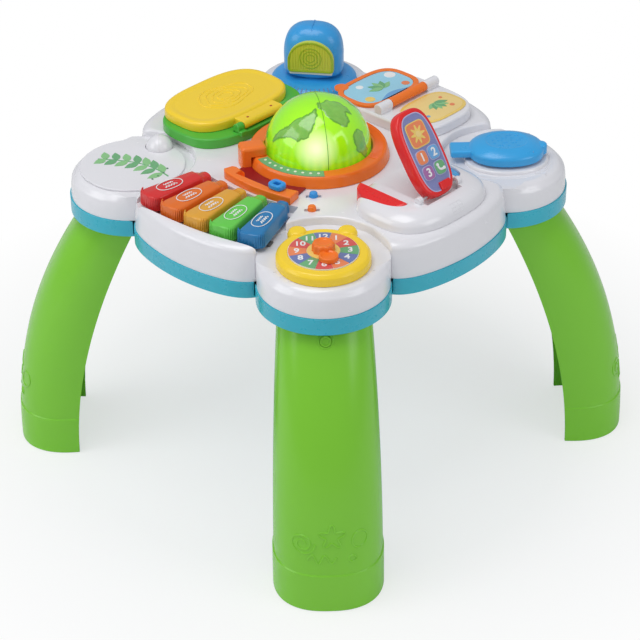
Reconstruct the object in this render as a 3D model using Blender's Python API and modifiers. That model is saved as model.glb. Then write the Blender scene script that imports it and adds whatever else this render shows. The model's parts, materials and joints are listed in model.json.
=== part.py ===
"""A toddler's activity table: an eight-lobed play top on four bowed legs.

The frame has +Z up and its origin on the floor under the middle of the top. Corner lobes
lie on the X and Y axes and carry the legs; side lobes lie between them. Each lobe's pieces
are drawn with +X pointing outward and are then turned to the lobe's bearing.
"""
import math

import bmesh
import bpy
from mathutils import Matrix, Vector

# Shared clearances
GAP = 0.0003
OVERRUN = 0.003
RUNNING_GAP = 0.0005
WALL = 0.0025

# Heights of the top
BAND_LOW = 0.3073
TRAY_HEIGHT = 0.0192
SEAM = BAND_LOW + TRAY_HEIGHT
CORNER_RISE = 0.0305
CORNER_TOP = SEAM + CORNER_RISE
DECK_STEP = 0.0100
DECK = CORNER_TOP + DECK_STEP

# Plan of the top
SIDE_REACH = 0.2290
CORNER_REACH = SIDE_REACH * 0.9245
CORNER_RADIUS = SIDE_REACH * 0.32
SIDE_HALF_ANGLE = math.radians(25.5)
SIDE_END_DROP = 0.009
SIDE_END_POWER = 7
SIDE_STEPS = 8
CORNER_HALF_ANGLE = math.radians(86)
CORNER_STEPS = 10
BITE_LAP = 0.0022
BITE_HALF_ANGLE = math.radians(84)
BITE_STEPS = 8
LEDGE_HALF_ANGLE = math.radians(78)
SHELL_SETBACK = 0.0015
SHELL_DRAFT = 0.0030
EDGE_ROUND = 0.0115
BITE_ROUND = 0.0025
LOBE_STEPS = 24
LOBE_HOLLOW_STEPS = 12

# Legs
LEG_TOP = BAND_LOW - GAP
FOOT_SPLAY = 0.0792
FOOT_REACH = CORNER_REACH + CORNER_RADIUS + FOOT_SPLAY
LEG_BOW = 0.094
LEG_BOW_POWER = 2.3
FOOT_DEPTH = 0.0717
FOOT_INNER_REACH = FOOT_REACH - FOOT_DEPTH
LEG_INNER_BOW = 0.085
LEG_INNER_POWER = 1.9
FOOT_WIDTH = 0.126
LEG_WAIST = 0.021
LEG_WAIST_POWER = 2.2
LEG_TUCK_SHARE = 0.05
LEG_SQUARENESS = 2.5
LEG_WALL = 0.0032
LEG_STEPS = 10
LEG_RINGS = 6
SHOE_HEIGHT = 0.0485
SHOE_SWELL = 0.0012
SHOE_STEP = 0.0012
CAP_THICKNESS = 0.0035
TONGUE_LENGTH = 0.026
TONGUE_WIDTH = 0.058
TONGUE_HEIGHT = 0.024
TONGUE_INSET = 0.020
SOCKET_WALL = 0.0022
SOCKET_HEIGHT = 0.012

# Leg lock buttons
LOCK_RADIUS = 0.0062
LOCK_FLANGE_RADIUS = 0.0085
LOCK_FLANGE_THICKNESS = 0.0018
LOCK_PROUD = 0.0016
LOCK_DROP = 0.0115
LOCK_TRAVEL = 0.0025
LOCK_STEPS = 12

# Globe
GLOBE_RADIUS = 0.0604
GLOBE_RISE = 0.0126
GLOBE_LOW = DECK + GLOBE_RISE
GLOBE_WALL = 0.0025
GLOBE_SKIRT = 0.006
GLOBE_STEPS = 24
GLOBE_RINGS = 6
TURNTABLE_THICKNESS = 0.003
TURNTABLE_LIP = 0.0040
TURNTABLE_RADIUS = GLOBE_RADIUS - 2 * RUNNING_GAP
SPINDLE_RADIUS = 0.0050
SPINDLE_COLLAR_RADIUS = 0.012
SPINDLE_BORE_GAP = 0.0004
LAMP_POST_RADIUS = 0.004
LAMP_POST_HEIGHT = 0.016
RING_CLEARANCE = 0.0016
RING_WIDTH = 0.0165
RING_FLARE = 0.0030
RING_INNER = GLOBE_RADIUS + RING_CLEARANCE
RING_OUTER = RING_INNER + RING_WIDTH
RING_FOOT = RING_OUTER + RING_FLARE
RING_HEIGHT = 0.0140
RING_TOP = DECK + RING_HEIGHT
RING_RIM = 0.003
RING_STEPS = 32

# Slider track beside the globe
TRACK_BEARING = math.radians(228)
TRACK_RING_OFFSET = 0.0270
TRACK_REACH = RING_FOOT + TRACK_RING_OFFSET
TRACK_HALF_LENGTH = 0.052
TRACK_TAPER_SHARE = 0.93
TRACK_BAR_WIDTH = 0.011
TRACK_BAR_BOW = 0.006
TRACK_HEIGHT = 0.0100
TRACK_TOP = DECK + TRACK_HEIGHT
TRACK_FLOOR_RISE = 0.0030
TRACK_FLOOR = DECK + TRACK_FLOOR_RISE
TRACK_GROOVE_WIDTH = 0.0090
TRACK_GROOVE_EDGE = 0.0005
TRACK_EDGE = 0.0015
APRON_INNER = RING_FOOT - GLOBE_RADIUS * 0.356
APRON_OUTER = TRACK_REACH - TRACK_BAR_WIDTH * 0.77
APRON_HALF_LENGTH = 0.0470
BLOCK_BEARING = math.radians(-34)
BLOCK_LENGTH = 0.0300
BLOCK_WIDTH = 0.0220
BLOCK_REACH = RING_FOOT - BLOCK_LENGTH * 0.15
BLOCK_HEIGHT = 0.0260
BLOCK_TOP = DECK + BLOCK_HEIGHT
BLOCK_EDGE = 0.004
BEAD_LENGTH = 0.019
BEAD_WIDTH = 0.015
BEAD_PROUD = 0.0065
BEAD_STEM_SHARE = 0.8
BEAD_HOLE_SHARE = 0.45
BEAD_TRAVEL = 0.050
BEAD_START = 0.027

# Marker keys
KEY_COUNT = 5
KEY_ROW_BEARING = math.radians(227.8)
KEY_ROW_FACING = math.radians(231.5)
KEY_ROW_SETBACK = 0.0200
KEY_ROW_REACH = SIDE_REACH - KEY_ROW_SETBACK
KEY_TIP_CLEARANCE = 0.0070
KEY_LENGTH = KEY_ROW_REACH - TRACK_REACH - TRACK_BAR_WIDTH / 2 - KEY_TIP_CLEARANCE
KEY_POINT_SHARE = 0.18
KEY_NEAR_RADIUS = 0.3460
KEY_SHOULDER_RADIUS = KEY_NEAR_RADIUS - KEY_LENGTH * (1 - KEY_POINT_SHARE)
KEY_TIP_RADIUS = KEY_NEAR_RADIUS - KEY_LENGTH
KEY_ROW_SHARE = 0.888
KEY_PITCH = 2 * SIDE_REACH * SIDE_HALF_ANGLE * KEY_ROW_SHARE / KEY_COUNT
KEY_SPACE = 0.0037
KEY_FAN_STEP = KEY_PITCH / KEY_NEAR_RADIUS
KEY_FAN_CENTRE = Vector((
    KEY_ROW_REACH * math.cos(KEY_ROW_BEARING) - KEY_NEAR_RADIUS * math.cos(KEY_ROW_FACING),
    KEY_ROW_REACH * math.sin(KEY_ROW_BEARING) - KEY_NEAR_RADIUS * math.sin(KEY_ROW_FACING),
))
KEY_NEAR_WIDTH = KEY_PITCH - KEY_SPACE
KEY_SHOULDER_WIDTH = KEY_PITCH * KEY_SHOULDER_RADIUS / KEY_NEAR_RADIUS - KEY_SPACE
KEY_TIP_WIDTH = KEY_SHOULDER_WIDTH * 0.6
KEY_END_ROUND = 0.004
KEY_HEIGHT = 0.0174
KEY_EDGE = 0.0035
KEY_PRESS_ANGLE = math.radians(1.8)
KEY_WELL_DEPTH = 0.0095
KEY_WELL_MARGIN = 0.0030
KEY_RAIL_WIDTH = 0.008
KEY_RAIL_INSET = 0.003
KEY_STRIP_WIDTH = 0.010
KEY_STRIP_HEIGHT = 0.0012
KEY_STRIP_INSET = 0.016
KEY_LEVER = KEY_LENGTH - KEY_STRIP_INSET
KEY_PRESS_ROOM = KEY_LEVER * math.sin(KEY_PRESS_ANGLE)
KEY_LOW = DECK - KEY_WELL_DEPTH + KEY_STRIP_HEIGHT + 2 * GAP + KEY_PRESS_ROOM
KEY_TOP = KEY_LOW + KEY_HEIGHT

# Slide switches
BITE_EDGE = CORNER_REACH - CORNER_RADIUS + BITE_LAP
SWITCH_SHARES = {"mode_switch": 0.25, "volume_switch": 0.76}
SWITCH_BEARING = math.radians(265.4)
SWITCH_STEM_LENGTH = 0.0080
SWITCH_STEM_WIDTH = 0.0042
SWITCH_SIDE_GAP = 0.0004
SWITCH_CAP_RADIUS = 0.0050
SWITCH_CAP_HEIGHT = 0.0055
SWITCH_FLANGE = 0.0020
SWITCH_FLANGE_THICKNESS = 0.0016
SWITCH_TRAVEL = 0.0040

# Telephone console on the front right side lobe
CONSOLE_SETBACK = 0.0170
CONSOLE_RING_GAP = 0.0185
CONSOLE_HALF_LENGTH = (SIDE_REACH - CONSOLE_SETBACK - RING_FOOT - CONSOLE_RING_GAP) / 2
CONSOLE_REACH = SIDE_REACH - CONSOLE_SETBACK - CONSOLE_HALF_LENGTH
CONSOLE_HALF_WIDTH = SIDE_REACH * 0.323
CONSOLE_HOLLOW_SHARE = 0.86
CONSOLE_HEIGHT = 0.0190
CONSOLE_SQUARENESS = 2.8
CONSOLE_STEPS = 24
CONSOLE_RING_SHARES = ((1.0, 0.0), (0.98, 0.36), (0.91, 0.66), (0.77, 0.91), (0.58, 1.0))
PHONE_HINGE_SHIFT = CONSOLE_HALF_LENGTH * 0.4286
PHONE_HINGE_REACH = CONSOLE_REACH + PHONE_HINGE_SHIFT
PHONE_HINGE_RISE = 0.0220
PHONE_HINGE_HEIGHT = DECK + PHONE_HINGE_RISE
PHONE_LENGTH = 0.1000
PHONE_WIDTH = CONSOLE_HALF_WIDTH * 0.635
PHONE_THICKNESS = 0.0150
PHONE_EDGE = 0.0040
PHONE_SQUARENESS = 3.2
PHONE_TILT = math.radians(56)
PHONE_FACE_INSET = 0.0055
PHONE_FACE_DEPTH = 0.0016
PHONE_WELL_SLACK = 0.0016
PHONE_FLAT_GAP = 0.0008
PHONE_TAIL = 0.0060
PIN_RADIUS = 0.0015
PIN_BORE_GAP = 0.00035
PIN_STEPS = 12
PHONE_PIN_OVERHANG = 0.0045
PHONE_EAR_RADIUS = 0.0045
PHONE_EAR_LENGTH = 0.0060
CRESCENT_SHIFT = CONSOLE_HALF_LENGTH * 0.339
CRESCENT_REACH = CONSOLE_REACH - CRESCENT_SHIFT
CRESCENT_OFFSET = CONSOLE_HALF_WIDTH * 0.554
CRESCENT_LENGTH = CONSOLE_HALF_LENGTH * 1.25
CRESCENT_WIDTH = CONSOLE_HALF_WIDTH * 0.223
CRESCENT_HEIGHT = 0.0134
CRESCENT_SLOPE = 0.0045
CRESCENT_SLACK = 0.0006
CRESCENT_FLANGE = 0.0012
CRESCENT_TRAVEL = 0.0020
CRESCENT_LOW = DECK + CRESCENT_TRAVEL + 2 * GAP
CRESCENT_STEPS = 8
PEG_SHIFT = CONSOLE_HALF_LENGTH * 0.589
PEG_OFFSET = CONSOLE_HALF_WIDTH * 0.811
PEG_RADIUS = 0.0040
PEG_HEIGHT = 0.0250

# Laptop on the back left side lobe
LAPTOP_SETBACK = 0.0340
LAPTOP_RING_GAP = 0.0015
LAPTOP_HALF_LENGTH = (SIDE_REACH - LAPTOP_SETBACK - RING_FOOT - LAPTOP_RING_GAP) / 2
LAPTOP_REACH = SIDE_REACH - LAPTOP_SETBACK - LAPTOP_HALF_LENGTH
LAPTOP_HALF_WIDTH = SIDE_REACH * 0.3755
LAPTOP_SQUARENESS = 3.0
LAPTOP_STEPS = 22
LAPTOP_BASE_HEIGHT = 0.0120
LAPTOP_BASE_TOP = DECK + LAPTOP_BASE_HEIGHT
LAPTOP_EDGE = 0.0015
LAPTOP_TUB_INSET = 0.0130
LAPTOP_TUB_SHIFT = 0.0080
KEYPAD_HEIGHT = 0.0065
KEYPAD_TRAVEL = 0.0015
LID_SHIFT = LAPTOP_HALF_LENGTH * 0.196
LID_REACH = LAPTOP_REACH + LID_SHIFT
LID_HALF_LENGTH = LAPTOP_HALF_LENGTH * 0.866
LID_HALF_WIDTH = LAPTOP_HALF_WIDTH * 0.884
LID_THICKNESS = 0.0120
LID_EDGE = 0.0035
LID_SHELL = 0.0030
LID_TAB_WIDTH = LAPTOP_HALF_WIDTH * 0.744
LID_TAB_GAP = 0.0008
LID_HINGE_INSET = 0.0075
LID_HINGE_REACH = LAPTOP_REACH - LAPTOP_HALF_LENGTH + LID_HINGE_INSET
LID_HINGE_RADIUS = 0.0050
LID_EAR_LENGTH = 0.0100
LID_PIN_OVERHANG = 0.0070

# Book on the back right side lobe
BOOK_SETBACK = 0.0230
BOOK_HINGE_END = SIDE_REACH - BOOK_SETBACK
BOOK_RING_GAP = 0.0155
BOOK_LENGTH = BOOK_HINGE_END - RING_FOOT - BOOK_RING_GAP
BOOK_HINGE_START = BOOK_HINGE_END - BOOK_LENGTH
BOOK_MIDDLE = BOOK_HINGE_START + BOOK_LENGTH / 2
BOOK_PAD_HEIGHT = 0.0130
BOOK_PAD_TOP = DECK + BOOK_PAD_HEIGHT
BOOK_BARREL_RADIUS = 0.0060
BOOK_HINGE_HEIGHT = BOOK_PAD_TOP + BOOK_BARREL_RADIUS
BOOK_BARREL_SHARES = (0.22, 0.78)
BOOK_BARREL_GAP = 0.0006
BOOK_EDGE = 0.0030
PAGE_THICKNESS = 0.0034
PAGE_LENGTH = BOOK_LENGTH * 0.9174
PAGE_WIDTH = SIDE_REACH * 0.3013
PAGE_SHIFT = 0.0035
PAGE_REACH = BOOK_MIDDLE - PAGE_SHIFT
PAGE_SQUARENESS = 3.2
PAGE_STEPS = 22
PAGE_INLAY_INSET = 0.0060
PAGE_INLAY_DEPTH = 0.0012
PAGE_TAB_RADIUS = 0.0085
PAGE_TAB_SHARE = 0.30
BOOK_SIDE_CLEARANCE = 0.0015
BOOK_HALF_WIDTH = SIDE_REACH * 0.323
PICTURE_PAD_LENGTH = BOOK_LENGTH * 0.734
PICTURE_PAD_WIDTH = BOOK_HALF_WIDTH * 0.757
PICTURE_PAD_SHIFT = 0.0045
PICTURE_PAD_OFFSET = BOOK_HALF_WIDTH / 2
LABEL_THICKNESS = 0.0006

# Lamp on the back corner lobe
LAMP_BASE_RADIUS = CORNER_RADIUS * 0.71
LAMP_BASE_HEIGHT = 0.0110
LAMP_SHIFT = 0.0027
LAMP_BASE_REACH = CORNER_REACH - LAMP_SHIFT
LAMP_NECK_RADIUS = 0.0200
LAMP_NECK_HEIGHT = 0.0030
LAMP_HEAD_HALF_WIDTH = LAMP_BASE_RADIUS * 0.692
LAMP_HEAD_HALF_DEPTH = LAMP_BASE_RADIUS * 0.4805
LAMP_HEAD_HEIGHT = 0.0604
LAMP_HEAD_SQUARENESS = 2.6
LAMP_HEAD_SHARES = (
    (0.94, 0.0), (1.0, 0.10), (1.0, 0.45), (0.95, 0.66), (0.82, 0.83), (0.60, 0.945), (0.34, 1.0)
)
LAMP_LENS_WIDTH = LAMP_HEAD_HALF_WIDTH * 1.555
LAMP_LENS_HEIGHT = 0.0400
LAMP_LENS_PROUD = 0.0030
LAMP_LENS_SEAT = 0.0010
LAMP_WALL = 0.0030
LAMP_LENS_STRAIGHT_SHARE = 0.35
LAMP_LENS_RAISE = 0.0080
LAMP_TURN = math.radians(-10)
LAMP_PIVOT_RADIUS = 0.0060

# Mouse on the right corner lobe
MOUSE_SHIFT = 0.0023
MOUSE_REACH = CORNER_REACH + MOUSE_SHIFT
MOUSE_HALF_LENGTH = CORNER_RADIUS * 0.587
MOUSE_HALF_WIDTH = CORNER_RADIUS * 0.478
MOUSE_PEDESTAL_HEIGHT = 0.0040
MOUSE_PEDESTAL_MARGIN = 0.0060
MOUSE_TRAVEL = 0.0030
MOUSE_HEIGHT = 0.0170
MOUSE_SQUARENESS = 2.2
MOUSE_TAB_LENGTH = MOUSE_HALF_LENGTH * 0.651
MOUSE_TAB_WIDTH = 0.0190
MOUSE_TAB_THICKNESS = 0.0085
MOUSE_TAB_OVERLAP = 0.0070
MOUSE_NUB_RADIUS = 0.0075
MOUSE_SHARES = ((1.0, 0.0), (1.0, 0.42), (0.96, 0.56), (0.86, 0.72), (0.66, 0.90), (0.40, 1.0))
MOUSE_STEPS = 22
MOUSE_STEM_RADIUS = 0.0080

# Clock on the front corner lobe
CLOCK_SHIFT = 0.0073
CLOCK_REACH = CORNER_REACH + CLOCK_SHIFT
CLOCK_RADIUS = CORNER_RADIUS * 0.696
CLOCK_HEIGHT = 0.0130
CLOCK_EDGE = 0.0045
CLOCK_BELL_RADIUS = 0.0110
CLOCK_BELL_REACH = CLOCK_RADIUS * 0.99
CLOCK_BELL_ANGLE = math.radians(32)
CLOCK_BELL_HEIGHT = 0.0160
DIAL_RADIUS = CLOCK_RADIUS * 0.745
DIAL_THICKNESS = 0.0020
DIAL_SINK = 0.0010
KNOB_RADIUS = DIAL_RADIUS * 0.33
KNOB_HEIGHT = 0.0100
KNOB_FLUTES = 10
KNOB_FLUTE_STEPS = 3
KNOB_FLUTE_DEPTH = 0.0009
HAND_REACH = DIAL_RADIUS / 2
HAND_RADIUS = DIAL_RADIUS * 0.276
HAND_THICKNESS = 0.0055
HAND_BEARING = math.radians(15)
KNOB_STUD_RADIUS = 0.0035
CLOCK_STEPS = 26

# Picture pad and white dome on the left corner lobe
PAD_RADIUS = CORNER_RADIUS * 0.8186
PAD_THICKNESS = 0.0022
PAD_STEPS = 28
CUP_RADIUS = CORNER_RADIUS * 0.218
CUP_PLACE = (CORNER_RADIUS * 0.398 - CORNER_REACH, CORNER_RADIUS * 0.573)
CUP_RINGS = 4
CUP_STEPS = 18

# Electronics and battery box in the tray
BOARD_LENGTH = 0.0900
BOARD_WIDTH = 0.0700
BOARD_THICKNESS = 0.0016
POST_RADIUS = 0.0035
POST_HEIGHT = 0.0050
POST_INSET = 0.0080
SPEAKER_RADIUS = 0.0280
SPEAKER_HEIGHT = 0.0160
SPEAKER_CONE_SHARE = 0.55
SPEAKER_BEARING = math.radians(45)
SPEAKER_REACH = SIDE_REACH * 0.633
GRILLE_HOLE_RADIUS = 0.0022
GRILLE_RING = 0.0120
GRILLE_COUNT = 8
CELL_RADIUS = 0.00715
CELL_LENGTH = 0.0500
CELL_TIP_RADIUS = 0.0027
CELL_TIP_LENGTH = 0.0012
CELL_PITCH = 0.0155
CELL_COUNT = 3
BATTERY_BEARING = math.radians(225)
BATTERY_REACH = SIDE_REACH * 0.611
BATTERY_WALL = 0.0018
BATTERY_SLACK = 0.0010
DOOR_THICKNESS = 0.0016
SCREW_HEAD_RADIUS = 0.0032
SCREW_HEAD_HEIGHT = 0.0014
SCREW_SHANK_RADIUS = 0.0014
SCREW_LENGTH = 0.0110
SCREW_REACH = SIDE_REACH * 0.83
SCREW_BOSS_RADIUS = 0.0045
SCREW_STEPS = 10

QUARTER = math.radians(90)
PARTS = None
CUTTERS = None
MATERIALS = {}

SIDE_BEARINGS = {"book": QUARTER / 2, "laptop": QUARTER * 1.5, "phone": -QUARTER / 2}

COLOURS = {
    "white": ((0.90, 0.90, 0.93), 0.28),
    "cyan": ((0.06, 0.62, 0.76), 0.32),
    "leg_green": ((0.22, 0.62, 0.03), 0.36),
    "laptop_green": ((0.08, 0.48, 0.05), 0.34),
    "yellow": ((0.98, 0.68, 0.03), 0.32),
    "blue": ((0.03, 0.32, 0.80), 0.30),
    "sky": ((0.05, 0.42, 0.86), 0.30),
    "orange": ((0.95, 0.20, 0.02), 0.32),
    "red": ((0.80, 0.02, 0.02), 0.28),
    "clear_red": ((0.70, 0.03, 0.03), 0.22),
    "clear_orange": ((0.80, 0.17, 0.02), 0.22),
    "clear_amber": ((0.78, 0.38, 0.04), 0.22),
    "clear_green": ((0.14, 0.62, 0.08), 0.22),
    "clear_blue": ((0.02, 0.20, 0.46), 0.22),
    "lime": ((0.42, 0.88, 0.03), 0.15),
    "lens": ((0.62, 0.66, 0.06), 0.18),
    "label": ((0.92, 0.88, 0.70), 0.40),
    "face": ((0.20, 0.22, 0.52), 0.40),
    "rubber": ((0.12, 0.12, 0.13), 0.80),
    "board": ((0.02, 0.20, 0.08), 0.50),
    "steel": ((0.62, 0.62, 0.64), 0.30),
    "cell": ((0.10, 0.10, 0.12), 0.40),
}


def clear_scene():
    """Removes whatever the file holds."""
    for item in list(bpy.data.objects):
        bpy.data.objects.remove(item, do_unlink=True)


def new_collection(name):
    """A collection linked to the scene."""
    collection = bpy.data.collections.new(name)
    bpy.context.scene.collection.children.link(collection)
    return collection


def material(name):
    """The finish of that name, made once."""
    if name in MATERIALS:
        return MATERIALS[name]
    colour, roughness = COLOURS[name]
    made = bpy.data.materials.new(name)
    made.use_nodes = True
    shader = made.node_tree.nodes["Principled BSDF"]
    shader.inputs["Base Color"].default_value = (*colour, 1)
    shader.inputs["Roughness"].default_value = roughness
    shader.inputs["Metallic"].default_value = 1 if name == "steel" else 0
    made.diffuse_color = (*colour, 1)
    MATERIALS[name] = made
    return made


def bearing(name, angle):
    """An empty that turns a lobe's pieces to its bearing."""
    empty = bpy.data.objects.new(name, None)
    empty.rotation_euler = (0, 0, angle)
    PARTS.objects.link(empty)
    return empty


def piece(name, mesh_edit, finish, frame=None, pivot=(0, 0, 0), crease=35):
    """One named sub-part from a bmesh; its origin is put at the pivot."""
    mesh = bpy.data.meshes.new(name)
    mesh_edit.to_mesh(mesh)
    mesh_edit.free()
    mesh.transform(Matrix.Translation(-Vector(pivot)))
    mesh.materials.append(material(finish))
    mesh.shade_smooth()
    mesh.set_sharp_from_angle(angle=math.radians(crease))
    made = bpy.data.objects.new(name, mesh)
    made.location = pivot
    made.parent = frame
    PARTS.objects.link(made)
    return made


def cutter(name, mesh_edit, frame=None):
    """A closed shape that only cuts or joins other pieces."""
    mesh = bpy.data.meshes.new(name)
    mesh_edit.to_mesh(mesh)
    mesh_edit.free()
    made = bpy.data.objects.new(name, mesh)
    made.parent = frame
    made.hide_render = True
    made.display_type = "WIRE"
    CUTTERS.objects.link(made)
    return made


def combine(target, tool, operation):
    """Adds a live exact Boolean."""
    step = target.modifiers.new(tool.name, "BOOLEAN")
    step.operation = operation
    step.solver = "EXACT"
    step.object = tool


def carve(target, tool):
    """Cuts the tool out of the target."""
    combine(target, tool, "DIFFERENCE")


def join(target, tool):
    """Makes the tool one body with the target."""
    combine(target, tool, "UNION")


def soften(target, width, segments=2, angle=40):
    """Rounds the sharp edges of a piece."""
    step = target.modifiers.new("rounded_edges", "BEVEL")
    step.width = width
    step.segments = segments
    step.limit_method = "ANGLE"
    step.angle_limit = math.radians(angle)


def ring_points(outline, height):
    """A flat outline lifted to a height."""
    return [Vector((point[0], point[1], height)) for point in outline]


def loft(rings):
    """A closed solid through rings of equal count, each counter-clockwise seen from its end."""
    shape = bmesh.new()
    rows = [[shape.verts.new(point) for point in ring] for ring in rings]
    count = len(rows[0])
    for low, high in zip(rows, rows[1:]):
        for index in range(count):
            after = (index + 1) % count
            shape.faces.new((low[index], low[after], high[after], high[index]))
    shape.faces.new(tuple(reversed(rows[0])))
    shape.faces.new(tuple(rows[-1]))
    bmesh.ops.recalc_face_normals(shape, faces=shape.faces)
    return shape


def prism(outline, low, high):
    """A flat outline with a thickness."""
    return loft([ring_points(outline, low), ring_points(outline, high)])


def block(size, centre):
    """A box of the given size about its centre."""
    shape = bmesh.new()
    place = Matrix.Translation(centre) @ Matrix.Diagonal((*size, 1))
    bmesh.ops.create_cube(shape, size=1, matrix=place)
    return shape


def rod(radius, start, end, steps=20, far_radius=None):
    """A round bar between two points."""
    start, end = Vector(start), Vector(end)
    run = end - start
    turn = run.to_track_quat("Z", "Y").to_matrix().to_4x4()
    shape = bmesh.new()
    bmesh.ops.create_cone(
        shape,
        cap_ends=True,
        segments=steps,
        radius1=radius,
        radius2=radius if far_radius is None else far_radius,
        depth=run.length,
        matrix=Matrix.Translation((start + end) / 2) @ turn,
    )
    return shape


def turned(profile, steps, centre=(0, 0)):
    """A turned solid from (radius, height) points."""
    shape = bmesh.new()
    points = [shape.verts.new((radius, 0, height)) for radius, height in profile]
    edges = [shape.edges.new(pair) for pair in zip(points, points[1:])]
    if profile[0][0] > 0:
        edges.append(shape.edges.new((points[-1], points[0])))
    bmesh.ops.spin(
        shape,
        geom=points + edges,
        cent=(0, 0, 0),
        axis=(0, 0, 1),
        angle=math.tau,
        steps=steps,
        use_merge=True,
    )
    bmesh.ops.remove_doubles(shape, verts=shape.verts, dist=GAP / 10)
    bmesh.ops.recalc_face_normals(shape, faces=shape.faces)
    bmesh.ops.translate(shape, verts=shape.verts, vec=(*centre, 0))
    return shape


def oval(half_length, half_width, squareness, steps, centre=(0, 0)):
    """A superellipse outline."""
    points = []
    for index in range(steps):
        angle = math.tau * (index + 0.5) / steps
        along = math.copysign(abs(math.cos(angle)) ** (2 / squareness), math.cos(angle))
        across = math.copysign(abs(math.sin(angle)) ** (2 / squareness), math.sin(angle))
        points.append((centre[0] + half_length * along, centre[1] + half_width * across))
    return points


def arc(centre, radius, start, end, steps):
    """Points along a round arc, both ends included."""
    angles = [start + (end - start) * index / steps for index in range(steps + 1)]
    return [
        (centre[0] + radius * math.cos(angle), centre[1] + radius * math.sin(angle))
        for angle in angles
    ]


def side_arc(inset, quarter):
    """The outer edge of one side lobe, with round ends."""
    middle = QUARTER * (quarter + 0.5)
    half = SIDE_HALF_ANGLE - inset / SIDE_REACH
    points = []
    for index in range(SIDE_STEPS + 1):
        share = math.sin(math.pi * (index / SIDE_STEPS - 0.5))
        radius = SIDE_REACH - inset - SIDE_END_DROP * abs(share) ** SIDE_END_POWER
        angle = middle + share * half
        points.append((radius * math.cos(angle), radius * math.sin(angle)))
    return points


def corner_arc(radius, quarter, half_angle, steps, inward=False):
    """A corner lobe's outer edge, or the bite that it takes out of the middle."""
    facing = QUARTER * quarter
    centre = (CORNER_REACH * math.cos(facing), CORNER_REACH * math.sin(facing))
    if inward:
        return arc(centre, radius, facing + math.pi + half_angle, facing + math.pi - half_angle, steps)
    return arc(centre, radius, facing - half_angle, facing + half_angle, steps)


def table_outline(inset):
    """The eight-lobed plan of the top, drawn in by an inset."""
    points = []
    for quarter in range(4):
        points += corner_arc(CORNER_RADIUS - inset, quarter, CORNER_HALF_ANGLE, CORNER_STEPS)
        points += side_arc(inset, quarter)
    return points


def middle_outline(inset, bite_inset):
    """The plan of the raised middle and side lobes, with round bites for the corner lobes."""
    points = []
    for quarter in range(4):
        radius = CORNER_RADIUS - BITE_LAP + bite_inset
        points += corner_arc(radius, quarter, BITE_HALF_ANGLE, BITE_STEPS, inward=True)
        points += side_arc(inset, quarter)
    return points


def corner_centre(quarter, reach=CORNER_REACH):
    """The middle of a corner lobe."""
    return (reach * math.cos(QUARTER * quarter), reach * math.sin(QUARTER * quarter))


def key_angle(index):
    """The bearing, from the fan's centre, of a key's middle line."""
    return KEY_ROW_FACING + KEY_FAN_STEP * (index - (KEY_COUNT - 1) / 2)


def fan_outline(inner, outer, margin):
    """A slice of the key fan between two radii, wider than the keys by a margin."""
    spread = KEY_FAN_STEP / 2 + margin / KEY_NEAR_RADIUS
    start, end = key_angle(0) - spread, key_angle(KEY_COUNT - 1) + spread
    steps = 2 * KEY_COUNT
    near = arc(KEY_FAN_CENTRE, outer, start, end, steps)
    far = arc(KEY_FAN_CENTRE, inner, end, start, steps)
    return near + far


def well_shapes(margin, deeper):
    """Cutters for the key well and the switch slots, with a margin round each."""
    inner = KEY_TIP_RADIUS - KEY_WELL_MARGIN - margin
    outer = KEY_NEAR_RADIUS + KEY_WELL_MARGIN + margin
    floor = DECK - KEY_WELL_DEPTH - deeper
    outline = fan_outline(inner, outer, KEY_WELL_MARGIN + margin)
    return prism(outline, floor, DECK + OVERRUN)


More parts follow.
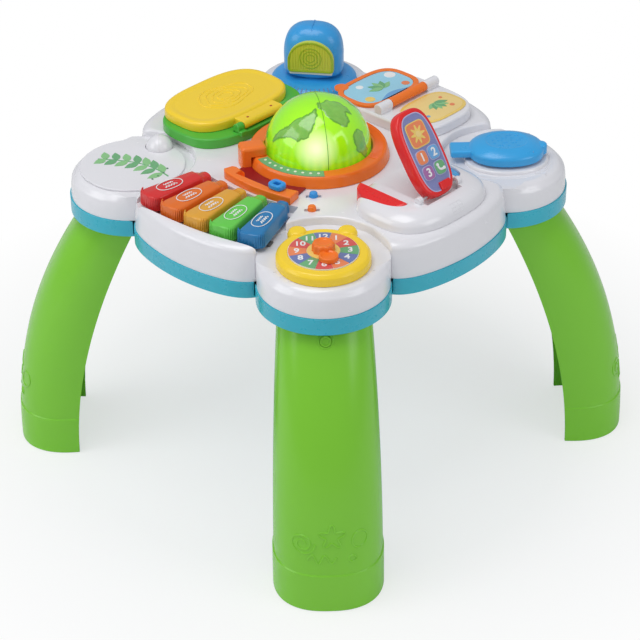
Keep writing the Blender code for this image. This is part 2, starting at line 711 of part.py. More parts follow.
def top_shell():
    """The white upper shell: raised middle, four round corner lobes, and a hollow inside."""
    base = SEAM + GAP
    rings = (
        (SHELL_SETBACK, 0, base),
        (SHELL_SETBACK + SHELL_DRAFT / 2, 0, (base + DECK) / 2),
        (SHELL_SETBACK + SHELL_DRAFT, 0, DECK - EDGE_ROUND),
        (SHELL_DRAFT + EDGE_ROUND * 0.25, 0, DECK - EDGE_ROUND * 0.45),
        (SHELL_DRAFT + EDGE_ROUND * 0.65, BITE_ROUND * 0.25, DECK - EDGE_ROUND * 0.12),
        (SHELL_DRAFT + EDGE_ROUND * 1.15, BITE_ROUND, DECK),
    )
    shape = loft([ring_points(middle_outline(side, bite), height) for side, bite, height in rings])
    shell = piece("top_shell", shape, "white")
    for quarter in range(4):
        edge = CORNER_RADIUS - SHELL_SETBACK
        profile = (
            (0, CORNER_TOP),
            (edge - SHELL_DRAFT - EDGE_ROUND, CORNER_TOP),
            (edge - SHELL_DRAFT - EDGE_ROUND * 0.55, CORNER_TOP - EDGE_ROUND * 0.12),
            (edge - SHELL_DRAFT - EDGE_ROUND * 0.2, CORNER_TOP - EDGE_ROUND * 0.45),
            (edge - SHELL_DRAFT / 2, CORNER_TOP - EDGE_ROUND),
            (edge, base),
            (0, base),
        )
        lobe = turned(profile, LOBE_STEPS, corner_centre(quarter))
        join(shell, cutter(f"corner_lobe_{quarter}", lobe))
        half_disc = corner_arc(CORNER_RADIUS, quarter, LEDGE_HALF_ANGLE, BITE_STEPS + 1, inward=True)
        ledge = prism(list(reversed(half_disc)), base + GAP, CORNER_TOP - GAP / 3)
        join(shell, cutter(f"corner_ledge_{quarter}", ledge))
    hollow_top = DECK - WALL
    outline = middle_outline(SHELL_SETBACK + SHELL_DRAFT + WALL, WALL + BITE_LAP)
    hollow = cutter("middle_hollow", prism(outline, base - OVERRUN, hollow_top - EDGE_ROUND / 2))
    inner_outline = middle_outline(SHELL_DRAFT + EDGE_ROUND + WALL, WALL + BITE_LAP)
    join(hollow, cutter("middle_hollow_roof", prism(inner_outline, base, hollow_top)))
    carve(hollow, cutter("key_well_wall", well_shapes(WALL, WALL)))
    carve(shell, hollow)
    for quarter in range(4):
        radius = CORNER_RADIUS - SHELL_SETBACK - SHELL_DRAFT - WALL
        profile = (
            (0, CORNER_TOP - WALL),
            (radius - EDGE_ROUND, CORNER_TOP - WALL),
            (radius, CORNER_TOP - WALL - EDGE_ROUND * 0.7),
            (radius, base - OVERRUN),
            (0, base - OVERRUN),
        )
        lobe = turned(profile, LOBE_HOLLOW_STEPS, corner_centre(quarter))
        carve(shell, cutter(f"corner_hollow_{quarter}", lobe))
    add_mouse_pedestal(shell)
    join(shell, cutter("white_dome", cup_dome()))
    add_shell_bosses(shell)
    carve(shell, cutter("key_well", well_shapes(0, 0)))
    for name in SWITCH_SHARES:
        size = (*switch_slot(), WALL + 2 * OVERRUN)
        carve(shell, cutter(f"{name}_slot", block(size, (*switch_place(name), DECK - WALL / 2))))
    radius = RING_INNER - WALL
    opening = rod(radius, (0, 0, DECK - WALL - OVERRUN), (0, 0, DECK + OVERRUN), GLOBE_STEPS)
    carve(shell, cutter("globe_opening", opening))
    return shell


def add_mouse_pedestal(shell):
    """The soft oval rise under the mouse, with a well for the mouse's stem."""
    top, _ = mouse_heights()
    rings = []
    for margin, height in (
        (MOUSE_PEDESTAL_MARGIN, CORNER_TOP - WALL / 2),
        (MOUSE_PEDESTAL_MARGIN * 0.95, CORNER_TOP + MOUSE_PEDESTAL_HEIGHT * 0.4),
        (MOUSE_PEDESTAL_MARGIN * 0.5, top),
    ):
        half_length, half_width = MOUSE_HALF_LENGTH + margin, MOUSE_HALF_WIDTH + margin
        outline = oval(half_length, half_width, MOUSE_SQUARENESS, MOUSE_STEPS, (MOUSE_REACH, 0))
        rings.append(ring_points(outline, height))
    join(shell, cutter("mouse_pedestal", loft(rings)))
    low, high = (MOUSE_REACH, 0, CORNER_TOP + GAP), (MOUSE_REACH, 0, top + OVERRUN)
    carve(shell, cutter("mouse_well", rod(MOUSE_STEM_RADIUS + RUNNING_GAP, low, high, 20)))


def cup_dome():
    """The half-round dome at the back of the left lobe."""
    profile = [(0, CORNER_TOP + CUP_RADIUS)]
    for index in range(1, CUP_RINGS + 1):
        angle = QUARTER * index / CUP_RINGS
        profile.append((CUP_RADIUS * math.sin(angle), CORNER_TOP + CUP_RADIUS * math.cos(angle)))
    profile.append((CUP_RADIUS, CORNER_TOP - WALL / 2))
    profile.append((0, CORNER_TOP - WALL / 2))
    return turned(profile, CUP_STEPS, CUP_PLACE)


def switch_place(name):
    """A switch's middle, between the globe's ring and the front lobe."""
    reach = RING_FOOT + (BITE_EDGE - RING_FOOT) * SWITCH_SHARES[name]
    return (reach * math.cos(SWITCH_BEARING), reach * math.sin(SWITCH_BEARING))


def switch_slot():
    """The length and width of a switch's slot."""
    length = SWITCH_STEM_LENGTH + 2 * (SWITCH_TRAVEL + RUNNING_GAP)
    return length, SWITCH_STEM_WIDTH + 2 * SWITCH_SIDE_GAP


def add_shell_bosses(shell):
    """Screw pillars that run down from the deck to the tray."""
    for index in range(4):
        angle = QUARTER * (index + 0.5)
        place = (SCREW_REACH * math.cos(angle), SCREW_REACH * math.sin(angle))
        foot = (*place, BAND_LOW + WALL + GAP)
        pillar = rod(SCREW_BOSS_RADIUS, foot, (*place, DECK - WALL / 2), SCREW_STEPS)
        join(shell, cutter(f"pillar_{index}", pillar))
        bore_top = BAND_LOW + SCREW_LENGTH + WALL
        bore = rod(SCREW_SHANK_RADIUS + GAP, (*place, BAND_LOW), (*place, bore_top), SCREW_STEPS)
        carve(shell, cutter(f"pillar_bore_{index}", bore))


def tongue_middle():
    """How far out the leg's tongue stands."""
    return CORNER_REACH + TONGUE_INSET


def base_tray(frames):
    """The turquoise tray under the top, with leg sockets, grille and battery opening."""
    shape = prism(table_outline(0), BAND_LOW, SEAM)
    tray = piece("base_tray", shape, "cyan")
    hollow = prism(table_outline(WALL), BAND_LOW + WALL, SEAM + OVERRUN)
    carve(tray, cutter("tray_hollow", hollow))
    for index, frame in enumerate(frames):
        middle = (tongue_middle(), 0, BAND_LOW + SOCKET_HEIGHT / 2)
        outer = 2 * (SOCKET_WALL + GAP)
        collar = block((TONGUE_LENGTH + outer, TONGUE_WIDTH + outer, SOCKET_HEIGHT), middle)
        bmesh.ops.translate(collar, verts=collar.verts, vec=(0, 0, WALL / 2))
        join(tray, cutter(f"socket_{index}", collar, frame))
        size = (TONGUE_LENGTH + 2 * GAP, TONGUE_WIDTH + 2 * GAP, 2 * SOCKET_HEIGHT)
        carve(tray, cutter(f"socket_hole_{index}", block(size, middle), frame))
        angle = QUARTER * (index + 0.5)
        place = (SCREW_REACH * math.cos(angle), SCREW_REACH * math.sin(angle))
        low, high = (*place, BAND_LOW - OVERRUN), (*place, BAND_LOW + WALL + OVERRUN)
        hole = rod(SCREW_SHANK_RADIUS + GAP, low, high, SCREW_STEPS)
        carve(tray, cutter(f"screw_hole_{index}", hole))
    for along in (-1, 1):
        for across in (-1, 1):
            place = (along * (BOARD_LENGTH / 2 - POST_INSET), across * (BOARD_WIDTH / 2 - POST_INSET))
            low = BAND_LOW + WALL / 2
            post = rod(POST_RADIUS, (*place, low), (*place, BAND_LOW + WALL + POST_HEIGHT), SCREW_STEPS)
            join(tray, cutter(f"post_{along}_{across}", post))
    middle = Matrix.Rotation(SPEAKER_BEARING, 3, "Z") @ Vector((SPEAKER_REACH, 0, 0))
    for index in range(GRILLE_COUNT):
        angle = math.tau * index / GRILLE_COUNT
        place = (middle.x + GRILLE_RING * math.cos(angle), middle.y + GRILLE_RING * math.sin(angle))
        low, high = (*place, BAND_LOW - OVERRUN), (*place, BAND_LOW + WALL + OVERRUN)
        hole = rod(GRILLE_HOLE_RADIUS, low, high, GRILLE_COUNT)
        carve(tray, cutter(f"grille_{index}", hole))
    frame = bearing("battery_bearing", BATTERY_BEARING)
    length, width = battery_room()
    size = (length - 2 * BATTERY_WALL, width - 2 * BATTERY_WALL, 2 * OVERRUN + WALL)
    carve(tray, cutter("battery_hole", block(size, (BATTERY_REACH, 0, BAND_LOW + WALL / 2)), frame))
    return tray


def leg_reach(height):
    """The outermost line of a leg at a height."""
    return FOOT_REACH - LEG_BOW * (height / LEG_TOP) ** LEG_BOW_POWER


def leg_section(height, swell):
    """One C-shaped section of a leg: its outer line, then its inner line back."""
    inner = FOOT_INNER_REACH - LEG_INNER_BOW * (height / LEG_TOP) ** LEG_INNER_POWER
    half = (FOOT_WIDTH - LEG_WAIST * (height / LEG_TOP) ** LEG_WAIST_POWER) / 2
    depth = leg_reach(height) - inner
    lines = []
    for offset in (swell, -LEG_WALL):
        line = []
        for index in range(LEG_STEPS + 1):
            angle = math.pi * (index / LEG_STEPS - 0.5)
            out = abs(math.cos(angle)) ** (2 / LEG_SQUARENESS)
            side = math.copysign(abs(math.sin(angle)) ** (2 / LEG_SQUARENESS), angle)
            tuck = 1 - LEG_TUCK_SHARE * (1 - out) ** 2
            line.append((inner + (depth + offset) * out, (half + offset) * side * tuck, height))
        lines.append(line)
    return [Vector(point) for point in lines[0] + list(reversed(lines[1]))]


def lock_seat():
    """The lock button's middle on the leg's outer face, and the face's outward normal."""
    height = LEG_TOP - LOCK_DROP
    slope = LEG_BOW * LEG_BOW_POWER / LEG_TOP * (height / LEG_TOP) ** (LEG_BOW_POWER - 1)
    return Vector((leg_reach(height), 0, height)), Vector((1, 0, slope)).normalized()


def leg(name, frame, index):
    """One bowed leg, open on its inner side, with a tongue for the tray's socket."""
    heights = [0, SHOE_HEIGHT - SHOE_STEP, SHOE_HEIGHT]
    step = (LEG_TOP - SHOE_HEIGHT) / (LEG_RINGS - 1)
    heights += [SHOE_HEIGHT + step * (ring + 1) for ring in range(LEG_RINGS - 1)]
    sections = [leg_section(height, SHOE_SWELL if height < SHOE_HEIGHT else 0) for height in heights]
    made = piece(name, loft(sections), "leg_green", frame)
    low = leg_section(LEG_TOP - CAP_THICKNESS, -LEG_WALL / 2)[: LEG_STEPS + 1]
    high = leg_section(LEG_TOP, -LEG_WALL / 2)[: LEG_STEPS + 1]
    join(made, cutter(f"leg_cap_{index}", loft([low, high]), frame))
    tongue = block(
        (TONGUE_LENGTH, TONGUE_WIDTH, TONGUE_HEIGHT + CAP_THICKNESS / 2),
        (tongue_middle(), 0, LEG_TOP + (TONGUE_HEIGHT - CAP_THICKNESS / 2) / 2),
    )
    join(made, cutter(f"tongue_{index}", tongue, frame))
    seat, normal = lock_seat()
    hole = rod(LOCK_RADIUS + RUNNING_GAP, seat - normal * LEG_WALL * 3, seat + normal * OVERRUN, LOCK_STEPS)
    carve(made, cutter(f"lock_hole_{index}", hole, frame))
    return made


def lock_button(name, frame):
    """The round button that releases a leg, with its flange behind the leg's wall."""
    seat, normal = lock_seat()
    depth = LEG_WALL + LOCK_FLANGE_THICKNESS + LOCK_TRAVEL / 2
    button = rod(LOCK_RADIUS, seat - normal * depth, seat + normal * LOCK_PROUD, LOCK_STEPS)
    made = piece(name, button, "leg_green", frame, seat)
    back = seat - normal * (depth + LOCK_FLANGE_THICKNESS)
    flange = rod(LOCK_FLANGE_RADIUS, back, seat - normal * depth, LOCK_STEPS)
    join(made, cutter(f"{name}_flange", flange, frame))
    return made


def marker_key(index, finish):
    """One marker-shaped key, hinged under its narrow tip."""
    angle = key_angle(index)
    frame = bpy.data.objects.new(f"key_{index + 1}_place", None)
    frame.location = (*KEY_FAN_CENTRE, 0)
    frame.rotation_euler = (0, 0, angle)
    PARTS.objects.link(frame)
    half = (KEY_TIP_WIDTH / 2, KEY_SHOULDER_WIDTH / 2, KEY_NEAR_WIDTH / 2)
    near = KEY_NEAR_RADIUS - KEY_END_ROUND
    outline = [
        (KEY_TIP_RADIUS, -half[0] + KEY_EDGE),
        (KEY_TIP_RADIUS + KEY_EDGE, -half[0]),
        (KEY_SHOULDER_RADIUS - KEY_EDGE, -half[0]),
        (KEY_SHOULDER_RADIUS, -half[1]),
        (near, -half[2]),
        (KEY_NEAR_RADIUS, -half[2] + KEY_END_ROUND),
    ]
    outline += [(along, -across) for along, across in reversed(outline)]
    shape = prism(outline, KEY_LOW, KEY_TOP)
    pivot = (KEY_TIP_RADIUS + KEY_RAIL_INSET + KEY_RAIL_WIDTH / 2, 0, KEY_LOW)
    key = piece(f"key_{index + 1}", shape, finish, frame, pivot)
    soften(key, KEY_EDGE / 2, segments=1, angle=30)
    return key


def key_bed():
    """The rail that carries the keys' tips and the contact strip under their near ends."""
    floor = DECK - KEY_WELL_DEPTH + GAP
    inner = KEY_TIP_RADIUS + KEY_RAIL_INSET
    rail = fan_outline(inner, inner + KEY_RAIL_WIDTH, 0)
    piece("key_rail", prism(rail, floor, KEY_LOW - GAP), "white")
    outer = KEY_NEAR_RADIUS - KEY_STRIP_INSET
    strip = fan_outline(outer - KEY_STRIP_WIDTH, outer, 0)
    piece("key_contact_strip", prism(strip, floor, floor + KEY_STRIP_HEIGHT), "rubber")


def globe():
    """The clear dome, its turntable and spindle, the bulb inside and the orange ring round it."""
    profile = [(0, GLOBE_LOW + GLOBE_RADIUS)]
    for index in range(1, GLOBE_RINGS + 1):
        angle = QUARTER * index / GLOBE_RINGS
        profile.append((GLOBE_RADIUS * math.sin(angle), GLOBE_LOW + GLOBE_RADIUS * math.cos(angle)))
    profile.append((GLOBE_RADIUS, GLOBE_LOW - GLOBE_SKIRT))
    inner = GLOBE_RADIUS - GLOBE_WALL
    profile.append((inner, GLOBE_LOW - GLOBE_SKIRT))
    for index in range(GLOBE_RINGS - 1):
        angle = QUARTER * (1 - index / (GLOBE_RINGS - 1))
        profile.append((inner * math.sin(angle), GLOBE_LOW + inner * math.cos(angle)))
    profile.append((0, GLOBE_LOW + inner))
    piece("globe_dome", turned(profile, GLOBE_STEPS), "lime", pivot=(0, 0, GLOBE_LOW), crease=60)
    top = GLOBE_LOW - GLOBE_SKIRT - GAP
    bore = SPINDLE_RADIUS + SPINDLE_BORE_GAP
    low = top - TURNTABLE_THICKNESS
    profile = (
        (bore, top),
        (TURNTABLE_RADIUS, top),
        (TURNTABLE_RADIUS, low + TURNTABLE_THICKNESS / 3),
        (TURNTABLE_RADIUS - TURNTABLE_LIP, low),
        (bore, low),
    )
    piece("globe_turntable", turned(profile, GLOBE_STEPS), "white", pivot=(0, 0, top))
    board_top = BAND_LOW + WALL + POST_HEIGHT + GAP + BOARD_THICKNESS
    collar = low - GAP
    profile = (
        (0, top + TURNTABLE_THICKNESS),
        (SPINDLE_RADIUS, top + TURNTABLE_THICKNESS),
        (SPINDLE_RADIUS, collar),
        (SPINDLE_COLLAR_RADIUS, collar),
        (SPINDLE_COLLAR_RADIUS, collar - TURNTABLE_THICKNESS),
        (SPINDLE_RADIUS, collar - 2 * TURNTABLE_THICKNESS),
        (SPINDLE_RADIUS, board_top + TURNTABLE_THICKNESS),
        (SPINDLE_COLLAR_RADIUS, board_top + TURNTABLE_THICKNESS),
        (SPINDLE_COLLAR_RADIUS, board_top + GAP),
        (0, board_top + GAP),
    )
    piece("globe_spindle", turned(profile, 20), "white")
    start = top + TURNTABLE_THICKNESS + GAP
    profile = (
        (0, start + LAMP_POST_HEIGHT),
        (LAMP_POST_RADIUS * 0.7, start + LAMP_POST_HEIGHT - LAMP_POST_RADIUS * 0.3),
        (LAMP_POST_RADIUS, start + LAMP_POST_HEIGHT - LAMP_POST_RADIUS),
        (LAMP_POST_RADIUS, start),
        (0, start),
    )
    piece("globe_light", turned(profile, 16), "lens")
    base = DECK + GAP
    profile = (
        (RING_INNER, RING_TOP - RING_RIM / 2),
        (RING_INNER + RING_RIM / 2, RING_TOP),
        (RING_OUTER - RING_RIM, RING_TOP - RING_RIM / 3),
        (RING_OUTER, RING_TOP - RING_RIM),
        (RING_FOOT, base),
        (RING_INNER, base),
    )
    piece("globe_ring", turned(profile, RING_STEPS), "orange")


def groove_middle():
    """How far out the middle of the slider's groove is."""
    return TRACK_REACH - TRACK_BAR_WIDTH / 2 - TRACK_GROOVE_WIDTH / 2 + TRACK_BAR_BOW / 2 - TRACK_GROOVE_EDGE


def slider_track(frame):
    """The orange bar with its groove, a low apron behind it, and the raised block at its end."""
    base = DECK + GAP
    half, steps = TRACK_HALF_LENGTH, 8
    outer, inner = [], []
    edge = TRACK_REACH + TRACK_BAR_WIDTH / 2 - TRACK_BAR_BOW
    width = TRACK_BAR_WIDTH + TRACK_GROOVE_WIDTH + 2 * TRACK_GROOVE_EDGE - TRACK_BAR_BOW / 2
    for index in range(steps + 1):
        share = 2 * index / steps - 1
        bow = TRACK_BAR_BOW * (1 - share * share)
        outer.append((edge + bow, half * share))
        inner.append((edge - width + bow / 2, half * share * TRACK_TAPER_SHARE))
    shape = prism(outer + list(reversed(inner)), base, TRACK_TOP)
    made = piece("slider_track", shape, "orange", frame)
    size = (APRON_OUTER - APRON_INNER, 2 * APRON_HALF_LENGTH, TRACK_FLOOR - GAP - base)
    centre = ((APRON_OUTER + APRON_INNER) / 2, 0, base + size[2] / 2)
    join(made, cutter("track_apron", block(size, centre), frame))
    low = base + size[2] / 2
    raised = block((BLOCK_LENGTH, BLOCK_WIDTH, BLOCK_TOP - low), (BLOCK_REACH, 0, (BLOCK_TOP + low) / 2))
    upper = [edge for edge in raised.edges if max(vert.co.z for vert in edge.verts) > low + BLOCK_EDGE]
    bmesh.ops.bevel(
        raised, geom=upper, offset=BLOCK_EDGE, segments=2, profile=0.5, affect="EDGES", clamp_overlap=True
    )
    turn = Matrix.Rotation(BLOCK_BEARING, 3, "Z")
    bmesh.ops.rotate(raised, verts=raised.verts, cent=(0, 0, 0), matrix=turn)
    join(made, cutter("track_block", raised, frame))
    ring_cut = rod(RING_FOOT + GAP, (0, 0, base - OVERRUN), (0, 0, RING_TOP + GAP), RING_STEPS)
    carve(made, cutter("track_ring_clearance", ring_cut, frame))
    length = BEAD_TRAVEL + BEAD_LENGTH * BEAD_STEM_SHARE + 2 * RUNNING_GAP
    size = (TRACK_GROOVE_WIDTH, length, TRACK_TOP - TRACK_FLOOR + OVERRUN)
    centre = (groove_middle(), BEAD_START - BEAD_TRAVEL / 2, TRACK_FLOOR + size[2] / 2)
    carve(made, cutter("track_groove", block(size, centre), frame))
    return made


def slider_bead(frame):
    """The blue finger ring that slides along the groove."""
    low, top = TRACK_FLOOR + GAP, TRACK_TOP + GAP
    place = (groove_middle(), BEAD_START)
    outline = oval(BEAD_WIDTH / 2, BEAD_LENGTH / 2, 4, 20, place)
    made = piece("slider_bead", prism(outline, top, top + BEAD_PROUD), "blue", frame, (*place, low))
    soften(made, TRACK_EDGE, segments=1)
    height = top + TRACK_EDGE - low
    size = (TRACK_GROOVE_WIDTH - 2 * RUNNING_GAP, BEAD_LENGTH * BEAD_STEM_SHARE, height)
    join(made, cutter("bead_stem", block(size, (*place, low + height / 2)), frame))
    hole = oval(BEAD_WIDTH / 2 * BEAD_HOLE_SHARE, BEAD_LENGTH / 2 * BEAD_HOLE_SHARE, 3, 16, place)
    carve(made, cutter("bead_hole", prism(hole, TRACK_FLOOR + WALL, top + BEAD_PROUD + OVERRUN), frame))
    return made


def battery_room():
    """The battery box's length and width."""
    length = CELL_LENGTH + CELL_TIP_LENGTH + 2 * (BATTERY_WALL + BATTERY_SLACK)
    width = CELL_PITCH * (CELL_COUNT - 1) + 2 * (CELL_RADIUS + BATTERY_WALL + BATTERY_SLACK)
    return length, width


def slide_switches():
    """The two sliding knobs, each with a stem through the deck and a flange below."""
    for name in SWITCH_SHARES:
        along, across = switch_place(name)
        flange_top = DECK - WALL - GAP
        pivot = (along, across, DECK)
        profile = (
            (0, DECK + GAP + SWITCH_CAP_HEIGHT),
            (SWITCH_CAP_RADIUS * 0.6, DECK + GAP + SWITCH_CAP_HEIGHT * 0.88),
            (SWITCH_CAP_RADIUS * 0.95, DECK + GAP + SWITCH_CAP_HEIGHT * 0.45),
            (SWITCH_CAP_RADIUS, DECK + GAP),
            (0, DECK + GAP),
        )
        finish = "blue" if name == "mode_switch" else "orange"
        made = piece(name, turned(profile, 16, (along, across)), finish, pivot=pivot)
        height = DECK + SWITCH_CAP_HEIGHT / 2 - flange_top + SWITCH_FLANGE_THICKNESS / 2
        size = (SWITCH_STEM_LENGTH, SWITCH_STEM_WIDTH, height)
        stem = block(size, (along, across, DECK + SWITCH_CAP_HEIGHT / 2 - height / 2))
        join(made, cutter(f"{name}_stem", stem))
        wide = SWITCH_STEM_WIDTH + 2 * SWITCH_FLANGE
        size = (SWITCH_STEM_LENGTH + 2 * SWITCH_FLANGE, wide, SWITCH_FLANGE_THICKNESS)
        flange = block(size, (along, across, flange_top - SWITCH_FLANGE_THICKNESS / 2))
        join(made, cutter(f"{name}_flange", flange))


def crescent_outline(side, margin):
    """A half moon beside the telephone: straight towards it and bowed away from it."""
    half = CRESCENT_LENGTH / 2 + margin
    inner, outer = [], []
    for index in range(CRESCENT_STEPS + 1):
        share = 2 * index / CRESCENT_STEPS - 1
        along = CRESCENT_REACH + half * math.sin(share * QUARTER)
        swell = math.cos(share * QUARTER) ** 0.8
        outer.append((along, side * (CRESCENT_OFFSET + (CRESCENT_WIDTH + margin) * swell)))
        inner.append((along, side * (CRESCENT_OFFSET - margin)))
    points = outer + list(reversed(inner[1:-1]))
    return points if side < 0 else list(reversed(points))


def crescent_button(name, finish, frame, side):
    """A half-moon button that presses down into the console."""
    top = CRESCENT_LOW + CRESCENT_HEIGHT
    outline = crescent_outline(side, 0)
    rings = [ring_points(outline, CRESCENT_LOW)]
    crest = []
    for point in outline:
        share = (abs(point[1]) - CRESCENT_OFFSET) / CRESCENT_WIDTH
        crest.append(Vector((*point, top + CRESCENT_SLOPE * (1 - share))))
    rings.append(crest)
    middle = side * (CRESCENT_OFFSET + CRESCENT_WIDTH / 2)
    made = piece(name, loft(rings), finish, frame, (CRESCENT_REACH, middle, CRESCENT_LOW))
    soften(made, CRESCENT_SLACK * 1.5, segments=1, angle=50)
    flange = crescent_outline(side, CRESCENT_SLACK + CRESCENT_FLANGE)
    low = CRESCENT_LOW + GAP
    join(made, cutter(f"{name}_flange", prism(flange, low, low + CRESCENT_FLANGE), frame))
    return made


def hinge_bore(name, radius, centre, width, frame):
    """A cutter along the frame's Y axis."""
    along, height = centre
    start, end = (along, -width / 2, height), (along, width / 2, height)
    return cutter(name, rod(radius, start, end, PIN_STEPS + 2), frame)


def phone_console(frame):
    """The white console with its well for the telephone and the two half-moon wells."""
    base = DECK + GAP
    rings = []
    for share, rise in CONSOLE_RING_SHARES:
        outline = console_oval(share, CONSOLE_STEPS)
        rings.append(ring_points(outline, base + CONSOLE_HEIGHT * rise))
    made = piece("phone_console", loft(rings), "white", frame, crease=50)
    peg = (CONSOLE_REACH - PEG_SHIFT, PEG_OFFSET)
    peg_top = DECK + PEG_HEIGHT
    profile = (
        (0, peg_top),
        (PEG_RADIUS * 0.7, peg_top - PEG_RADIUS * 0.3),
        (PEG_RADIUS, peg_top - PEG_RADIUS),
        (PEG_RADIUS, base + WALL / 2),
        (0, base + WALL / 2),
    )
    join(made, cutter("console_peg", turned(profile, 14, peg), frame))
    hollow = console_oval(CONSOLE_HOLLOW_SHARE, CONSOLE_STEPS - 6)
    add_phone_ears(made, frame)
    well_low = PHONE_HINGE_HEIGHT - phone_swing() - WALL
    carve(made, cutter("console_hollow", prism(hollow, base - OVERRUN, well_low), frame))
    for side, name in ((-1, "red"), (1, "blue")):
        outline = crescent_outline(side, CRESCENT_SLACK)
        sleeve = crescent_outline(side, CRESCENT_SLACK + WALL)
        flange_top = CRESCENT_LOW + CRESCENT_FLANGE + 2 * GAP
        join(made, cutter(f"{name}_sleeve", prism(sleeve, flange_top, well_low + WALL / 2), frame))
        carve(made, cutter(f"{name}_well", prism(outline, base - OVERRUN, DECK + 2 * CONSOLE_HEIGHT), frame))
        room = crescent_outline(side, CRESCENT_FLANGE + 2 * CRESCENT_SLACK)
        carve(made, cutter(f"{name}_flange_room", prism(room, base - 2 * OVERRUN, flange_top), frame))
    width = PHONE_WIDTH + 2 * PHONE_WELL_SLACK
    floor = PHONE_HINGE_HEIGHT - PHONE_THICKNESS / 2 - PHONE_FLAT_GAP
    start = CONSOLE_REACH - CONSOLE_HALF_LENGTH - OVERRUN
    size = (PHONE_HINGE_REACH - start, width, CONSOLE_HEIGHT)
    carve(made, cutter("phone_cradle", block(size, (start + size[0] / 2, 0, floor + size[2] / 2)), frame))
    hinge = (PHONE_HINGE_REACH, PHONE_HINGE_HEIGHT)
    carve(made, hinge_bore("phone_well", phone_swing() + PHONE_FLAT_GAP, hinge, width, frame))
    lift = (PHONE_HINGE_REACH, 0, PHONE_HINGE_HEIGHT + CONSOLE_HEIGHT / 2)
    size = (2 * (phone_swing() + PHONE_FLAT_GAP), width, CONSOLE_HEIGHT)
    carve(made, cutter("phone_well_mouth", block(size, lift), frame))
    carve(made, hinge_bore("console_pin_bore", PIN_RADIUS + GAP, hinge, phone_pin_length() + 2 * GAP, frame))
    return made


def add_phone_ears(console, frame):
    """The two ears that hold the ends of the telephone's hinge pin."""
    foot_low = DECK + CONSOLE_HEIGHT / 2
    for side in (-1, 1):
        start = side * (PHONE_WIDTH / 2 + PHONE_WELL_SLACK - GAP)
        end = start + side * PHONE_EAR_LENGTH
        inner = (PHONE_HINGE_REACH, start, PHONE_HINGE_HEIGHT)
        outer = (PHONE_HINGE_REACH, end, PHONE_HINGE_HEIGHT)
        join(console, cutter(f"phone_ear_{side}", rod(PHONE_EAR_RADIUS, inner, outer, 14), frame))
        size = (1.8 * PHONE_EAR_RADIUS, PHONE_EAR_LENGTH - 2 * GAP, PHONE_HINGE_HEIGHT - foot_low)
        foot = block(size, (PHONE_HINGE_REACH, (start + end) / 2, foot_low + size[2] / 2))
        join(console, cutter(f"phone_ear_foot_{side}", foot, frame))


def console_oval(share, steps):
    """The console's plan, drawn in by a share."""
    half_length, half_width = CONSOLE_HALF_LENGTH * share, CONSOLE_HALF_WIDTH * share
    return oval(half_length, half_width, CONSOLE_SQUARENESS, steps, (CONSOLE_REACH, 0))


def phone_pin_length():
    """The phone's hinge pin reaches into the console on both sides."""
    return PHONE_WIDTH + 2 * PHONE_PIN_OVERHANG


def phone_swing():
    """How far the telephone's lower end reaches from its hinge."""
    return math.hypot(PHONE_TAIL, PHONE_THICKNESS / 2)


def phone(frame):
    """The telephone, its face plate and its hinge pin."""
    place = bpy.data.objects.new("phone_place", None)
    turn = Matrix.Rotation(math.pi, 4, "Z") @ Matrix.Rotation(-PHONE_TILT, 4, "Y")
    place.matrix_basis = Matrix.Translation((PHONE_HINGE_REACH, 0, PHONE_HINGE_HEIGHT)) @ turn
    place.parent = frame
    PARTS.objects.link(place)
    half = PHONE_LENGTH / 2
    middle = half - PHONE_TAIL
    thick = PHONE_THICKNESS / 2
    outline = oval(half, PHONE_WIDTH / 2, PHONE_SQUARENESS, 26, (middle, 0))
    body = piece("phone_body", prism(outline, -thick, thick), "red", place, crease=50)
    soften(body, PHONE_EDGE / 2, segments=2, angle=50)
    inset = PHONE_FACE_INSET
    face = oval(half - inset, PHONE_WIDTH / 2 - inset, PHONE_SQUARENESS, 24, (middle, 0))
    inset = PHONE_FACE_INSET - GAP
    seat = oval(half - inset, PHONE_WIDTH / 2 - inset, PHONE_SQUARENESS, 24, (middle, 0))
    floor = thick - PHONE_FACE_DEPTH
    carve(body, cutter("face_seat", prism(seat, floor - GAP, PHONE_THICKNESS), place))
    bore = rod(PIN_RADIUS + PIN_BORE_GAP, (0, -PHONE_WIDTH, 0), (0, PHONE_WIDTH, 0), PIN_STEPS + 2)
    carve(body, cutter("phone_pin_bore", bore, place))
    piece("phone_face", prism(face, floor, thick + GAP), "face", place)
    reach = phone_pin_length() / 2
    piece("phone_hinge_pin", rod(PIN_RADIUS, (0, -reach, 0), (0, reach, 0), PIN_STEPS), "steel", place)


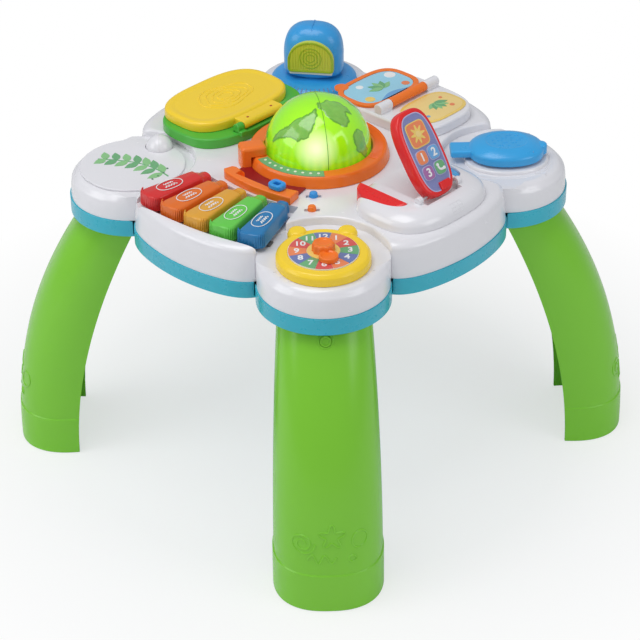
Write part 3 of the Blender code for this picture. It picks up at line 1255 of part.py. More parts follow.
def laptop(frame):
    """The green tray, its key plate, the yellow lid and the pin that it turns on."""
    base_low = DECK + GAP
    centre = (LAPTOP_REACH, 0)
    outline = oval(LAPTOP_HALF_LENGTH, LAPTOP_HALF_WIDTH, LAPTOP_SQUARENESS, LAPTOP_STEPS, centre)
    base = piece("laptop_base", prism(outline, base_low, LAPTOP_BASE_TOP), "laptop_green", frame, crease=50)
    soften(base, LAPTOP_EDGE, segments=1, angle=60)
    hinge = (LID_HINGE_REACH, LAPTOP_BASE_TOP + GAP + LID_HINGE_RADIUS)
    for side in (-1, 1):
        start = side * (LID_TAB_WIDTH / 2)
        end = side * (LID_TAB_WIDTH / 2 + LID_EAR_LENGTH)
        barrel = rod(LID_HINGE_RADIUS, (hinge[0], start, hinge[1]), (hinge[0], end, hinge[1]), 16)
        join(base, cutter(f"ear_barrel_{side}", barrel, frame))
        size = (2 * LID_HINGE_RADIUS, LID_EAR_LENGTH, LID_HINGE_RADIUS * 1.6)
        middle = (hinge[0], (start + end) / 2, hinge[1] - size[2] / 2)
        join(base, cutter(f"ear_{side}", block(size, middle), frame))
    tub = tub_oval(LAPTOP_TUB_INSET)
    carve(base, cutter("laptop_tub", prism(tub, base_low + WALL, LAPTOP_BASE_TOP + OVERRUN), frame))
    pin_length = LID_TAB_WIDTH + 2 * LID_PIN_OVERHANG
    carve(base, hinge_bore("ear_bore", PIN_RADIUS + GAP, hinge, pin_length + 2 * GAP, frame))
    plate = tub_oval(LAPTOP_TUB_INSET + RUNNING_GAP)
    low = base_low + WALL + KEYPAD_TRAVEL + GAP
    keypad = piece("laptop_keypad", prism(plate, low, low + KEYPAD_HEIGHT), "white", frame, (*centre, low))
    soften(keypad, GAP * 2, segments=1, angle=60)
    lid_low = LAPTOP_BASE_TOP + GAP
    outline = oval(LID_HALF_LENGTH, LID_HALF_WIDTH, LAPTOP_SQUARENESS, LAPTOP_STEPS, (LID_REACH, 0))
    pivot = (hinge[0], 0, hinge[1])
    shape = prism(outline, lid_low, lid_low + LID_THICKNESS)
    lid = piece("laptop_lid", shape, "yellow", frame, pivot, crease=50)
    soften(lid, LID_EDGE, segments=2, angle=60)
    tab_width = LID_TAB_WIDTH - 2 * LID_TAB_GAP
    start, end = (hinge[0], -tab_width / 2, hinge[1]), (hinge[0], tab_width / 2, hinge[1])
    join(lid, cutter("lid_barrel", rod(LID_HINGE_RADIUS, start, end, 16), frame))
    tab_end = LID_REACH - LID_HALF_LENGTH + LID_SHELL * 2
    size = (tab_end - hinge[0], tab_width, LID_HINGE_RADIUS * 1.7)
    centre = ((hinge[0] + tab_end) / 2, 0, hinge[1] + LID_HINGE_RADIUS - size[2] / 2)
    join(lid, cutter("lid_tab", block(size, centre), frame))
    half_length, half_width = LID_HALF_LENGTH - 2 * LID_SHELL, LID_HALF_WIDTH - LID_SHELL
    inner = oval(half_length, half_width, LAPTOP_SQUARENESS, LAPTOP_STEPS - 2, (LID_REACH + LID_SHELL, 0))
    roof = lid_low + LID_THICKNESS - LID_SHELL
    carve(lid, cutter("lid_hollow", prism(inner, lid_low - OVERRUN, roof), frame))
    carve(lid, hinge_bore("lid_bore", PIN_RADIUS + PIN_BORE_GAP, hinge, LID_TAB_WIDTH, frame))
    start, end = (hinge[0], -pin_length / 2, hinge[1]), (hinge[0], pin_length / 2, hinge[1])
    piece("laptop_hinge_pin", rod(PIN_RADIUS, start, end, PIN_STEPS), "steel", frame)


def tub_oval(inset):
    """The plan of the laptop's tub, drawn in from the tray's edge."""
    half_length, half_width = LAPTOP_HALF_LENGTH - inset, LAPTOP_HALF_WIDTH - inset
    centre = (LAPTOP_REACH + LAPTOP_TUB_SHIFT, 0)
    return oval(half_length, half_width, LAPTOP_SQUARENESS, LAPTOP_STEPS - 2, centre)


def book_rod(radius, start, end, steps=16):
    """A round bar along the book's hinge line."""
    return rod(radius, (start, 0, BOOK_HINGE_HEIGHT), (end, 0, BOOK_HINGE_HEIGHT), steps)


def page_oval(inset):
    """The page's plan, drawn in by an inset."""
    place = (PAGE_REACH, BOOK_BARREL_RADIUS + BOOK_SIDE_CLEARANCE + PAGE_WIDTH / 2)
    return oval(PAGE_LENGTH / 2 - inset, PAGE_WIDTH / 2 - inset, PAGE_SQUARENESS, PAGE_STEPS, place)


def book_spans():
    """Where the block's two barrels start and end along the hinge line."""
    first, second = (BOOK_HINGE_START + BOOK_LENGTH * share for share in BOOK_BARREL_SHARES)
    inset = BOOK_BARREL_RADIUS / 2
    return (BOOK_HINGE_START + inset, first), (second, BOOK_HINGE_END - inset)


def book(frame):
    """The white book block with its hinge pin, the page and the two printed plates."""
    base_low = DECK + GAP
    half = BOOK_LENGTH / 2
    outline = oval(half, BOOK_HALF_WIDTH, PAGE_SQUARENESS, PAGE_STEPS, (BOOK_MIDDLE, 0))
    base = piece("book_base", prism(outline, base_low, BOOK_PAD_TOP), "white", frame, crease=50)
    soften(base, BOOK_EDGE, segments=1, angle=60)
    inset = WALL * 2
    under = oval(half - inset, BOOK_HALF_WIDTH - inset, PAGE_SQUARENESS, PAGE_STEPS - 4, (BOOK_MIDDLE, 0))
    carve(base, cutter("book_hollow", prism(under, base_low - OVERRUN, BOOK_PAD_TOP - inset), frame))
    spans = book_spans()
    for index, (start, end) in enumerate(spans):
        join(base, cutter(f"book_barrel_{index}", book_rod(BOOK_BARREL_RADIUS, start, end), frame))
        size = (end - start - 2 * GAP, 1.8 * BOOK_BARREL_RADIUS, BOOK_BARREL_RADIUS + WALL)
        foot = block(size, ((start + end) / 2, 0, BOOK_HINGE_HEIGHT - size[2] / 2))
        join(base, cutter(f"book_foot_{index}", foot, frame))
    start, end = spans[0][1], spans[1][0]
    size = (end - start + 2 * GAP, 2 * (BOOK_BARREL_RADIUS + RUNNING_GAP), BOOK_BARREL_RADIUS * 3)
    low = BOOK_HINGE_HEIGHT - BOOK_BARREL_RADIUS - RUNNING_GAP
    relief = block(size, ((start + end) / 2, 0, low + size[2] / 2))
    carve(base, cutter("barrel_relief", relief, frame))
    start, end = spans[0][0] + WALL, spans[1][1] - WALL
    carve(base, cutter("book_bore", book_rod(PIN_RADIUS + GAP, start - GAP, end + GAP, PIN_STEPS + 2), frame))
    piece("book_hinge_pin", book_rod(PIN_RADIUS, start, end, PIN_STEPS), "steel", frame)
    book_page(frame)
    half_length, half_width = PICTURE_PAD_LENGTH / 2, PICTURE_PAD_WIDTH / 2
    centre = (BOOK_MIDDLE + PICTURE_PAD_SHIFT, -PICTURE_PAD_OFFSET)
    label = oval(half_length, half_width, PAGE_SQUARENESS, PAGE_STEPS, centre)
    low = BOOK_PAD_TOP + GAP
    piece("book_label", prism(label, low, low + LABEL_THICKNESS), "label", frame)


def book_page(frame):
    """The orange page, which turns on the middle barrel, and the print let into it."""
    low = BOOK_PAD_TOP + GAP
    top = low + PAGE_THICKNESS
    pivot = (PAGE_REACH, 0, BOOK_HINGE_HEIGHT)
    page = piece("book_page", prism(page_oval(0), low, top), "orange", frame, pivot, crease=50)
    soften(page, GAP * 2, segments=1, angle=60)
    spans = book_spans()
    start, end = spans[0][1] + BOOK_BARREL_GAP, spans[1][0] - BOOK_BARREL_GAP
    join(page, cutter("page_barrel", book_rod(BOOK_BARREL_RADIUS, start, end), frame))
    inner_edge = BOOK_BARREL_RADIUS + BOOK_SIDE_CLEARANCE
    reach = inner_edge + PAGE_INLAY_INSET / 2
    size = (end - start - 2 * BOOK_BARREL_GAP, reach, PAGE_THICKNESS - 2 * GAP)
    neck = block(size, ((start + end) / 2, reach / 2, top - PAGE_THICKNESS / 2))
    join(page, cutter("page_neck", neck, frame))
    tab = (PAGE_REACH - PAGE_LENGTH * PAGE_TAB_SHARE, inner_edge + PAGE_WIDTH - PAGE_TAB_RADIUS * 0.3)
    disc = rod(PAGE_TAB_RADIUS, (*tab, low + GAP), (*tab, top - GAP), 20)
    join(page, cutter("page_tab", disc, frame))
    bore = book_rod(PIN_RADIUS + PIN_BORE_GAP, start - OVERRUN, end + OVERRUN, PIN_STEPS + 2)
    carve(page, cutter("page_bore", bore, frame))
    floor = top - PAGE_INLAY_DEPTH
    seat = prism(page_oval(PAGE_INLAY_INSET - GAP), floor - GAP, top + OVERRUN)
    carve(page, cutter("print_seat", seat, frame))
    piece("page_print", prism(page_oval(PAGE_INLAY_INSET), floor, top), "sky", frame)


def lamp(frame):
    """The blue lamp: a round base, a hollow turning head and its ribbed lens."""
    centre = (LAMP_BASE_REACH, 0)
    low = CORNER_TOP + GAP
    top = low + LAMP_BASE_HEIGHT
    neck_top = top + LAMP_NECK_HEIGHT
    head_low = neck_top + GAP
    plate_top = head_low + LAMP_WALL
    profile = (
        (0, plate_top + LAMP_PIVOT_RADIUS / 2),
        (LAMP_PIVOT_RADIUS, plate_top + LAMP_PIVOT_RADIUS / 2),
        (LAMP_PIVOT_RADIUS, neck_top),
        (LAMP_NECK_RADIUS, neck_top),
        (LAMP_NECK_RADIUS, top),
        (LAMP_BASE_RADIUS * 0.74, top - LAMP_BASE_HEIGHT * 0.06),
        (LAMP_BASE_RADIUS * 0.90, top - LAMP_BASE_HEIGHT * 0.22),
        (LAMP_BASE_RADIUS, top - LAMP_BASE_HEIGHT * 0.55),
        (LAMP_BASE_RADIUS, low),
        (0, low),
    )
    piece("lamp_base", turned(profile, CLOCK_STEPS, centre), "blue", frame)
    place = bpy.data.objects.new("lamp_place", None)
    place.location = (*centre, 0)
    place.rotation_euler = (0, 0, LAMP_TURN)
    place.parent = frame
    PARTS.objects.link(place)
    height = LAMP_HEAD_HEIGHT
    rings, inner = [], []
    for share, rise in LAMP_HEAD_SHARES:
        depth, width = LAMP_HEAD_HALF_DEPTH * share, LAMP_HEAD_HALF_WIDTH * share
        outline = oval(depth, width, LAMP_HEAD_SQUARENESS, 22)
        rings.append(ring_points(outline, head_low + height * rise))
        outline = oval(depth - LAMP_WALL, width - LAMP_WALL, LAMP_HEAD_SQUARENESS, 14)
        inner.append(ring_points(outline, plate_top + (height - 2 * LAMP_WALL) * rise))
    head = piece("lamp_head", loft(rings), "blue", place, crease=60)
    carve(head, cutter("lamp_hollow", loft(inner[1:]), place))
    low, high = (0, 0, head_low - OVERRUN), (0, 0, plate_top + OVERRUN)
    bore = rod(LAMP_PIVOT_RADIUS + SPINDLE_BORE_GAP, low, high, 20)
    carve(head, cutter("lamp_pivot_bore", bore, place))
    lens_low = head_low + LAMP_LENS_RAISE
    front = -LAMP_HEAD_HALF_DEPTH - LAMP_LENS_PROUD
    back = -LAMP_HEAD_HALF_DEPTH + LAMP_WALL + LAMP_LENS_SEAT
    carve(head, cutter("lens_seat", lens_shape(GAP, lens_low, front - OVERRUN, back + OVERRUN), place))
    lens = piece("lamp_lens", lens_shape(0, lens_low, front, back), "lens", place, crease=50)
    soften(lens, LAMP_LENS_PROUD / 3, segments=2, angle=60)


def lens_shape(margin, low, front, back):
    """A D-shaped plate across the lamp's front, with its flat side down."""
    half = LAMP_LENS_WIDTH / 2 + margin
    straight = LAMP_LENS_HEIGHT * LAMP_LENS_STRAIGHT_SHARE
    arch = LAMP_LENS_HEIGHT - straight
    steps = 12
    outline = [(-half, low - margin), (half, low - margin)]
    for index in range(steps + 1):
        angle = math.pi * index / steps
        outline.append((half * math.cos(angle), low + straight + (arch + margin) * math.sin(angle)))
    shape = prism(outline, front, back)
    swap = Matrix(((0, 0, 1, 0), (1, 0, 0, 0), (0, 1, 0, 0), (0, 0, 0, 1)))
    bmesh.ops.transform(shape, matrix=swap, verts=shape.verts)
    return shape


def mouse_rings(low):
    """The outline rings of the mouse's domed cover."""
    rings = []
    for share, rise in MOUSE_SHARES:
        half_length, half_width = MOUSE_HALF_LENGTH * share, MOUSE_HALF_WIDTH * share
        outline = oval(half_length, half_width, MOUSE_SQUARENESS, MOUSE_STEPS, (MOUSE_REACH, 0))
        rings.append(ring_points(outline, low + MOUSE_HEIGHT * rise))
    return rings


def mouse_heights():
    """The pedestal's top and the mouse's underside."""
    pedestal = CORNER_TOP + MOUSE_PEDESTAL_HEIGHT
    return pedestal, pedestal + MOUSE_TRAVEL + GAP


def mouse(frame):
    """The blue mouse that clicks down on its pedestal."""
    pedestal, low = mouse_heights()
    made = piece("mouse", loft(mouse_rings(low)), "sky", frame, (MOUSE_REACH, 0, low), crease=50)
    edge = MOUSE_REACH - MOUSE_HALF_LENGTH
    size = (MOUSE_TAB_LENGTH, MOUSE_TAB_WIDTH, MOUSE_TAB_THICKNESS)
    tab = block(size, (edge + MOUSE_TAB_OVERLAP - size[0] / 2, 0, low + GAP + size[2] / 2))
    bmesh.ops.bevel(
        tab, geom=tab.edges, offset=MOUSE_TAB_THICKNESS / 4, segments=1, profile=0.5, affect="EDGES"
    )
    join(made, cutter("mouse_tail", tab, frame))
    nub = (MOUSE_REACH + MOUSE_HALF_LENGTH - MOUSE_NUB_RADIUS / 2, 0)
    profile = (
        (0, low + MOUSE_HEIGHT * 0.72),
        (MOUSE_NUB_RADIUS * 0.7, low + MOUSE_HEIGHT * 0.66),
        (MOUSE_NUB_RADIUS, low + MOUSE_HEIGHT * 0.5),
        (MOUSE_NUB_RADIUS, low + GAP),
        (0, low + GAP),
    )
    join(made, cutter("mouse_nub", turned(profile, 16, nub), frame))
    stem_low = CORNER_TOP + MOUSE_TRAVEL + 2 * GAP
    stem = rod(MOUSE_STEM_RADIUS, (MOUSE_REACH, 0, stem_low), (MOUSE_REACH, 0, low + WALL), 18)
    join(made, cutter("mouse_stem", stem, frame))


def clock(frame):
    """The yellow alarm clock, its dial and the orange knob with its round hand."""
    centre = (CLOCK_REACH, 0)
    low = CORNER_TOP + GAP
    top = low + CLOCK_HEIGHT
    seat_floor = top - DIAL_SINK
    stud = KNOB_STUD_RADIUS + SPINDLE_BORE_GAP
    profile = (
        (stud, seat_floor),
        (DIAL_RADIUS + GAP, seat_floor),
        (DIAL_RADIUS + GAP, top),
        (CLOCK_RADIUS - CLOCK_EDGE * 1.6, top),
        (CLOCK_RADIUS - CLOCK_EDGE * 0.6, top - CLOCK_EDGE * 0.25),
        (CLOCK_RADIUS - CLOCK_EDGE * 0.1, top - CLOCK_EDGE),
        (CLOCK_RADIUS, low),
        (CLOCK_RADIUS - WALL * 2, low),
        (CLOCK_RADIUS - WALL * 2, seat_floor - WALL * 2),
        (stud, seat_floor - WALL * 2),
    )
    body = piece("clock_body", turned(profile, CLOCK_STEPS, centre), "yellow", frame)
    for side in (-1, 1):
        angle = math.pi + side * CLOCK_BELL_ANGLE
        place = (CLOCK_REACH + CLOCK_BELL_REACH * math.cos(angle), CLOCK_BELL_REACH * math.sin(angle))
        bell_top = low + CLOCK_BELL_HEIGHT
        profile = (
            (0, bell_top),
            (CLOCK_BELL_RADIUS * 0.6, bell_top - CLOCK_EDGE * 0.35),
            (CLOCK_BELL_RADIUS * 0.92, bell_top - CLOCK_EDGE * 1.3),
            (CLOCK_BELL_RADIUS, low),
            (0, low),
        )
        join(body, cutter(f"bell_{side}", turned(profile, 16, place), frame))
    dial_low = seat_floor + GAP
    profile = (
        (stud, dial_low + DIAL_THICKNESS),
        (DIAL_RADIUS, dial_low + DIAL_THICKNESS),
        (DIAL_RADIUS, dial_low),
        (stud, dial_low),
    )
    piece("clock_dial", turned(profile, CLOCK_STEPS, centre), "label", frame)
    hand_low = dial_low + DIAL_THICKNESS + GAP
    outline = []
    steps = KNOB_FLUTES * KNOB_FLUTE_STEPS
    for index in range(steps):
        angle = math.tau * index / steps
        radius = KNOB_RADIUS - KNOB_FLUTE_DEPTH * (0.5 + 0.5 * math.cos(angle * KNOB_FLUTES))
        outline.append((CLOCK_REACH + radius * math.cos(angle), radius * math.sin(angle)))
    pivot = (*centre, hand_low)
    knob = piece("clock_knob", prism(outline, hand_low, hand_low + KNOB_HEIGHT), "orange", frame, pivot)
    soften(knob, KNOB_FLUTE_DEPTH, segments=1, angle=60)
    tip = (CLOCK_REACH + HAND_REACH * math.cos(HAND_BEARING), HAND_REACH * math.sin(HAND_BEARING))
    lobe = rod(HAND_RADIUS, (*tip, hand_low + GAP), (*tip, hand_low + HAND_THICKNESS), 22)
    join(knob, cutter("hand_lobe", lobe, frame))
    stem = rod(KNOB_STUD_RADIUS, (*centre, seat_floor - WALL * 2), (*centre, hand_low + WALL), 14)
    join(knob, cutter("knob_stud", stem, frame))


def picture_pad(frame):
    """The round picture pad on the left lobe."""
    low = CORNER_TOP + GAP
    disc = rod(PAD_RADIUS, (CORNER_REACH, 0, low), (CORNER_REACH, 0, low + PAD_THICKNESS), PAD_STEPS)
    made = piece("picture_pad", disc, "label", frame)
    soften(made, PAD_THICKNESS / 3, segments=1, angle=60)
    place = (-CUP_PLACE[0], -CUP_PLACE[1])
    start, end = (*place, low - OVERRUN), (*place, low + PAD_THICKNESS + OVERRUN)
    carve(made, cutter("cup_clearance", rod(CUP_RADIUS + 2 * GAP, start, end, CUP_STEPS), frame))


def electronics():
    """The circuit board, speaker, battery box, cells, door and the screws that close the tray."""
    low = BAND_LOW + WALL + POST_HEIGHT + GAP
    size = (BOARD_LENGTH, BOARD_WIDTH, BOARD_THICKNESS)
    piece("circuit_board", block(size, (0, 0, low + BOARD_THICKNESS / 2)), "board")
    frame = bearing("speaker_bearing", SPEAKER_BEARING)
    floor = BAND_LOW + WALL + GAP
    cone = SPEAKER_RADIUS * SPEAKER_CONE_SHARE
    profile = (
        (0, floor + SPEAKER_HEIGHT),
        (cone, floor + SPEAKER_HEIGHT),
        (cone, floor + SPEAKER_HEIGHT * 0.6),
        (SPEAKER_RADIUS * 0.95, floor + SPEAKER_HEIGHT * 0.2),
        (SPEAKER_RADIUS, floor + SPEAKER_HEIGHT * 0.2),
        (SPEAKER_RADIUS, floor),
        (0, floor),
    )
    piece("speaker", turned(profile, 24, (SPEAKER_REACH, 0)), "rubber", frame)
    frame = bearing("battery_box_bearing", BATTERY_BEARING)
    length, width = battery_room()
    roof = BAND_LOW + DOOR_THICKNESS + 2 * GAP + 2 * CELL_RADIUS
    top = roof + BATTERY_WALL
    outer = block((length, width, top - floor), (BATTERY_REACH, 0, (top + floor) / 2))
    box = piece("battery_box", outer, "white", frame)
    size = (length - 2 * BATTERY_WALL, width - 2 * BATTERY_WALL, roof - floor + OVERRUN)
    carve(box, cutter("battery_hollow", block(size, (BATTERY_REACH, 0, roof - size[2] / 2)), frame))
    size = (size[0] - 2 * GAP, size[1] - 2 * GAP, DOOR_THICKNESS)
    piece("battery_door", block(size, (BATTERY_REACH, 0, BAND_LOW + DOOR_THICKNESS / 2)), "cyan", frame)
    height = BAND_LOW + DOOR_THICKNESS + GAP + CELL_RADIUS
    for index in range(CELL_COUNT):
        across = CELL_PITCH * (index - (CELL_COUNT - 1) / 2)
        facing = 1 if index % 2 else -1
        start = BATTERY_REACH - facing * (CELL_LENGTH + CELL_TIP_LENGTH) / 2
        shoulder = start + facing * CELL_LENGTH
        can = rod(CELL_RADIUS, (start, across, height), (shoulder, across, height), 16)
        cell = piece(f"cell_{index + 1}", can, "cell", frame)
        step = facing * CELL_TIP_LENGTH
        tip = rod(CELL_TIP_RADIUS, (shoulder - step, across, height), (shoulder + step, across, height), 10)
        join(cell, cutter(f"cell_tip_{index}", tip, frame))
    for index in range(4):
        angle = QUARTER * (index + 0.5)
        place = (SCREW_REACH * math.cos(angle), SCREW_REACH * math.sin(angle))
        head = BAND_LOW - GAP - SCREW_HEAD_HEIGHT
        profile = (
            (0, BAND_LOW - GAP + SCREW_LENGTH),
            (SCREW_SHANK_RADIUS, BAND_LOW - GAP + SCREW_LENGTH - SCREW_SHANK_RADIUS),
            (SCREW_SHANK_RADIUS, BAND_LOW - GAP),
            (SCREW_HEAD_RADIUS, BAND_LOW - GAP),
            (SCREW_HEAD_RADIUS * 0.8, head),
            (0, head),
        )
        piece(f"tray_screw_{index + 1}", turned(profile, SCREW_STEPS, place), "steel")


def main():
    """Builds every piece."""
    global PARTS, CUTTERS
    clear_scene()
    PARTS = new_collection("activity_table")
    CUTTERS = new_collection("cutters")
    corners = [bearing(f"corner_bearing_{index}", QUARTER * index) for index in range(4)]
    top_shell()
    base_tray(corners)
    for index, side in enumerate(("right", "back", "left", "front")):
        leg(f"leg_{side}", corners[index], index)
        lock_button(f"leg_lock_{side}", corners[index])
    for index, finish in enumerate(("clear_red", "clear_orange", "clear_amber", "clear_green", "clear_blue")):
        marker_key(index, finish)
    key_bed()
    globe()
    frame = bearing("track_bearing", TRACK_BEARING)
    slider_track(frame)
    slider_bead(frame)
    slide_switches()
    side = {name: bearing(f"{name}_bearing", angle) for name, angle in SIDE_BEARINGS.items()}
    phone_console(side["phone"])
    phone(side["phone"])
    crescent_button("red_button", "red", side["phone"], -1)
    crescent_button("blue_button", "blue", side["phone"], 1)
    laptop(side["laptop"])
    book(side["book"])
    lamp(corners[1])
    mouse(corners[0])
    clock(corners[3])
    picture_pad(corners[2])
    electronics()


main()
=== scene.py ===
"""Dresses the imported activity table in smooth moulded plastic, printed plates and clear covers.

Each class below is one sub-assembly. Its sizes are fields, in metres, in the lobe's own frame, with
+X pointing outward from the middle of the table and +Z up. A lobe's pieces are turned to its bearing.
"""
from __future__ import annotations

import json
import logging
import math
from dataclasses import dataclass
from enum import Enum
from typing import Iterable, Sequence

import bmesh
import bpy
from mathutils import Matrix, Vector, noise

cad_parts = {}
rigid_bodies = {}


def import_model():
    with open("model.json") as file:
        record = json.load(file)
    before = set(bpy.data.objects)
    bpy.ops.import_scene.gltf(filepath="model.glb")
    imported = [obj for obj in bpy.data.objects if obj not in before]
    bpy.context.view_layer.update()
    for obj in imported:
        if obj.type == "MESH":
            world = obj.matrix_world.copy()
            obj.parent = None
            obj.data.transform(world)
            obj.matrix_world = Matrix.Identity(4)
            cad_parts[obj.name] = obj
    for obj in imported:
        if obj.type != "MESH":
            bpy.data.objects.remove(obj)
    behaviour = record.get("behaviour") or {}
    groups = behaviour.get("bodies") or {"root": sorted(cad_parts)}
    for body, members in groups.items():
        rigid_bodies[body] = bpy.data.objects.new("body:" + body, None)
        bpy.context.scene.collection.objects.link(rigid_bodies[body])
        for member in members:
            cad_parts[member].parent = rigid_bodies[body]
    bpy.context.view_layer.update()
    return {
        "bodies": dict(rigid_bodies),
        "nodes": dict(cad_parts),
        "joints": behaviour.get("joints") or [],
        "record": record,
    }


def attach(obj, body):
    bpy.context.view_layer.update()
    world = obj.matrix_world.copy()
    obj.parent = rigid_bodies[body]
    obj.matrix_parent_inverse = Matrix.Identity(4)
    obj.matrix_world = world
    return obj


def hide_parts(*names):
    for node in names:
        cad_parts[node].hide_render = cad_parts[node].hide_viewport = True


LOG = logging.getLogger("activity_table")
Shape = bmesh.types.BMesh
Spot = tuple[float, float]
Colour = tuple[float, float, float]

GAP = 0.0003


class Bearing(Enum):
    """Where a lobe stands round the table, in degrees from +X."""

    RIGHT = 0.0
    BACK = 90.0
    LEFT = 180.0
    FRONT = 270.0
    BOOK = 45.0
    LAPTOP = 135.0
    PHONE = -45.0
    TRACK = 228.0
    BATTERY = 225.0

    @property
    def turn(self) -> Matrix:
        """The rotation to this bearing."""
        return Matrix.Rotation(math.radians(self.value), 4, "Z")


@dataclass(frozen=True)
class Plan:
    """Heights and reaches that the sub-assemblies share."""

    band_low: float = 0.3073
    seam: float = 0.3265
    corner_top: float = 0.3570
    deck: float = 0.3670
    side_reach: float = 0.2290
    side_half_angle: float = math.radians(25.5)
    side_end_drop: float = 0.009
    side_end_power: float = 7.0
    corner_reach: float = 0.21171
    corner_radius: float = 0.07328
    bite_lap: float = 0.0022
    setback: float = 0.0015
    draft: float = 0.0030
    edge_round: float = 0.0115
    bite_round: float = 0.0025
    wall: float = 0.0025


PLAN = Plan()


# Finishes


class NodeBench:
    """A material's node tree, with short calls that make and join nodes."""

    def __init__(self, label: str) -> None:
        """Starts a material.

        Args:
            label: The material's name.
        """
        self.material = bpy.data.materials.new(label)
        self.material.use_nodes = True
        self.tree = self.material.node_tree
        self.shader = self.tree.nodes["Principled BSDF"]
        self.place = self.node("ShaderNodeTexCoord").outputs["Object"]

    def node(self, kind: str, sockets: dict | None = None, **settings: object) -> bpy.types.Node:
        """Adds a node.

        Args:
            kind: The node's type.
            sockets: Input socket names or numbers, each with a value or an output to join to it.
            **settings: The node's own settings.

        Returns:
            The node.
        """
        made = self.tree.nodes.new(kind)
        for name, value in settings.items():
            setattr(made, name, value)
        for key, value in (sockets or {}).items():
            self.set(made.inputs[key], value)
        return made

    def set(self, socket: bpy.types.NodeSocket, value: object) -> None:
        """Joins an output to a socket, or writes a value on it.

        Args:
            socket: The input.
            value: An output socket or a plain value.
        """
        if isinstance(value, bpy.types.NodeSocket):
            self.tree.links.new(value, socket)
        else:
            socket.default_value = value

    def shade(self, **values: object) -> None:
        """Sets the shader's inputs.

        Args:
            **values: Input names with underscores for spaces.
        """
        for name, value in values.items():
            self.set(self.shader.inputs[name.replace("_", " ")], value)

    def noise(self, scale: float, detail: float = 2.0, roughness: float = 0.5) -> bpy.types.NodeSocket:
        """A noise over the piece.

        Args:
            scale: Patches per metre.
            detail: Octaves.
            roughness: How strong the fine octaves are.

        Returns:
            The noise's value.
        """
        sockets = {"Vector": self.place, "Scale": scale, "Detail": detail, "Roughness": roughness}
        return self.node("ShaderNodeTexNoise", sockets).outputs[0]

    def span(self, value: object, low: float, high: float, start: float = 0.3, end: float = 0.7) -> object:
        """Maps a value to a range, clamped.

        Args:
            value: The output to map.
            low: The result at the start.
            high: The result at the end.
            start: Where the range starts.
            end: Where the range ends.

        Returns:
            The mapped output.
        """
        sockets = {0: value, 1: start, 2: end, 3: low, 4: high}
        return self.node("ShaderNodeMapRange", sockets).outputs[0]

    def mix(self, share: object, first: object, second: object) -> object:
        """Mixes two colours.

        Args:
            share: How much of the second.
            first: A colour or an output.
            second: A colour or an output.

        Returns:
            The mixed colour's output.
        """
        wide = [(*item, 1.0) if isinstance(item, tuple) else item for item in (first, second)]
        sockets = {0: share, 6: wide[0], 7: wide[1]}
        return self.node("ShaderNodeMix", sockets, data_type="RGBA").outputs[2]

    def bump(self, height: object, strength: float, distance: float) -> None:
        """Adds a bump under any that is there already.

        Args:
            height: The height's output.
            strength: The bump's strength.
            distance: The bump's depth in metres.
        """
        before = self.shader.inputs["Normal"].links
        sockets = {"Height": height, "Strength": strength, "Distance": distance}
        if before:
            sockets["Normal"] = before[0].from_socket
        self.shade(Normal=self.node("ShaderNodeBump", sockets).outputs[0])


@dataclass(frozen=True)
class Moulded:
    """Injection-moulded plastic: a slightly uneven colour, fine orange peel and faint handling marks."""

    label: str
    colour: Colour
    roughness: float = 0.30
    coat: float = 0.25
    mottle: float = 0.035
    peel: float = 0.05
    bleed: float = 0.0

    def bench(self) -> NodeBench:
        """The shared part of every moulded finish.

        Returns:
            The bench with its shader set.
        """
        bench = NodeBench(self.label)
        dark = tuple(channel * (1 - 2 * self.mottle) for channel in self.colour)
        light = tuple(min(1.0, channel * (1 + self.mottle)) for channel in self.colour)
        tone = bench.mix(bench.span(bench.noise(22, 3), 0, 1), dark, light)
        rough = bench.span(bench.noise(75, 4, 0.6), self.roughness * 0.85, self.roughness * 1.25)
        bench.shade(Base_Color=tone, Roughness=rough, IOR=1.47)
        bench.shade(Coat_Weight=self.coat, Coat_Roughness=0.12)
        if self.bleed:
            bench.shade(Subsurface_Weight=self.bleed, Subsurface_Scale=0.004)
            bench.shade(Subsurface_Radius=(1.0, 0.8, 0.6))
        bench.bump(bench.noise(650, 2), self.peel, 0.0003)
        bench.bump(bench.noise(60, 1), self.peel * 2, 0.0004)
        return bench

    def material(self) -> bpy.types.Material:
        """The finish as a material, made once."""
        return bpy.data.materials.get(self.label) or self.bench().material


@dataclass(frozen=True)
class Glitter(Moulded):
    """Clear tinted plastic with glitter moulded in."""

    fleck: Colour = (1.0, 0.8, 0.7)

    def bench(self) -> NodeBench:
        """Adds two sizes of glitter to the moulded finish.

        Returns:
            The bench with its shader set.
        """
        bench = super().bench()
        tone = bench.shader.inputs["Base Color"].links[0].from_socket
        depth = bench.mix(bench.span(bench.noise(110, 3), 0, 0.45), tone, tuple(c * 0.35 for c in self.colour))
        for scale, reach in ((520, 0.24), (1100, 0.20)):
            sockets = {"Vector": bench.place, "Scale": scale, "Randomness": 1.0}
            cells = bench.node("ShaderNodeTexVoronoi", sockets)
            chosen = bench.span(cells.outputs["Color"], 0, 1, 0.45, 0.75)
            near = bench.span(cells.outputs["Distance"], 0.75, 0, reach * 0.6, reach)
            share = bench.node("ShaderNodeMath", {0: chosen, 1: near}, operation="MULTIPLY").outputs[0]
            depth = bench.mix(share, depth, self.fleck)
        bench.shade(Base_Color=depth, Subsurface_Weight=0.25, Subsurface_Scale=0.006)
        bench.shade(Coat_Weight=0.7, Coat_Roughness=0.06)
        return bench


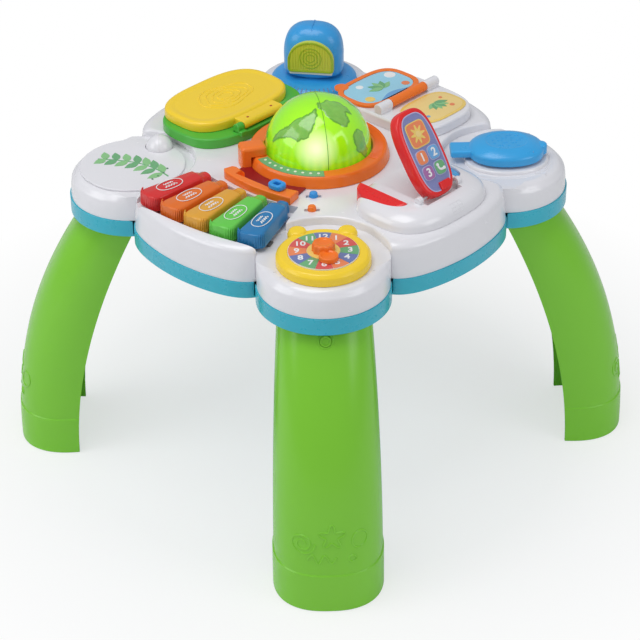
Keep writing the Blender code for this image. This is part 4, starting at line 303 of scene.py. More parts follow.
@dataclass(frozen=True)
class LitDome(Moulded):
    """The clear globe, lit from inside, with land in a duller green and a fine dark outline."""

    land: Colour = (0.16, 0.42, 0.06)
    outline: Colour = (0.05, 0.22, 0.02)
    hot: Colour = (0.95, 1.0, 0.55)
    lamp: tuple[float, float, float] = (-0.003, -0.052, 0.402)

    def bench(self) -> NodeBench:
        """Mixes sea, land and the glow round the bulb.

        Returns:
            The bench with its shader set.
        """
        bench = super().bench()
        mark = bench.node("ShaderNodeAttribute", attribute_name="land").outputs["Fac"]
        far = bench.node("ShaderNodeVectorMath", {0: bench.place, 1: self.lamp}, operation="DISTANCE")
        glow = bench.span(far.outputs["Value"], 1, 0, 0.004, 0.026)
        wide = bench.span(far.outputs["Value"], 1, 0, 0.010, 0.075)
        sea = bench.mix(wide, (0.22, 0.62, 0.01), self.colour)
        streak = bench.node("ShaderNodeAttribute", attribute_name="rib").outputs["Fac"]
        sea = bench.mix(bench.span(streak, 0, 0.5, 0.0, 1.0), sea, (0.12, 0.50, 0.01))
        sea = bench.mix(glow, sea, self.hot)
        ground = bench.mix(bench.span(bench.noise(160, 4), 0, 0.5), self.land, (0.28, 0.58, 0.10))
        tone = bench.mix(bench.span(mark, 0, 1, 0.50, 0.56), sea, ground)
        rim = bench.node("ShaderNodeMath", {0: mark, 1: 0.5}, operation="SUBTRACT").outputs[0]
        rim = bench.node("ShaderNodeMath", {0: rim}, operation="ABSOLUTE").outputs[0]
        tone = bench.mix(bench.span(rim, 0.85, 0, 0.02, 0.12), tone, self.outline)
        light = bench.mix(bench.span(mark, 0, 1, 0.45, 0.55), tone, (0.10, 0.26, 0.04))
        bench.shade(Base_Color=tone, Emission_Color=light, Emission_Strength=0.42)
        bench.shade(Coat_Weight=0.8, Coat_Roughness=0.05, Subsurface_Weight=0.15)
        return bench


@dataclass(frozen=True)
class Steel(Moulded):
    """Drawn steel wire and screws."""

    def bench(self) -> NodeBench:
        """Brushed metal.

        Returns:
            The bench with its shader set.
        """
        bench = super().bench()
        bench.shade(Metallic=1.0, Coat_Weight=0.0)
        bench.bump(bench.noise(1500, 5), 0.15, 0.0002)
        return bench


@dataclass(frozen=True)
class Printed(Moulded):
    """Printed card or label film: even ink with fine paper tooth."""

    def bench(self) -> NodeBench:
        """Adds a fine print screen to the moulded finish.

        Returns:
            The bench with its shader set.
        """
        bench = super().bench()
        tone = bench.shader.inputs["Base Color"].links[0].from_socket
        screen = bench.span(bench.noise(1800, 1), 0, 0.12)
        bench.shade(Base_Color=bench.mix(screen, tone, (1.0, 1.0, 1.0)), Coat_Weight=0.45, Coat_Roughness=0.10)
        return bench


WHITE = Moulded("white", (0.83, 0.82, 0.855), 0.22, 0.55, 0.006, 0.008, 0.0)
CYAN = Moulded("cyan", (0.022, 0.46, 0.60), 0.28, 0.35, 0.02, 0.03)
LEG_GREEN = Moulded("leg_green", (0.20, 0.50, 0.020), 0.36, 0.20, 0.03, 0.05, 0.0)
LAPTOP_GREEN = Moulded("laptop_green", (0.105, 0.50, 0.035), 0.30, 0.35)
YELLOW = Moulded("yellow", (0.93, 0.56, 0.030), 0.28, 0.40, 0.02, 0.03)
BLUE = Moulded("blue", (0.018, 0.26, 0.72), 0.28, 0.35)
LAMP_BLUE = Moulded("lamp_blue", (0.035, 0.36, 0.80), 0.30, 0.30)
SKY = Moulded("sky", (0.035, 0.40, 0.83), 0.30, 0.30)
ORANGE = Moulded("orange", (0.88, 0.098, 0.003), 0.34, 0.20)
DEEP_ORANGE = Moulded("deep_orange", (0.42, 0.030, 0.006), 0.38, 0.15)
RED = Moulded("red", (0.74, 0.006, 0.005), 0.24, 0.35)
# Orange darkened to red as painted shade, for the apron between the ring and the bar.
ORANGE_PAINTED_SHADE = Moulded("orange_painted_shade", (0.30, 0.006, 0.010), 0.35, 0.20)
KEY_RED = Glitter("clear_red", (0.46, 0.006, 0.016), 0.22, fleck=(1.0, 0.45, 0.45))
KEY_ORANGE = Glitter("clear_orange", (0.70, 0.050, 0.003), 0.22, fleck=(1.0, 0.62, 0.42))
KEY_AMBER = Glitter("clear_amber", (0.48, 0.17, 0.010), 0.22, fleck=(1.0, 0.82, 0.50))
KEY_GREEN = Glitter("clear_green", (0.075, 0.52, 0.022), 0.22, fleck=(0.75, 1.0, 0.65))
KEY_BLUE = Glitter("clear_blue", (0.003, 0.095, 0.31), 0.22, fleck=(0.40, 0.75, 1.0))
LIME = LitDome("lime", (0.40, 0.86, 0.004), 0.16)
LIME_LINE = Moulded("lime_line", (0.10, 0.36, 0.01), 0.30)
LENS = Glitter("lens", (0.17, 0.20, 0.010), 0.14, fleck=(0.50, 0.50, 0.05))
# Bright lime painted on the lens's rim and rings as highlight.
LENS_HIGHLIGHT = Moulded("lens_painted_highlight", (0.36, 0.50, 0.02), 0.16, 0.6)
CREAM = Printed("label", (0.92, 0.66, 0.20), 0.38)
PALE = Printed("pale_print", (0.86, 0.84, 0.72), 0.40)
SKY_PRINT = Printed("sky_print", (0.30, 0.66, 0.84), 0.38)
INDIGO = Printed("face", (0.17, 0.19, 0.46), 0.36)
FACE_RIM = Printed("face_rim", (0.42, 0.43, 0.68), 0.4)
INK_WHITE = Printed("ink_white", (0.88, 0.88, 0.88), 0.40)
INK_NAVY = Printed("ink_navy", (0.10, 0.15, 0.42), 0.40)
INK_RED = Printed("ink_red", (0.72, 0.035, 0.03), 0.40)
INK_ORANGE = Printed("ink_orange", (0.86, 0.20, 0.04), 0.40)
INK_GREEN = Printed("ink_green", (0.10, 0.40, 0.14), 0.40)
INK_LEAF = Printed("ink_leaf", (0.22, 0.56, 0.20), 0.40)
INK_DARK = Printed("ink_dark", (0.03, 0.15, 0.07), 0.40)
INK_BLUE = Printed("ink_blue", (0.10, 0.36, 0.72), 0.40)
INK_PURPLE = Printed("ink_purple", (0.36, 0.09, 0.34), 0.40)
INK_YELLOW = Printed("ink_yellow", (0.90, 0.62, 0.10), 0.40)
RUBBER = Moulded("rubber", (0.05, 0.05, 0.055), 0.75, 0.0, 0.08, 0.12)
BOARD = Moulded("board", (0.02, 0.18, 0.07), 0.45, 0.2)
STEEL = Steel("steel", (0.60, 0.60, 0.62), 0.28)
CELL = Moulded("cell", (0.09, 0.09, 0.11), 0.35, 0.3)


# Shapes

# Stands a flat shape up to face along X: its X, Y and Z become Y, Z and X.
STANDING = Matrix(((0, 0, 1, 0), (1, 0, 0, 0), (0, 1, 0, 0), (0, 0, 0, 1)))


def wave(value: float, power: float) -> float:
    """A signed power, for superellipses.

    Args:
        value: The sine or cosine.
        power: The exponent.

    Returns:
        The value's power with its sign kept.
    """
    return math.copysign(abs(value) ** power, value)


def oval(half_length: float, half_width: float, squareness: float = 2.0, steps: int = 96,
         centre: Spot = (0.0, 0.0)) -> list[Spot]:
    """A superellipse outline, counter-clockwise.

    Args:
        half_length: Half its size along X.
        half_width: Half its size along Y.
        squareness: 2 is an ellipse, and more is squarer.
        steps: How many points.
        centre: Its middle.

    Returns:
        The points.
    """
    power = 2 / squareness
    points = []
    for index in range(steps):
        angle = math.tau * (index + 0.5) / steps
        points.append((centre[0] + half_length * wave(math.cos(angle), power),
                       centre[1] + half_width * wave(math.sin(angle), power)))
    return points


def on_circle(radius: float, angle: float, centre: Spot = (0.0, 0.0)) -> Spot:
    """The spot on a circle at an angle in radians."""
    return (centre[0] + radius * math.cos(angle), centre[1] + radius * math.sin(angle))


def arc(centre: Spot, radius: float, start: float, end: float, steps: int) -> list[Spot]:
    """Points along a round arc, both ends included.

    Args:
        centre: The arc's middle.
        radius: Its radius.
        start: The first angle.
        end: The last angle.
        steps: How many steps.

    Returns:
        The points.
    """
    angles = [start + (end - start) * index / steps for index in range(steps + 1)]
    return [on_circle(radius, angle, centre) for angle in angles]


def rounded(corners: Sequence[tuple[float, float, float]], closed: bool = True, steps: int = 5) -> list[Spot]:
    """A line through corners, each turned into an arc of its own radius.

    Args:
        corners: x, y and the radius at each corner.
        closed: Whether the last corner joins the first.
        steps: Steps in each arc.

    Returns:
        The points.
    """
    points: list[Spot] = []
    count = len(corners)
    for index, (x, y, radius) in enumerate(corners):
        here = Vector((x, y))
        if radius <= 0 or (not closed and index in (0, count - 1)):
            points.append((x, y))
            continue
        back = Vector(corners[index - 1][:2]) - here
        ahead = Vector(corners[(index + 1) % count][:2]) - here
        half = back.angle(ahead) / 2
        cut = min(radius / math.tan(half), back.length * 0.49, ahead.length * 0.49)
        start, end = here + back.normalized() * cut, here + ahead.normalized() * cut
        for step in range(steps + 1):
            share = step / steps
            spot = start * (1 - share) ** 2 + here * 2 * share * (1 - share) + end * share ** 2
            points.append((spot.x, spot.y))
    return points


def smooth_line(stops: Sequence[Sequence[float]], steps: int = 6) -> list[tuple[float, ...]]:
    """A smooth line through stops.

    Args:
        stops: Points of any one size.
        steps: Steps between two stops.

    Returns:
        The points, the stops among them.
    """
    padded = [stops[0], *stops, stops[-1]]
    line: list[tuple[float, ...]] = []
    for first, second, third, fourth in zip(padded, padded[1:], padded[2:], padded[3:]):
        for step in range(steps):
            t = step / steps
            line.append(tuple(
                0.5 * (2 * b + (c - a) * t + (2 * a - 5 * b + 4 * c - d) * t * t
                       + (3 * b - a - 3 * c + d) * t ** 3)
                for a, b, c, d in zip(first, second, third, fourth)))
    line.append(tuple(stops[-1]))
    return line


def lift(outline: Iterable[Spot], height: float) -> list[Vector]:
    """An outline at a height.

    Args:
        outline: The flat points.
        height: Their height.

    Returns:
        The points in space.
    """
    return [Vector((x, y, height)) for x, y in outline]


def loft(rings: Sequence[Sequence[Vector]], closed: bool = False) -> Shape:
    """A solid drawn out through rings of equal count.

    Args:
        rings: The rings in order.
        closed: Whether the last ring runs on into the first, and otherwise both ends are filled.

    Returns:
        The shape.
    """
    shape = bmesh.new()
    row = [shape.verts.new(point) for point in rings[0]]
    edges = [shape.edges.new(pair) for pair in zip(row, row[1:] + row[:1])]
    first = edges
    for ring in [*rings[1:], *([rings[0]] if closed else [])]:
        made = bmesh.ops.extrude_edge_only(shape, edges=edges)["geom"]
        fresh = {item for item in made if isinstance(item, bmesh.types.BMVert)}
        row = [next(e.other_vert(v) for e in v.link_edges if e.other_vert(v) in fresh) for v in row]
        for vert, point in zip(row, ring):
            vert.co = point
        edges = [shape.edges.get(pair) for pair in zip(row, row[1:] + row[:1])]
    if closed:
        bmesh.ops.remove_doubles(shape, verts=shape.verts, dist=GAP / 50)
    else:
        bmesh.ops.edgeloop_fill(shape, edges=first)
        bmesh.ops.edgeloop_fill(shape, edges=edges)
    bmesh.ops.recalc_face_normals(shape, faces=shape.faces)
    return shape


def plate(outline: Sequence[Spot], low: float, high: float, edge: float = 0.0, foot: float = 0.0) -> Shape:
    """A flat outline with a thickness and rounded edges.

    Args:
        outline: The plan.
        low: The underside.
        high: The top.
        edge: The top edge's rounding.
        foot: The bottom edge's rounding.

    Returns:
        The shape.
    """
    shape = loft([lift(outline, low), lift(outline, high)])
    for height, width in ((high, edge), (low, foot)):
        if width:
            rim = [e for e in shape.edges if all(abs(v.co.z - height) < GAP / 100 for v in e.verts)]
            bmesh.ops.bevel(shape, geom=rim, offset=width, segments=4, profile=0.5, affect="EDGES",
                            clamp_overlap=True, material=-1)
    return shape


def revolve(profile: Sequence[Spot], steps: int = 96, centre: Spot = (0.0, 0.0)) -> Shape:
    """A turned solid.

    Args:
        profile: Radius and height of each point.
        steps: Steps round the axis.
        centre: Where the axis stands.

    Returns:
        The shape.
    """
    shape = bmesh.new()
    points = [shape.verts.new((radius, 0, height)) for radius, height in profile]
    edges = [shape.edges.new(pair) for pair in zip(points, points[1:])]
    if profile[0][0] > 0:
        edges.append(shape.edges.new((points[-1], points[0])))
    bmesh.ops.spin(shape, geom=points + edges, cent=(0, 0, 0), axis=(0, 0, 1), angle=math.tau, steps=steps,
                   use_merge=True)
    bmesh.ops.remove_doubles(shape, verts=shape.verts, dist=GAP / 50)
    bmesh.ops.recalc_face_normals(shape, faces=shape.faces)
    bmesh.ops.translate(shape, verts=shape.verts, vec=(*centre, 0))
    return shape


def bar(radius: float, start: Sequence[float], end: Sequence[float], edge: float = 0.0, steps: int = 40) -> Shape:
    """A round bar with softened ends.

    Args:
        radius: Its radius.
        start: One end.
        end: The other end.
        edge: The rounding of its ends.
        steps: Steps round it.

    Returns:
        The shape.
    """
    first, last = Vector(start), Vector(end)
    run = last - first
    half = run.length / 2
    profile = rounded([(0, half, 0), (radius, half, edge), (radius, -half, edge), (0, -half, 0)], closed=False)
    shape = revolve(profile, steps)
    turn = run.to_track_quat("Z", "Y").to_matrix().to_4x4()
    bmesh.ops.transform(shape, matrix=Matrix.Translation((first + last) / 2) @ turn, verts=shape.verts)
    return shape


def box(size: Sequence[float], centre: Sequence[float], edge: float = 0.0) -> Shape:
    """A block with rounded edges.

    Args:
        size: Its three sizes.
        centre: Its middle.
        edge: The rounding.

    Returns:
        The shape.
    """
    shape = bmesh.new()
    bmesh.ops.create_cube(shape, size=1, matrix=Matrix.Translation(centre) @ Matrix.Diagonal((*size, 1)))
    if edge:
        bmesh.ops.bevel(shape, geom=shape.edges[:], offset=edge, segments=4, profile=0.5, affect="EDGES",
                        clamp_overlap=True, material=-1)
    return shape


def stroke(path: Sequence[Sequence[float]], half_width: float, rise: float, up: Sequence[float] = (0, 0, 1),
           closed: bool = False) -> Shape:
    """A raised line with a half-round top that follows a path.

    Args:
        path: The points of its middle line.
        half_width: Half its width.
        rise: Its height over the path, and as much below.
        up: The way that its top faces.
        closed: Whether the path is a loop.

    Returns:
        The shape.
    """
    points = [Vector(point) for point in path]
    top = Vector(up).normalized()
    rings = []
    count = len(points)
    for index, point in enumerate(points):
        ahead = points[(index + 1) % count] if closed else points[min(index + 1, count - 1)]
        back = points[index - 1] if closed else points[max(index - 1, 0)]
        side = (ahead - back).cross(top).normalized()
        turn = [math.tau * step / 8 for step in range(8)]
        rings.append([point + side * half_width * math.cos(a) + top * rise * math.sin(a) for a in turn])
    return loft(rings, closed)


def combine(shape: Shape, tools: Sequence[Shape], operation: str = "DIFFERENCE") -> Shape:
    """Cuts shapes out of a shape or makes them one with it. The tools don't touch each other.

    Args:
        shape: The shape to change.
        tools: The tools.
        operation: The Boolean's name.

    Returns:
        The new shape.
    """
    objects = []
    for parts in ([shape], tools):
        gathered = bmesh.new()
        for part in parts:
            mesh = bpy.data.meshes.new("passing")
            part.to_mesh(mesh)
            part.free()
            gathered.from_mesh(mesh)
            bpy.data.meshes.remove(mesh)
        mesh = bpy.data.meshes.new("passing")
        gathered.to_mesh(mesh)
        gathered.free()
        objects.append(bpy.data.objects.new("passing", mesh))
        bpy.context.scene.collection.objects.link(objects[-1])
    step = objects[0].modifiers.new("cut", "BOOLEAN")
    step.operation = operation
    step.solver = "EXACT"
    step.object = objects[1]
    bpy.context.view_layer.update()
    result = bpy.data.meshes.new_from_object(objects[0].evaluated_get(bpy.context.evaluated_depsgraph_get()))
    made = bmesh.new()
    made.from_mesh(result)
    bpy.data.meshes.remove(result)
    for item in objects:
        bpy.data.meshes.remove(item.data)
    return made


def numeral(text: str, height: float, thickness: float) -> Shape:
    """A plain number as a thin raised solid, upright along +Y and centred.

    Args:
        text: The digits.
        height: The size of the figures.
        thickness: How far it stands up.

    Returns:
        The shape.
    """
    curve = bpy.data.curves.new("figures", "FONT")
    curve.body = text
    curve.size = height * 1.4
    curve.align_x = "CENTER"
    curve.align_y = "CENTER"
    curve.offset = height * 0.035
    curve.extrude = thickness / 2
    curve.resolution_u = 3
    holder = bpy.data.objects.new("figures", curve)
    bpy.context.scene.collection.objects.link(holder)
    bpy.context.view_layer.update()
    mesh = bpy.data.meshes.new_from_object(holder.evaluated_get(bpy.context.evaluated_depsgraph_get()))
    shape = bmesh.new()
    shape.from_mesh(mesh)
    bpy.data.meshes.remove(mesh)
    bpy.data.objects.remove(holder)
    bpy.data.curves.remove(curve)
    bmesh.ops.remove_doubles(shape, verts=shape.verts, dist=GAP / 50)
    bmesh.ops.recalc_face_normals(shape, faces=shape.faces)
    return shape


def blade(length: float, width: float, place: Spot, heading: float, steps: int = 14) -> list[Spot]:
    """A pointed leaf's outline.

    Args:
        length: From foot to tip.
        width: Its widest.
        place: Its foot.
        heading: The way to its tip.
        steps: Points on each side.

    Returns:
        The outline, counter-clockwise.
    """
    along = [index / steps for index in range(steps + 1)]
    side = [(length * t, -width / 2 * math.sin(math.pi * t ** 0.85)) for t in along]
    points = side + [(x, -y) for x, y in reversed(side[1:-1])]
    cos, sin = math.cos(heading), math.sin(heading)
    return [(place[0] + x * cos - y * sin, place[1] + x * sin + y * cos) for x, y in points]


def star(outer: float, inner: float, tips: int, place: Spot, turn: float = 0.0) -> list[Spot]:
    """A star's or flower's outline.

    Args:
        outer: Radius of the tips.
        inner: Radius between them.
        tips: How many.
        place: Its middle.
        turn: Its rotation.

    Returns:
        The outline, counter-clockwise.
    """
    points = []
    steps = tips * 8
    for index in range(steps):
        angle = math.tau * index / steps
        radius = inner + (outer - inner) * (0.5 + 0.5 * math.cos(angle * tips)) ** 1.4
        points.append(on_circle(radius, angle + turn, place))
    return points


class Piece:
    """One visible piece. It gathers shapes, each with its own finish, and then rides on a body."""

    def __init__(self, name: str, place: Matrix | None = None) -> None:
        """Starts a piece.

        Args:
            name: Its name.
            place: Where its frame stands in the table's frame.
        """
        self.name = name
        self.place = place or Matrix.Identity(4)
        self.shape = bmesh.new()
        self.finishes: list[Moulded] = []

    def add(self, shape: Shape, finish: Moulded, place: Matrix | None = None) -> Piece:
        """Adds a shape and lets it go.

        Args:
            shape: The shape, in the piece's frame.
            finish: Its finish.
            place: A further placing inside the piece's frame.

        Returns:
            The piece.
        """
        if finish not in self.finishes:
            self.finishes.append(finish)
        index = self.finishes.index(finish)
        for face in shape.faces:
            face.material_index = index
        whole = self.place @ place if place else self.place
        bmesh.ops.transform(shape, matrix=whole, verts=shape.verts)
        mesh = bpy.data.meshes.new(self.name)
        shape.to_mesh(mesh)
        shape.free()
        self.shape.from_mesh(mesh)
        bpy.data.meshes.remove(mesh)
        return self

    def add_all(self, shapes: Iterable[Shape], finish: Moulded, place: Matrix | None = None) -> Piece:
        """Adds several shapes of one finish.

        Args:
            shapes: The shapes, in the piece's frame.
            finish: Their finish.
            place: A further placing inside the piece's frame.

        Returns:
            The piece.
        """
        for shape in shapes:
            self.add(shape, finish, place)
        return self

    def done(self, body: str, *nodes: str, crease: float = 38.0, weighted: bool = False) -> bpy.types.Object:
        """Makes the object and ties it to the frame.

        Args:
            body: The body that it rides on.
            *nodes: The CAD nodes that it stands for.
            crease: The angle past which an edge is sharp, in degrees.
            weighted: Whether large faces keep their own normals.

        Returns:
            The object.
        """
        mesh = bpy.data.meshes.new(self.name)
        self.shape.to_mesh(mesh)
        self.shape.free()
        mesh.shade_smooth()
        mesh.set_sharp_from_angle(angle=math.radians(crease))
        for finish in self.finishes:
            mesh.materials.append(finish.material())
        made = bpy.data.objects.new(self.name, mesh)
        bpy.context.scene.collection.objects.link(made)
        if weighted:
            step = made.modifiers.new("flat_faces", "WEIGHTED_NORMAL")
            step.keep_sharp = True
        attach(made, body)
        if nodes:
            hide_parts(*nodes)
        LOG.info("%s: %d faces on %s", self.name, len(mesh.polygons), body)
        return made


def disc(radius: float, centre: Spot, low: float, high: float, edge: float = 0.0, steps: int = 28) -> Shape:
    """A flat round plate.

    Args:
        radius: Its radius.
        centre: Its middle.
        low: The underside.
        high: The top.
        edge: The rounding of its upper edge.
        steps: Sides of the circle.

    Returns:
        The shape.
    """
    return plate(oval(radius, radius, 2, steps, centre), low, high, edge)


def stud(radius: float, centre: Spot, low: float, high: float, edge: float, steps: int = 24,
         foot: float = 0.0) -> Shape:
    """A short turned stud with a softly rounded edge.

    Args:
        radius: Its radius.
        centre: Its middle.
        low: The underside.
        high: The top.
        edge: The rounding at the top.
        steps: Sides of the circle.
        foot: The rounding at the underside.

    Returns:
        The shape.
    """
    profile = [(0, high, 0), (radius, high, edge), (radius, low, foot), (0, low, 0)]
    return revolve(rounded(profile, False), steps, centre)


def sprig(made: Piece, centre: Spot, size: Spot, headings: Iterable[float], low: float, rise: Spot) -> None:
    """Adds a fan of printed leaves in two greens.

    Args:
        made: The piece.
        centre: Where the leaves meet.
        size: A leaf's length and width.
        headings: Each leaf's direction, in degrees.
        low: The print's underside.
        rise: The first leaf's height, and how much higher each next one is.
    """
    for index, heading in enumerate(headings):
        leaf = blade(*size, centre, math.radians(heading))
        made.add(plate(leaf, low, low + rise[0] + rise[1] * index), (INK_LEAF, INK_GREEN)[index % 2])


# Sub-assemblies


@dataclass
class TableTop:
    """The white upper shell, its embossed rims, and the turquoise tray under it."""

    side_steps: int = 72
    arc_steps: int = 40
    screw_reach: float = 0.19007
    screw_hole: float = 0.0019
    socket: tuple[float, float, float] = (0.2317, 0.0266, 0.0586)
    battery: tuple[float, float, float] = (0.1399, 0.0536, 0.0457)
    grille: tuple[float, float, float] = (0.145, 0.012, 0.0022)
    dome: tuple[float, float, float] = (-0.1825, 0.0420, 0.0160)

    def side_radius(self, away: float, inset: float) -> float:
        """How far out a side lobe's edge stands.

        Args:
            away: The angle from the lobe's middle, in radians.
            inset: How far the edge is drawn in.

        Returns:
            The reach.
        """
        share = min(1.0, abs(away) / PLAN.side_half_angle)
        return PLAN.side_reach - inset - PLAN.side_end_drop * share ** PLAN.side_end_power

    def bite_end(self, radius: float, inset: float) -> float:
        """Where a bite meets the side lobe's edge.

        Args:
            radius: The bite's radius.
            inset: How far the side's edge is drawn in.

        Returns:
            Half the angle that the bite spans, seen from the corner lobe's middle.
        """
        low, high = math.radians(20), math.radians(100)
        for _ in range(40):
            half = (low + high) / 2
            x = PLAN.corner_reach - radius * math.cos(half)
            y = radius * math.sin(half)
            away = math.pi / 4 - math.atan2(y, x)
            if math.hypot(x, y) < self.side_radius(away, inset):
                low = half
            else:
                high = half
        return low

    def side_arc(self, inset: float, middle: float, half: float) -> list[Spot]:
        """The outer edge of a side lobe.

        Args:
            inset: How far the edge is drawn in.
            middle: The lobe's bearing in radians.
            half: Half the angle that the edge spans.

        Returns:
            The points, counter-clockwise.
        """
        points = []
        for index in range(self.side_steps + 1):
            away = half * math.sin(math.pi * (index / self.side_steps - 0.5))
            radius = self.side_radius(away, inset)
            points.append((radius * math.cos(middle + away), radius * math.sin(middle + away)))
        return points

    def eased(self, points: list[Spot], corners: Sequence[int], rounds: int) -> list[Spot]:
        """Rounds the outline's outer corners.

        Args:
            points: The outline.
            corners: The numbers of the corner points.
            rounds: How often the points near a corner are averaged.

        Returns:
            The eased outline.
        """
        count = len(points)
        near = sorted({(corner + step) % count for corner in corners for step in range(-7, 8)})
        for _ in range(rounds):
            before = list(points)
            for index in near:
                (x1, y1), (x2, y2), (x3, y3) = before[index - 1], before[index], before[(index + 1) % count]
                points[index] = ((x1 + 2 * x2 + x3) / 4, (y1 + 2 * y2 + y3) / 4)
        return points

    def outline(self, inset: float, bite: float | None = None) -> list[Spot]:
        """The plan of the top, with round corner lobes or with bites in their place.

        Args:
            inset: How far the outer edges are drawn in.
            bite: How far the bites are drawn in, or None for the lobes.

        Returns:
            The points, counter-clockwise.
        """
        points: list[Spot] = []
        corners = []
        for quarter in range(4):
            facing = math.pi / 2 * quarter
            centre = (PLAN.corner_reach * math.cos(facing), PLAN.corner_reach * math.sin(facing))
            if bite is None:
                half = math.radians(86)
                points += arc(centre, PLAN.corner_radius - inset, facing - half, facing + half, self.arc_steps)
                side = PLAN.side_half_angle - inset / PLAN.side_reach
            else:
                radius = PLAN.corner_radius - PLAN.bite_lap + bite
                half = self.bite_end(radius, inset)
                points += arc(centre, radius, facing + math.pi + half, facing + math.pi - half, self.arc_steps)
                corner = points[-1]
                side = math.pi / 4 - (math.atan2(corner[1], corner[0]) - facing) % math.tau - 0.004
                corners += [len(points) - 1, len(points) + self.side_steps]
            points += self.side_arc(inset, facing + math.pi / 4, side)
        return self.eased(points, corners, 16)

    def middle(self) -> Shape:
        """The raised middle with its four side lobes.

        Returns:
            The shape, hollow below.
        """
        base, deck, edge = PLAN.seam + GAP, PLAN.deck, PLAN.edge_round
        profile = smooth_line((
            (PLAN.setback, 0, base),
            (PLAN.setback + PLAN.draft / 2, 0, (base + deck) / 2),
            (PLAN.setback + PLAN.draft, 0, deck - edge),
            (PLAN.draft + edge * 0.25, 0, deck - edge * 0.45),
            (PLAN.draft + edge * 0.65, PLAN.bite_round * 0.25, deck - edge * 0.12),
            (PLAN.draft + edge * 1.15, PLAN.bite_round, deck),
        ), 4)
        shell = loft([lift(self.outline(side, bite), height) for side, bite, height in profile])
        hollow = plate(self.outline(PLAN.setback + PLAN.draft + PLAN.wall + 0.004, PLAN.wall + PLAN.bite_lap),
                       base - PLAN.wall, deck - PLAN.wall - edge / 3)
        hollow = combine(hollow, [Keys().well(PLAN.wall)])
        shell = combine(shell, [hollow])
        tools = [Keys().well(0), bar(Globe().ring_inner - PLAN.wall, (0, 0, deck - 0.008), (0, 0, deck + 0.004))]
        tools += [box((*switch.slot, 0.008), (*switch.place, deck)) for switch in SWITCHES]
        return combine(shell, tools)

    def corner_lobe(self) -> Shape:
        """One round corner lobe, in its own frame, running flat up to the step behind it.

        Returns:
            The shape.
        """
        base, top, edge = PLAN.seam + GAP, PLAN.corner_top, PLAN.edge_round
        profile = smooth_line((
            (0, base),
            (PLAN.draft / 2, top - edge),
            (PLAN.draft + edge * 0.20, top - edge * 0.45),
            (PLAN.draft + edge * 0.55, top - edge * 0.12),
            (PLAN.draft + edge, top),
        ), 5)
        rings = []
        for inset, height in profile:
            ring = []
            for index in range(120):
                angle = math.tau * index / 120
                outward = min(1.0, max(0.0, (math.cos(angle) - 0.06) / 0.26))
                radius = PLAN.corner_radius - PLAN.setback - inset * outward
                ring.append(Vector((*on_circle(radius, angle, (PLAN.corner_reach, 0)), height)))
            rings.append(ring)
        return loft(rings)

    def rim_marks(self) -> list[tuple[Bearing, list[Shape]]]:
        """The small raised lines on the white rims.

        Returns:
            Each lobe's bearing and its shapes.
        """
        top = PLAN.corner_top
        front = []
        for degrees in (-64, -52, -40, 40, 52, 64):
            angle = math.radians(degrees)
            path = [(*on_circle(radius, angle, (PLAN.corner_reach, 0)), top) for radius in (0.0562, 0.0590)]
            front.append(stroke(path, 0.0008, 0.0005))
        ridge = [(x, y, top) for x, y in oval(0.0545, 0.0475, 2.2, 72, (0.2100, 0))]
        right = [stroke(ridge, 0.0010, 0.0006, closed=True)]
        corners = [(x, y, 0.001) for x, y in ((0.2560, -0.0320), (0.2560, -0.0400), (0.2440, -0.0400),
                                              (0.2440, -0.0320))]
        right.append(stroke([(x, y, top) for x, y in rounded(corners)], 0.0006, 0.0004, closed=True))
        return [(Bearing.FRONT, front), (Bearing.RIGHT, right)]

    def cup(self) -> Shape:
        """The half-round white dome at the back of the left lobe.

        Returns:
            The shape.
        """
        x, y, radius = self.dome
        low = PLAN.corner_top - 0.001
        profile = [(max(0.0, out), PLAN.corner_top + up) for out, up in arc((0, 0), radius, math.pi / 2, 0, 16)]
        return revolve([*profile, (radius, low), (0, low)], 64, (x, y))

    def tray(self) -> Shape:
        """The turquoise tray with its sockets, grille and openings.

        Returns:
            The shape.
        """
        low, high = PLAN.band_low, PLAN.seam
        tray = plate(self.outline(0), low, high, 0.0006, 0.0022)
        tray = combine(tray, [plate(self.outline(PLAN.wall), low + PLAN.wall, high + PLAN.wall)])
        holes = []
        for quarter in range(4):
            turn = Matrix.Rotation(math.pi / 2 * quarter, 4, "Z")
            reach, length, width = self.socket
            hole = box((length + 2 * GAP, width + 2 * GAP, 0.012), (reach, 0, low))
            bmesh.ops.transform(hole, matrix=turn, verts=hole.verts)
            holes.append(hole)
            angle = math.pi / 2 * (quarter + 0.5)
            spot = on_circle(self.screw_reach, angle)
            holes.append(bar(self.screw_hole, (*spot, low - 0.002), (*spot, low + 0.004)))
        reach, radius, hole = self.grille
        middle = reach * math.sqrt(0.5)
        for index in range(8):
            spot = on_circle(radius, math.tau * index / 8, (middle, middle))
            holes.append(bar(hole, (*spot, low - 0.002), (*spot, low + 0.004)))
        reach, length, width = self.battery
        door = box((length, width, 0.012), (reach, 0, low))
        bmesh.ops.transform(door, matrix=Bearing.BATTERY.turn, verts=door.verts)
        return combine(tray, [*holes, door])

    def build(self) -> None:
        """Makes the shell and the tray."""
        shell = Piece("white_top").add(self.middle(), WHITE)
        for bearing in (Bearing.RIGHT, Bearing.BACK, Bearing.LEFT, Bearing.FRONT):
            shell.add(self.corner_lobe(), WHITE, bearing.turn)
        for bearing, marks in self.rim_marks():
            shell.add_all(marks, WHITE, bearing.turn)
        shell.add(self.cup(), WHITE)
        x, y, radius = self.dome
        seam = [(x, *on_circle(radius, math.pi * step / 24, (y, PLAN.corner_top))) for step in range(25)]
        shell.add(stroke(seam, 0.0004, 0.0003, (1, 0, 0)), WHITE)
        shell.add(Mouse().pedestal(), WHITE)
        shell.done("table", "top_shell", crease=32, weighted=True)
        Piece("turquoise_tray").add(self.tray(), CYAN).done("table", "base_tray", crease=32, weighted=True)


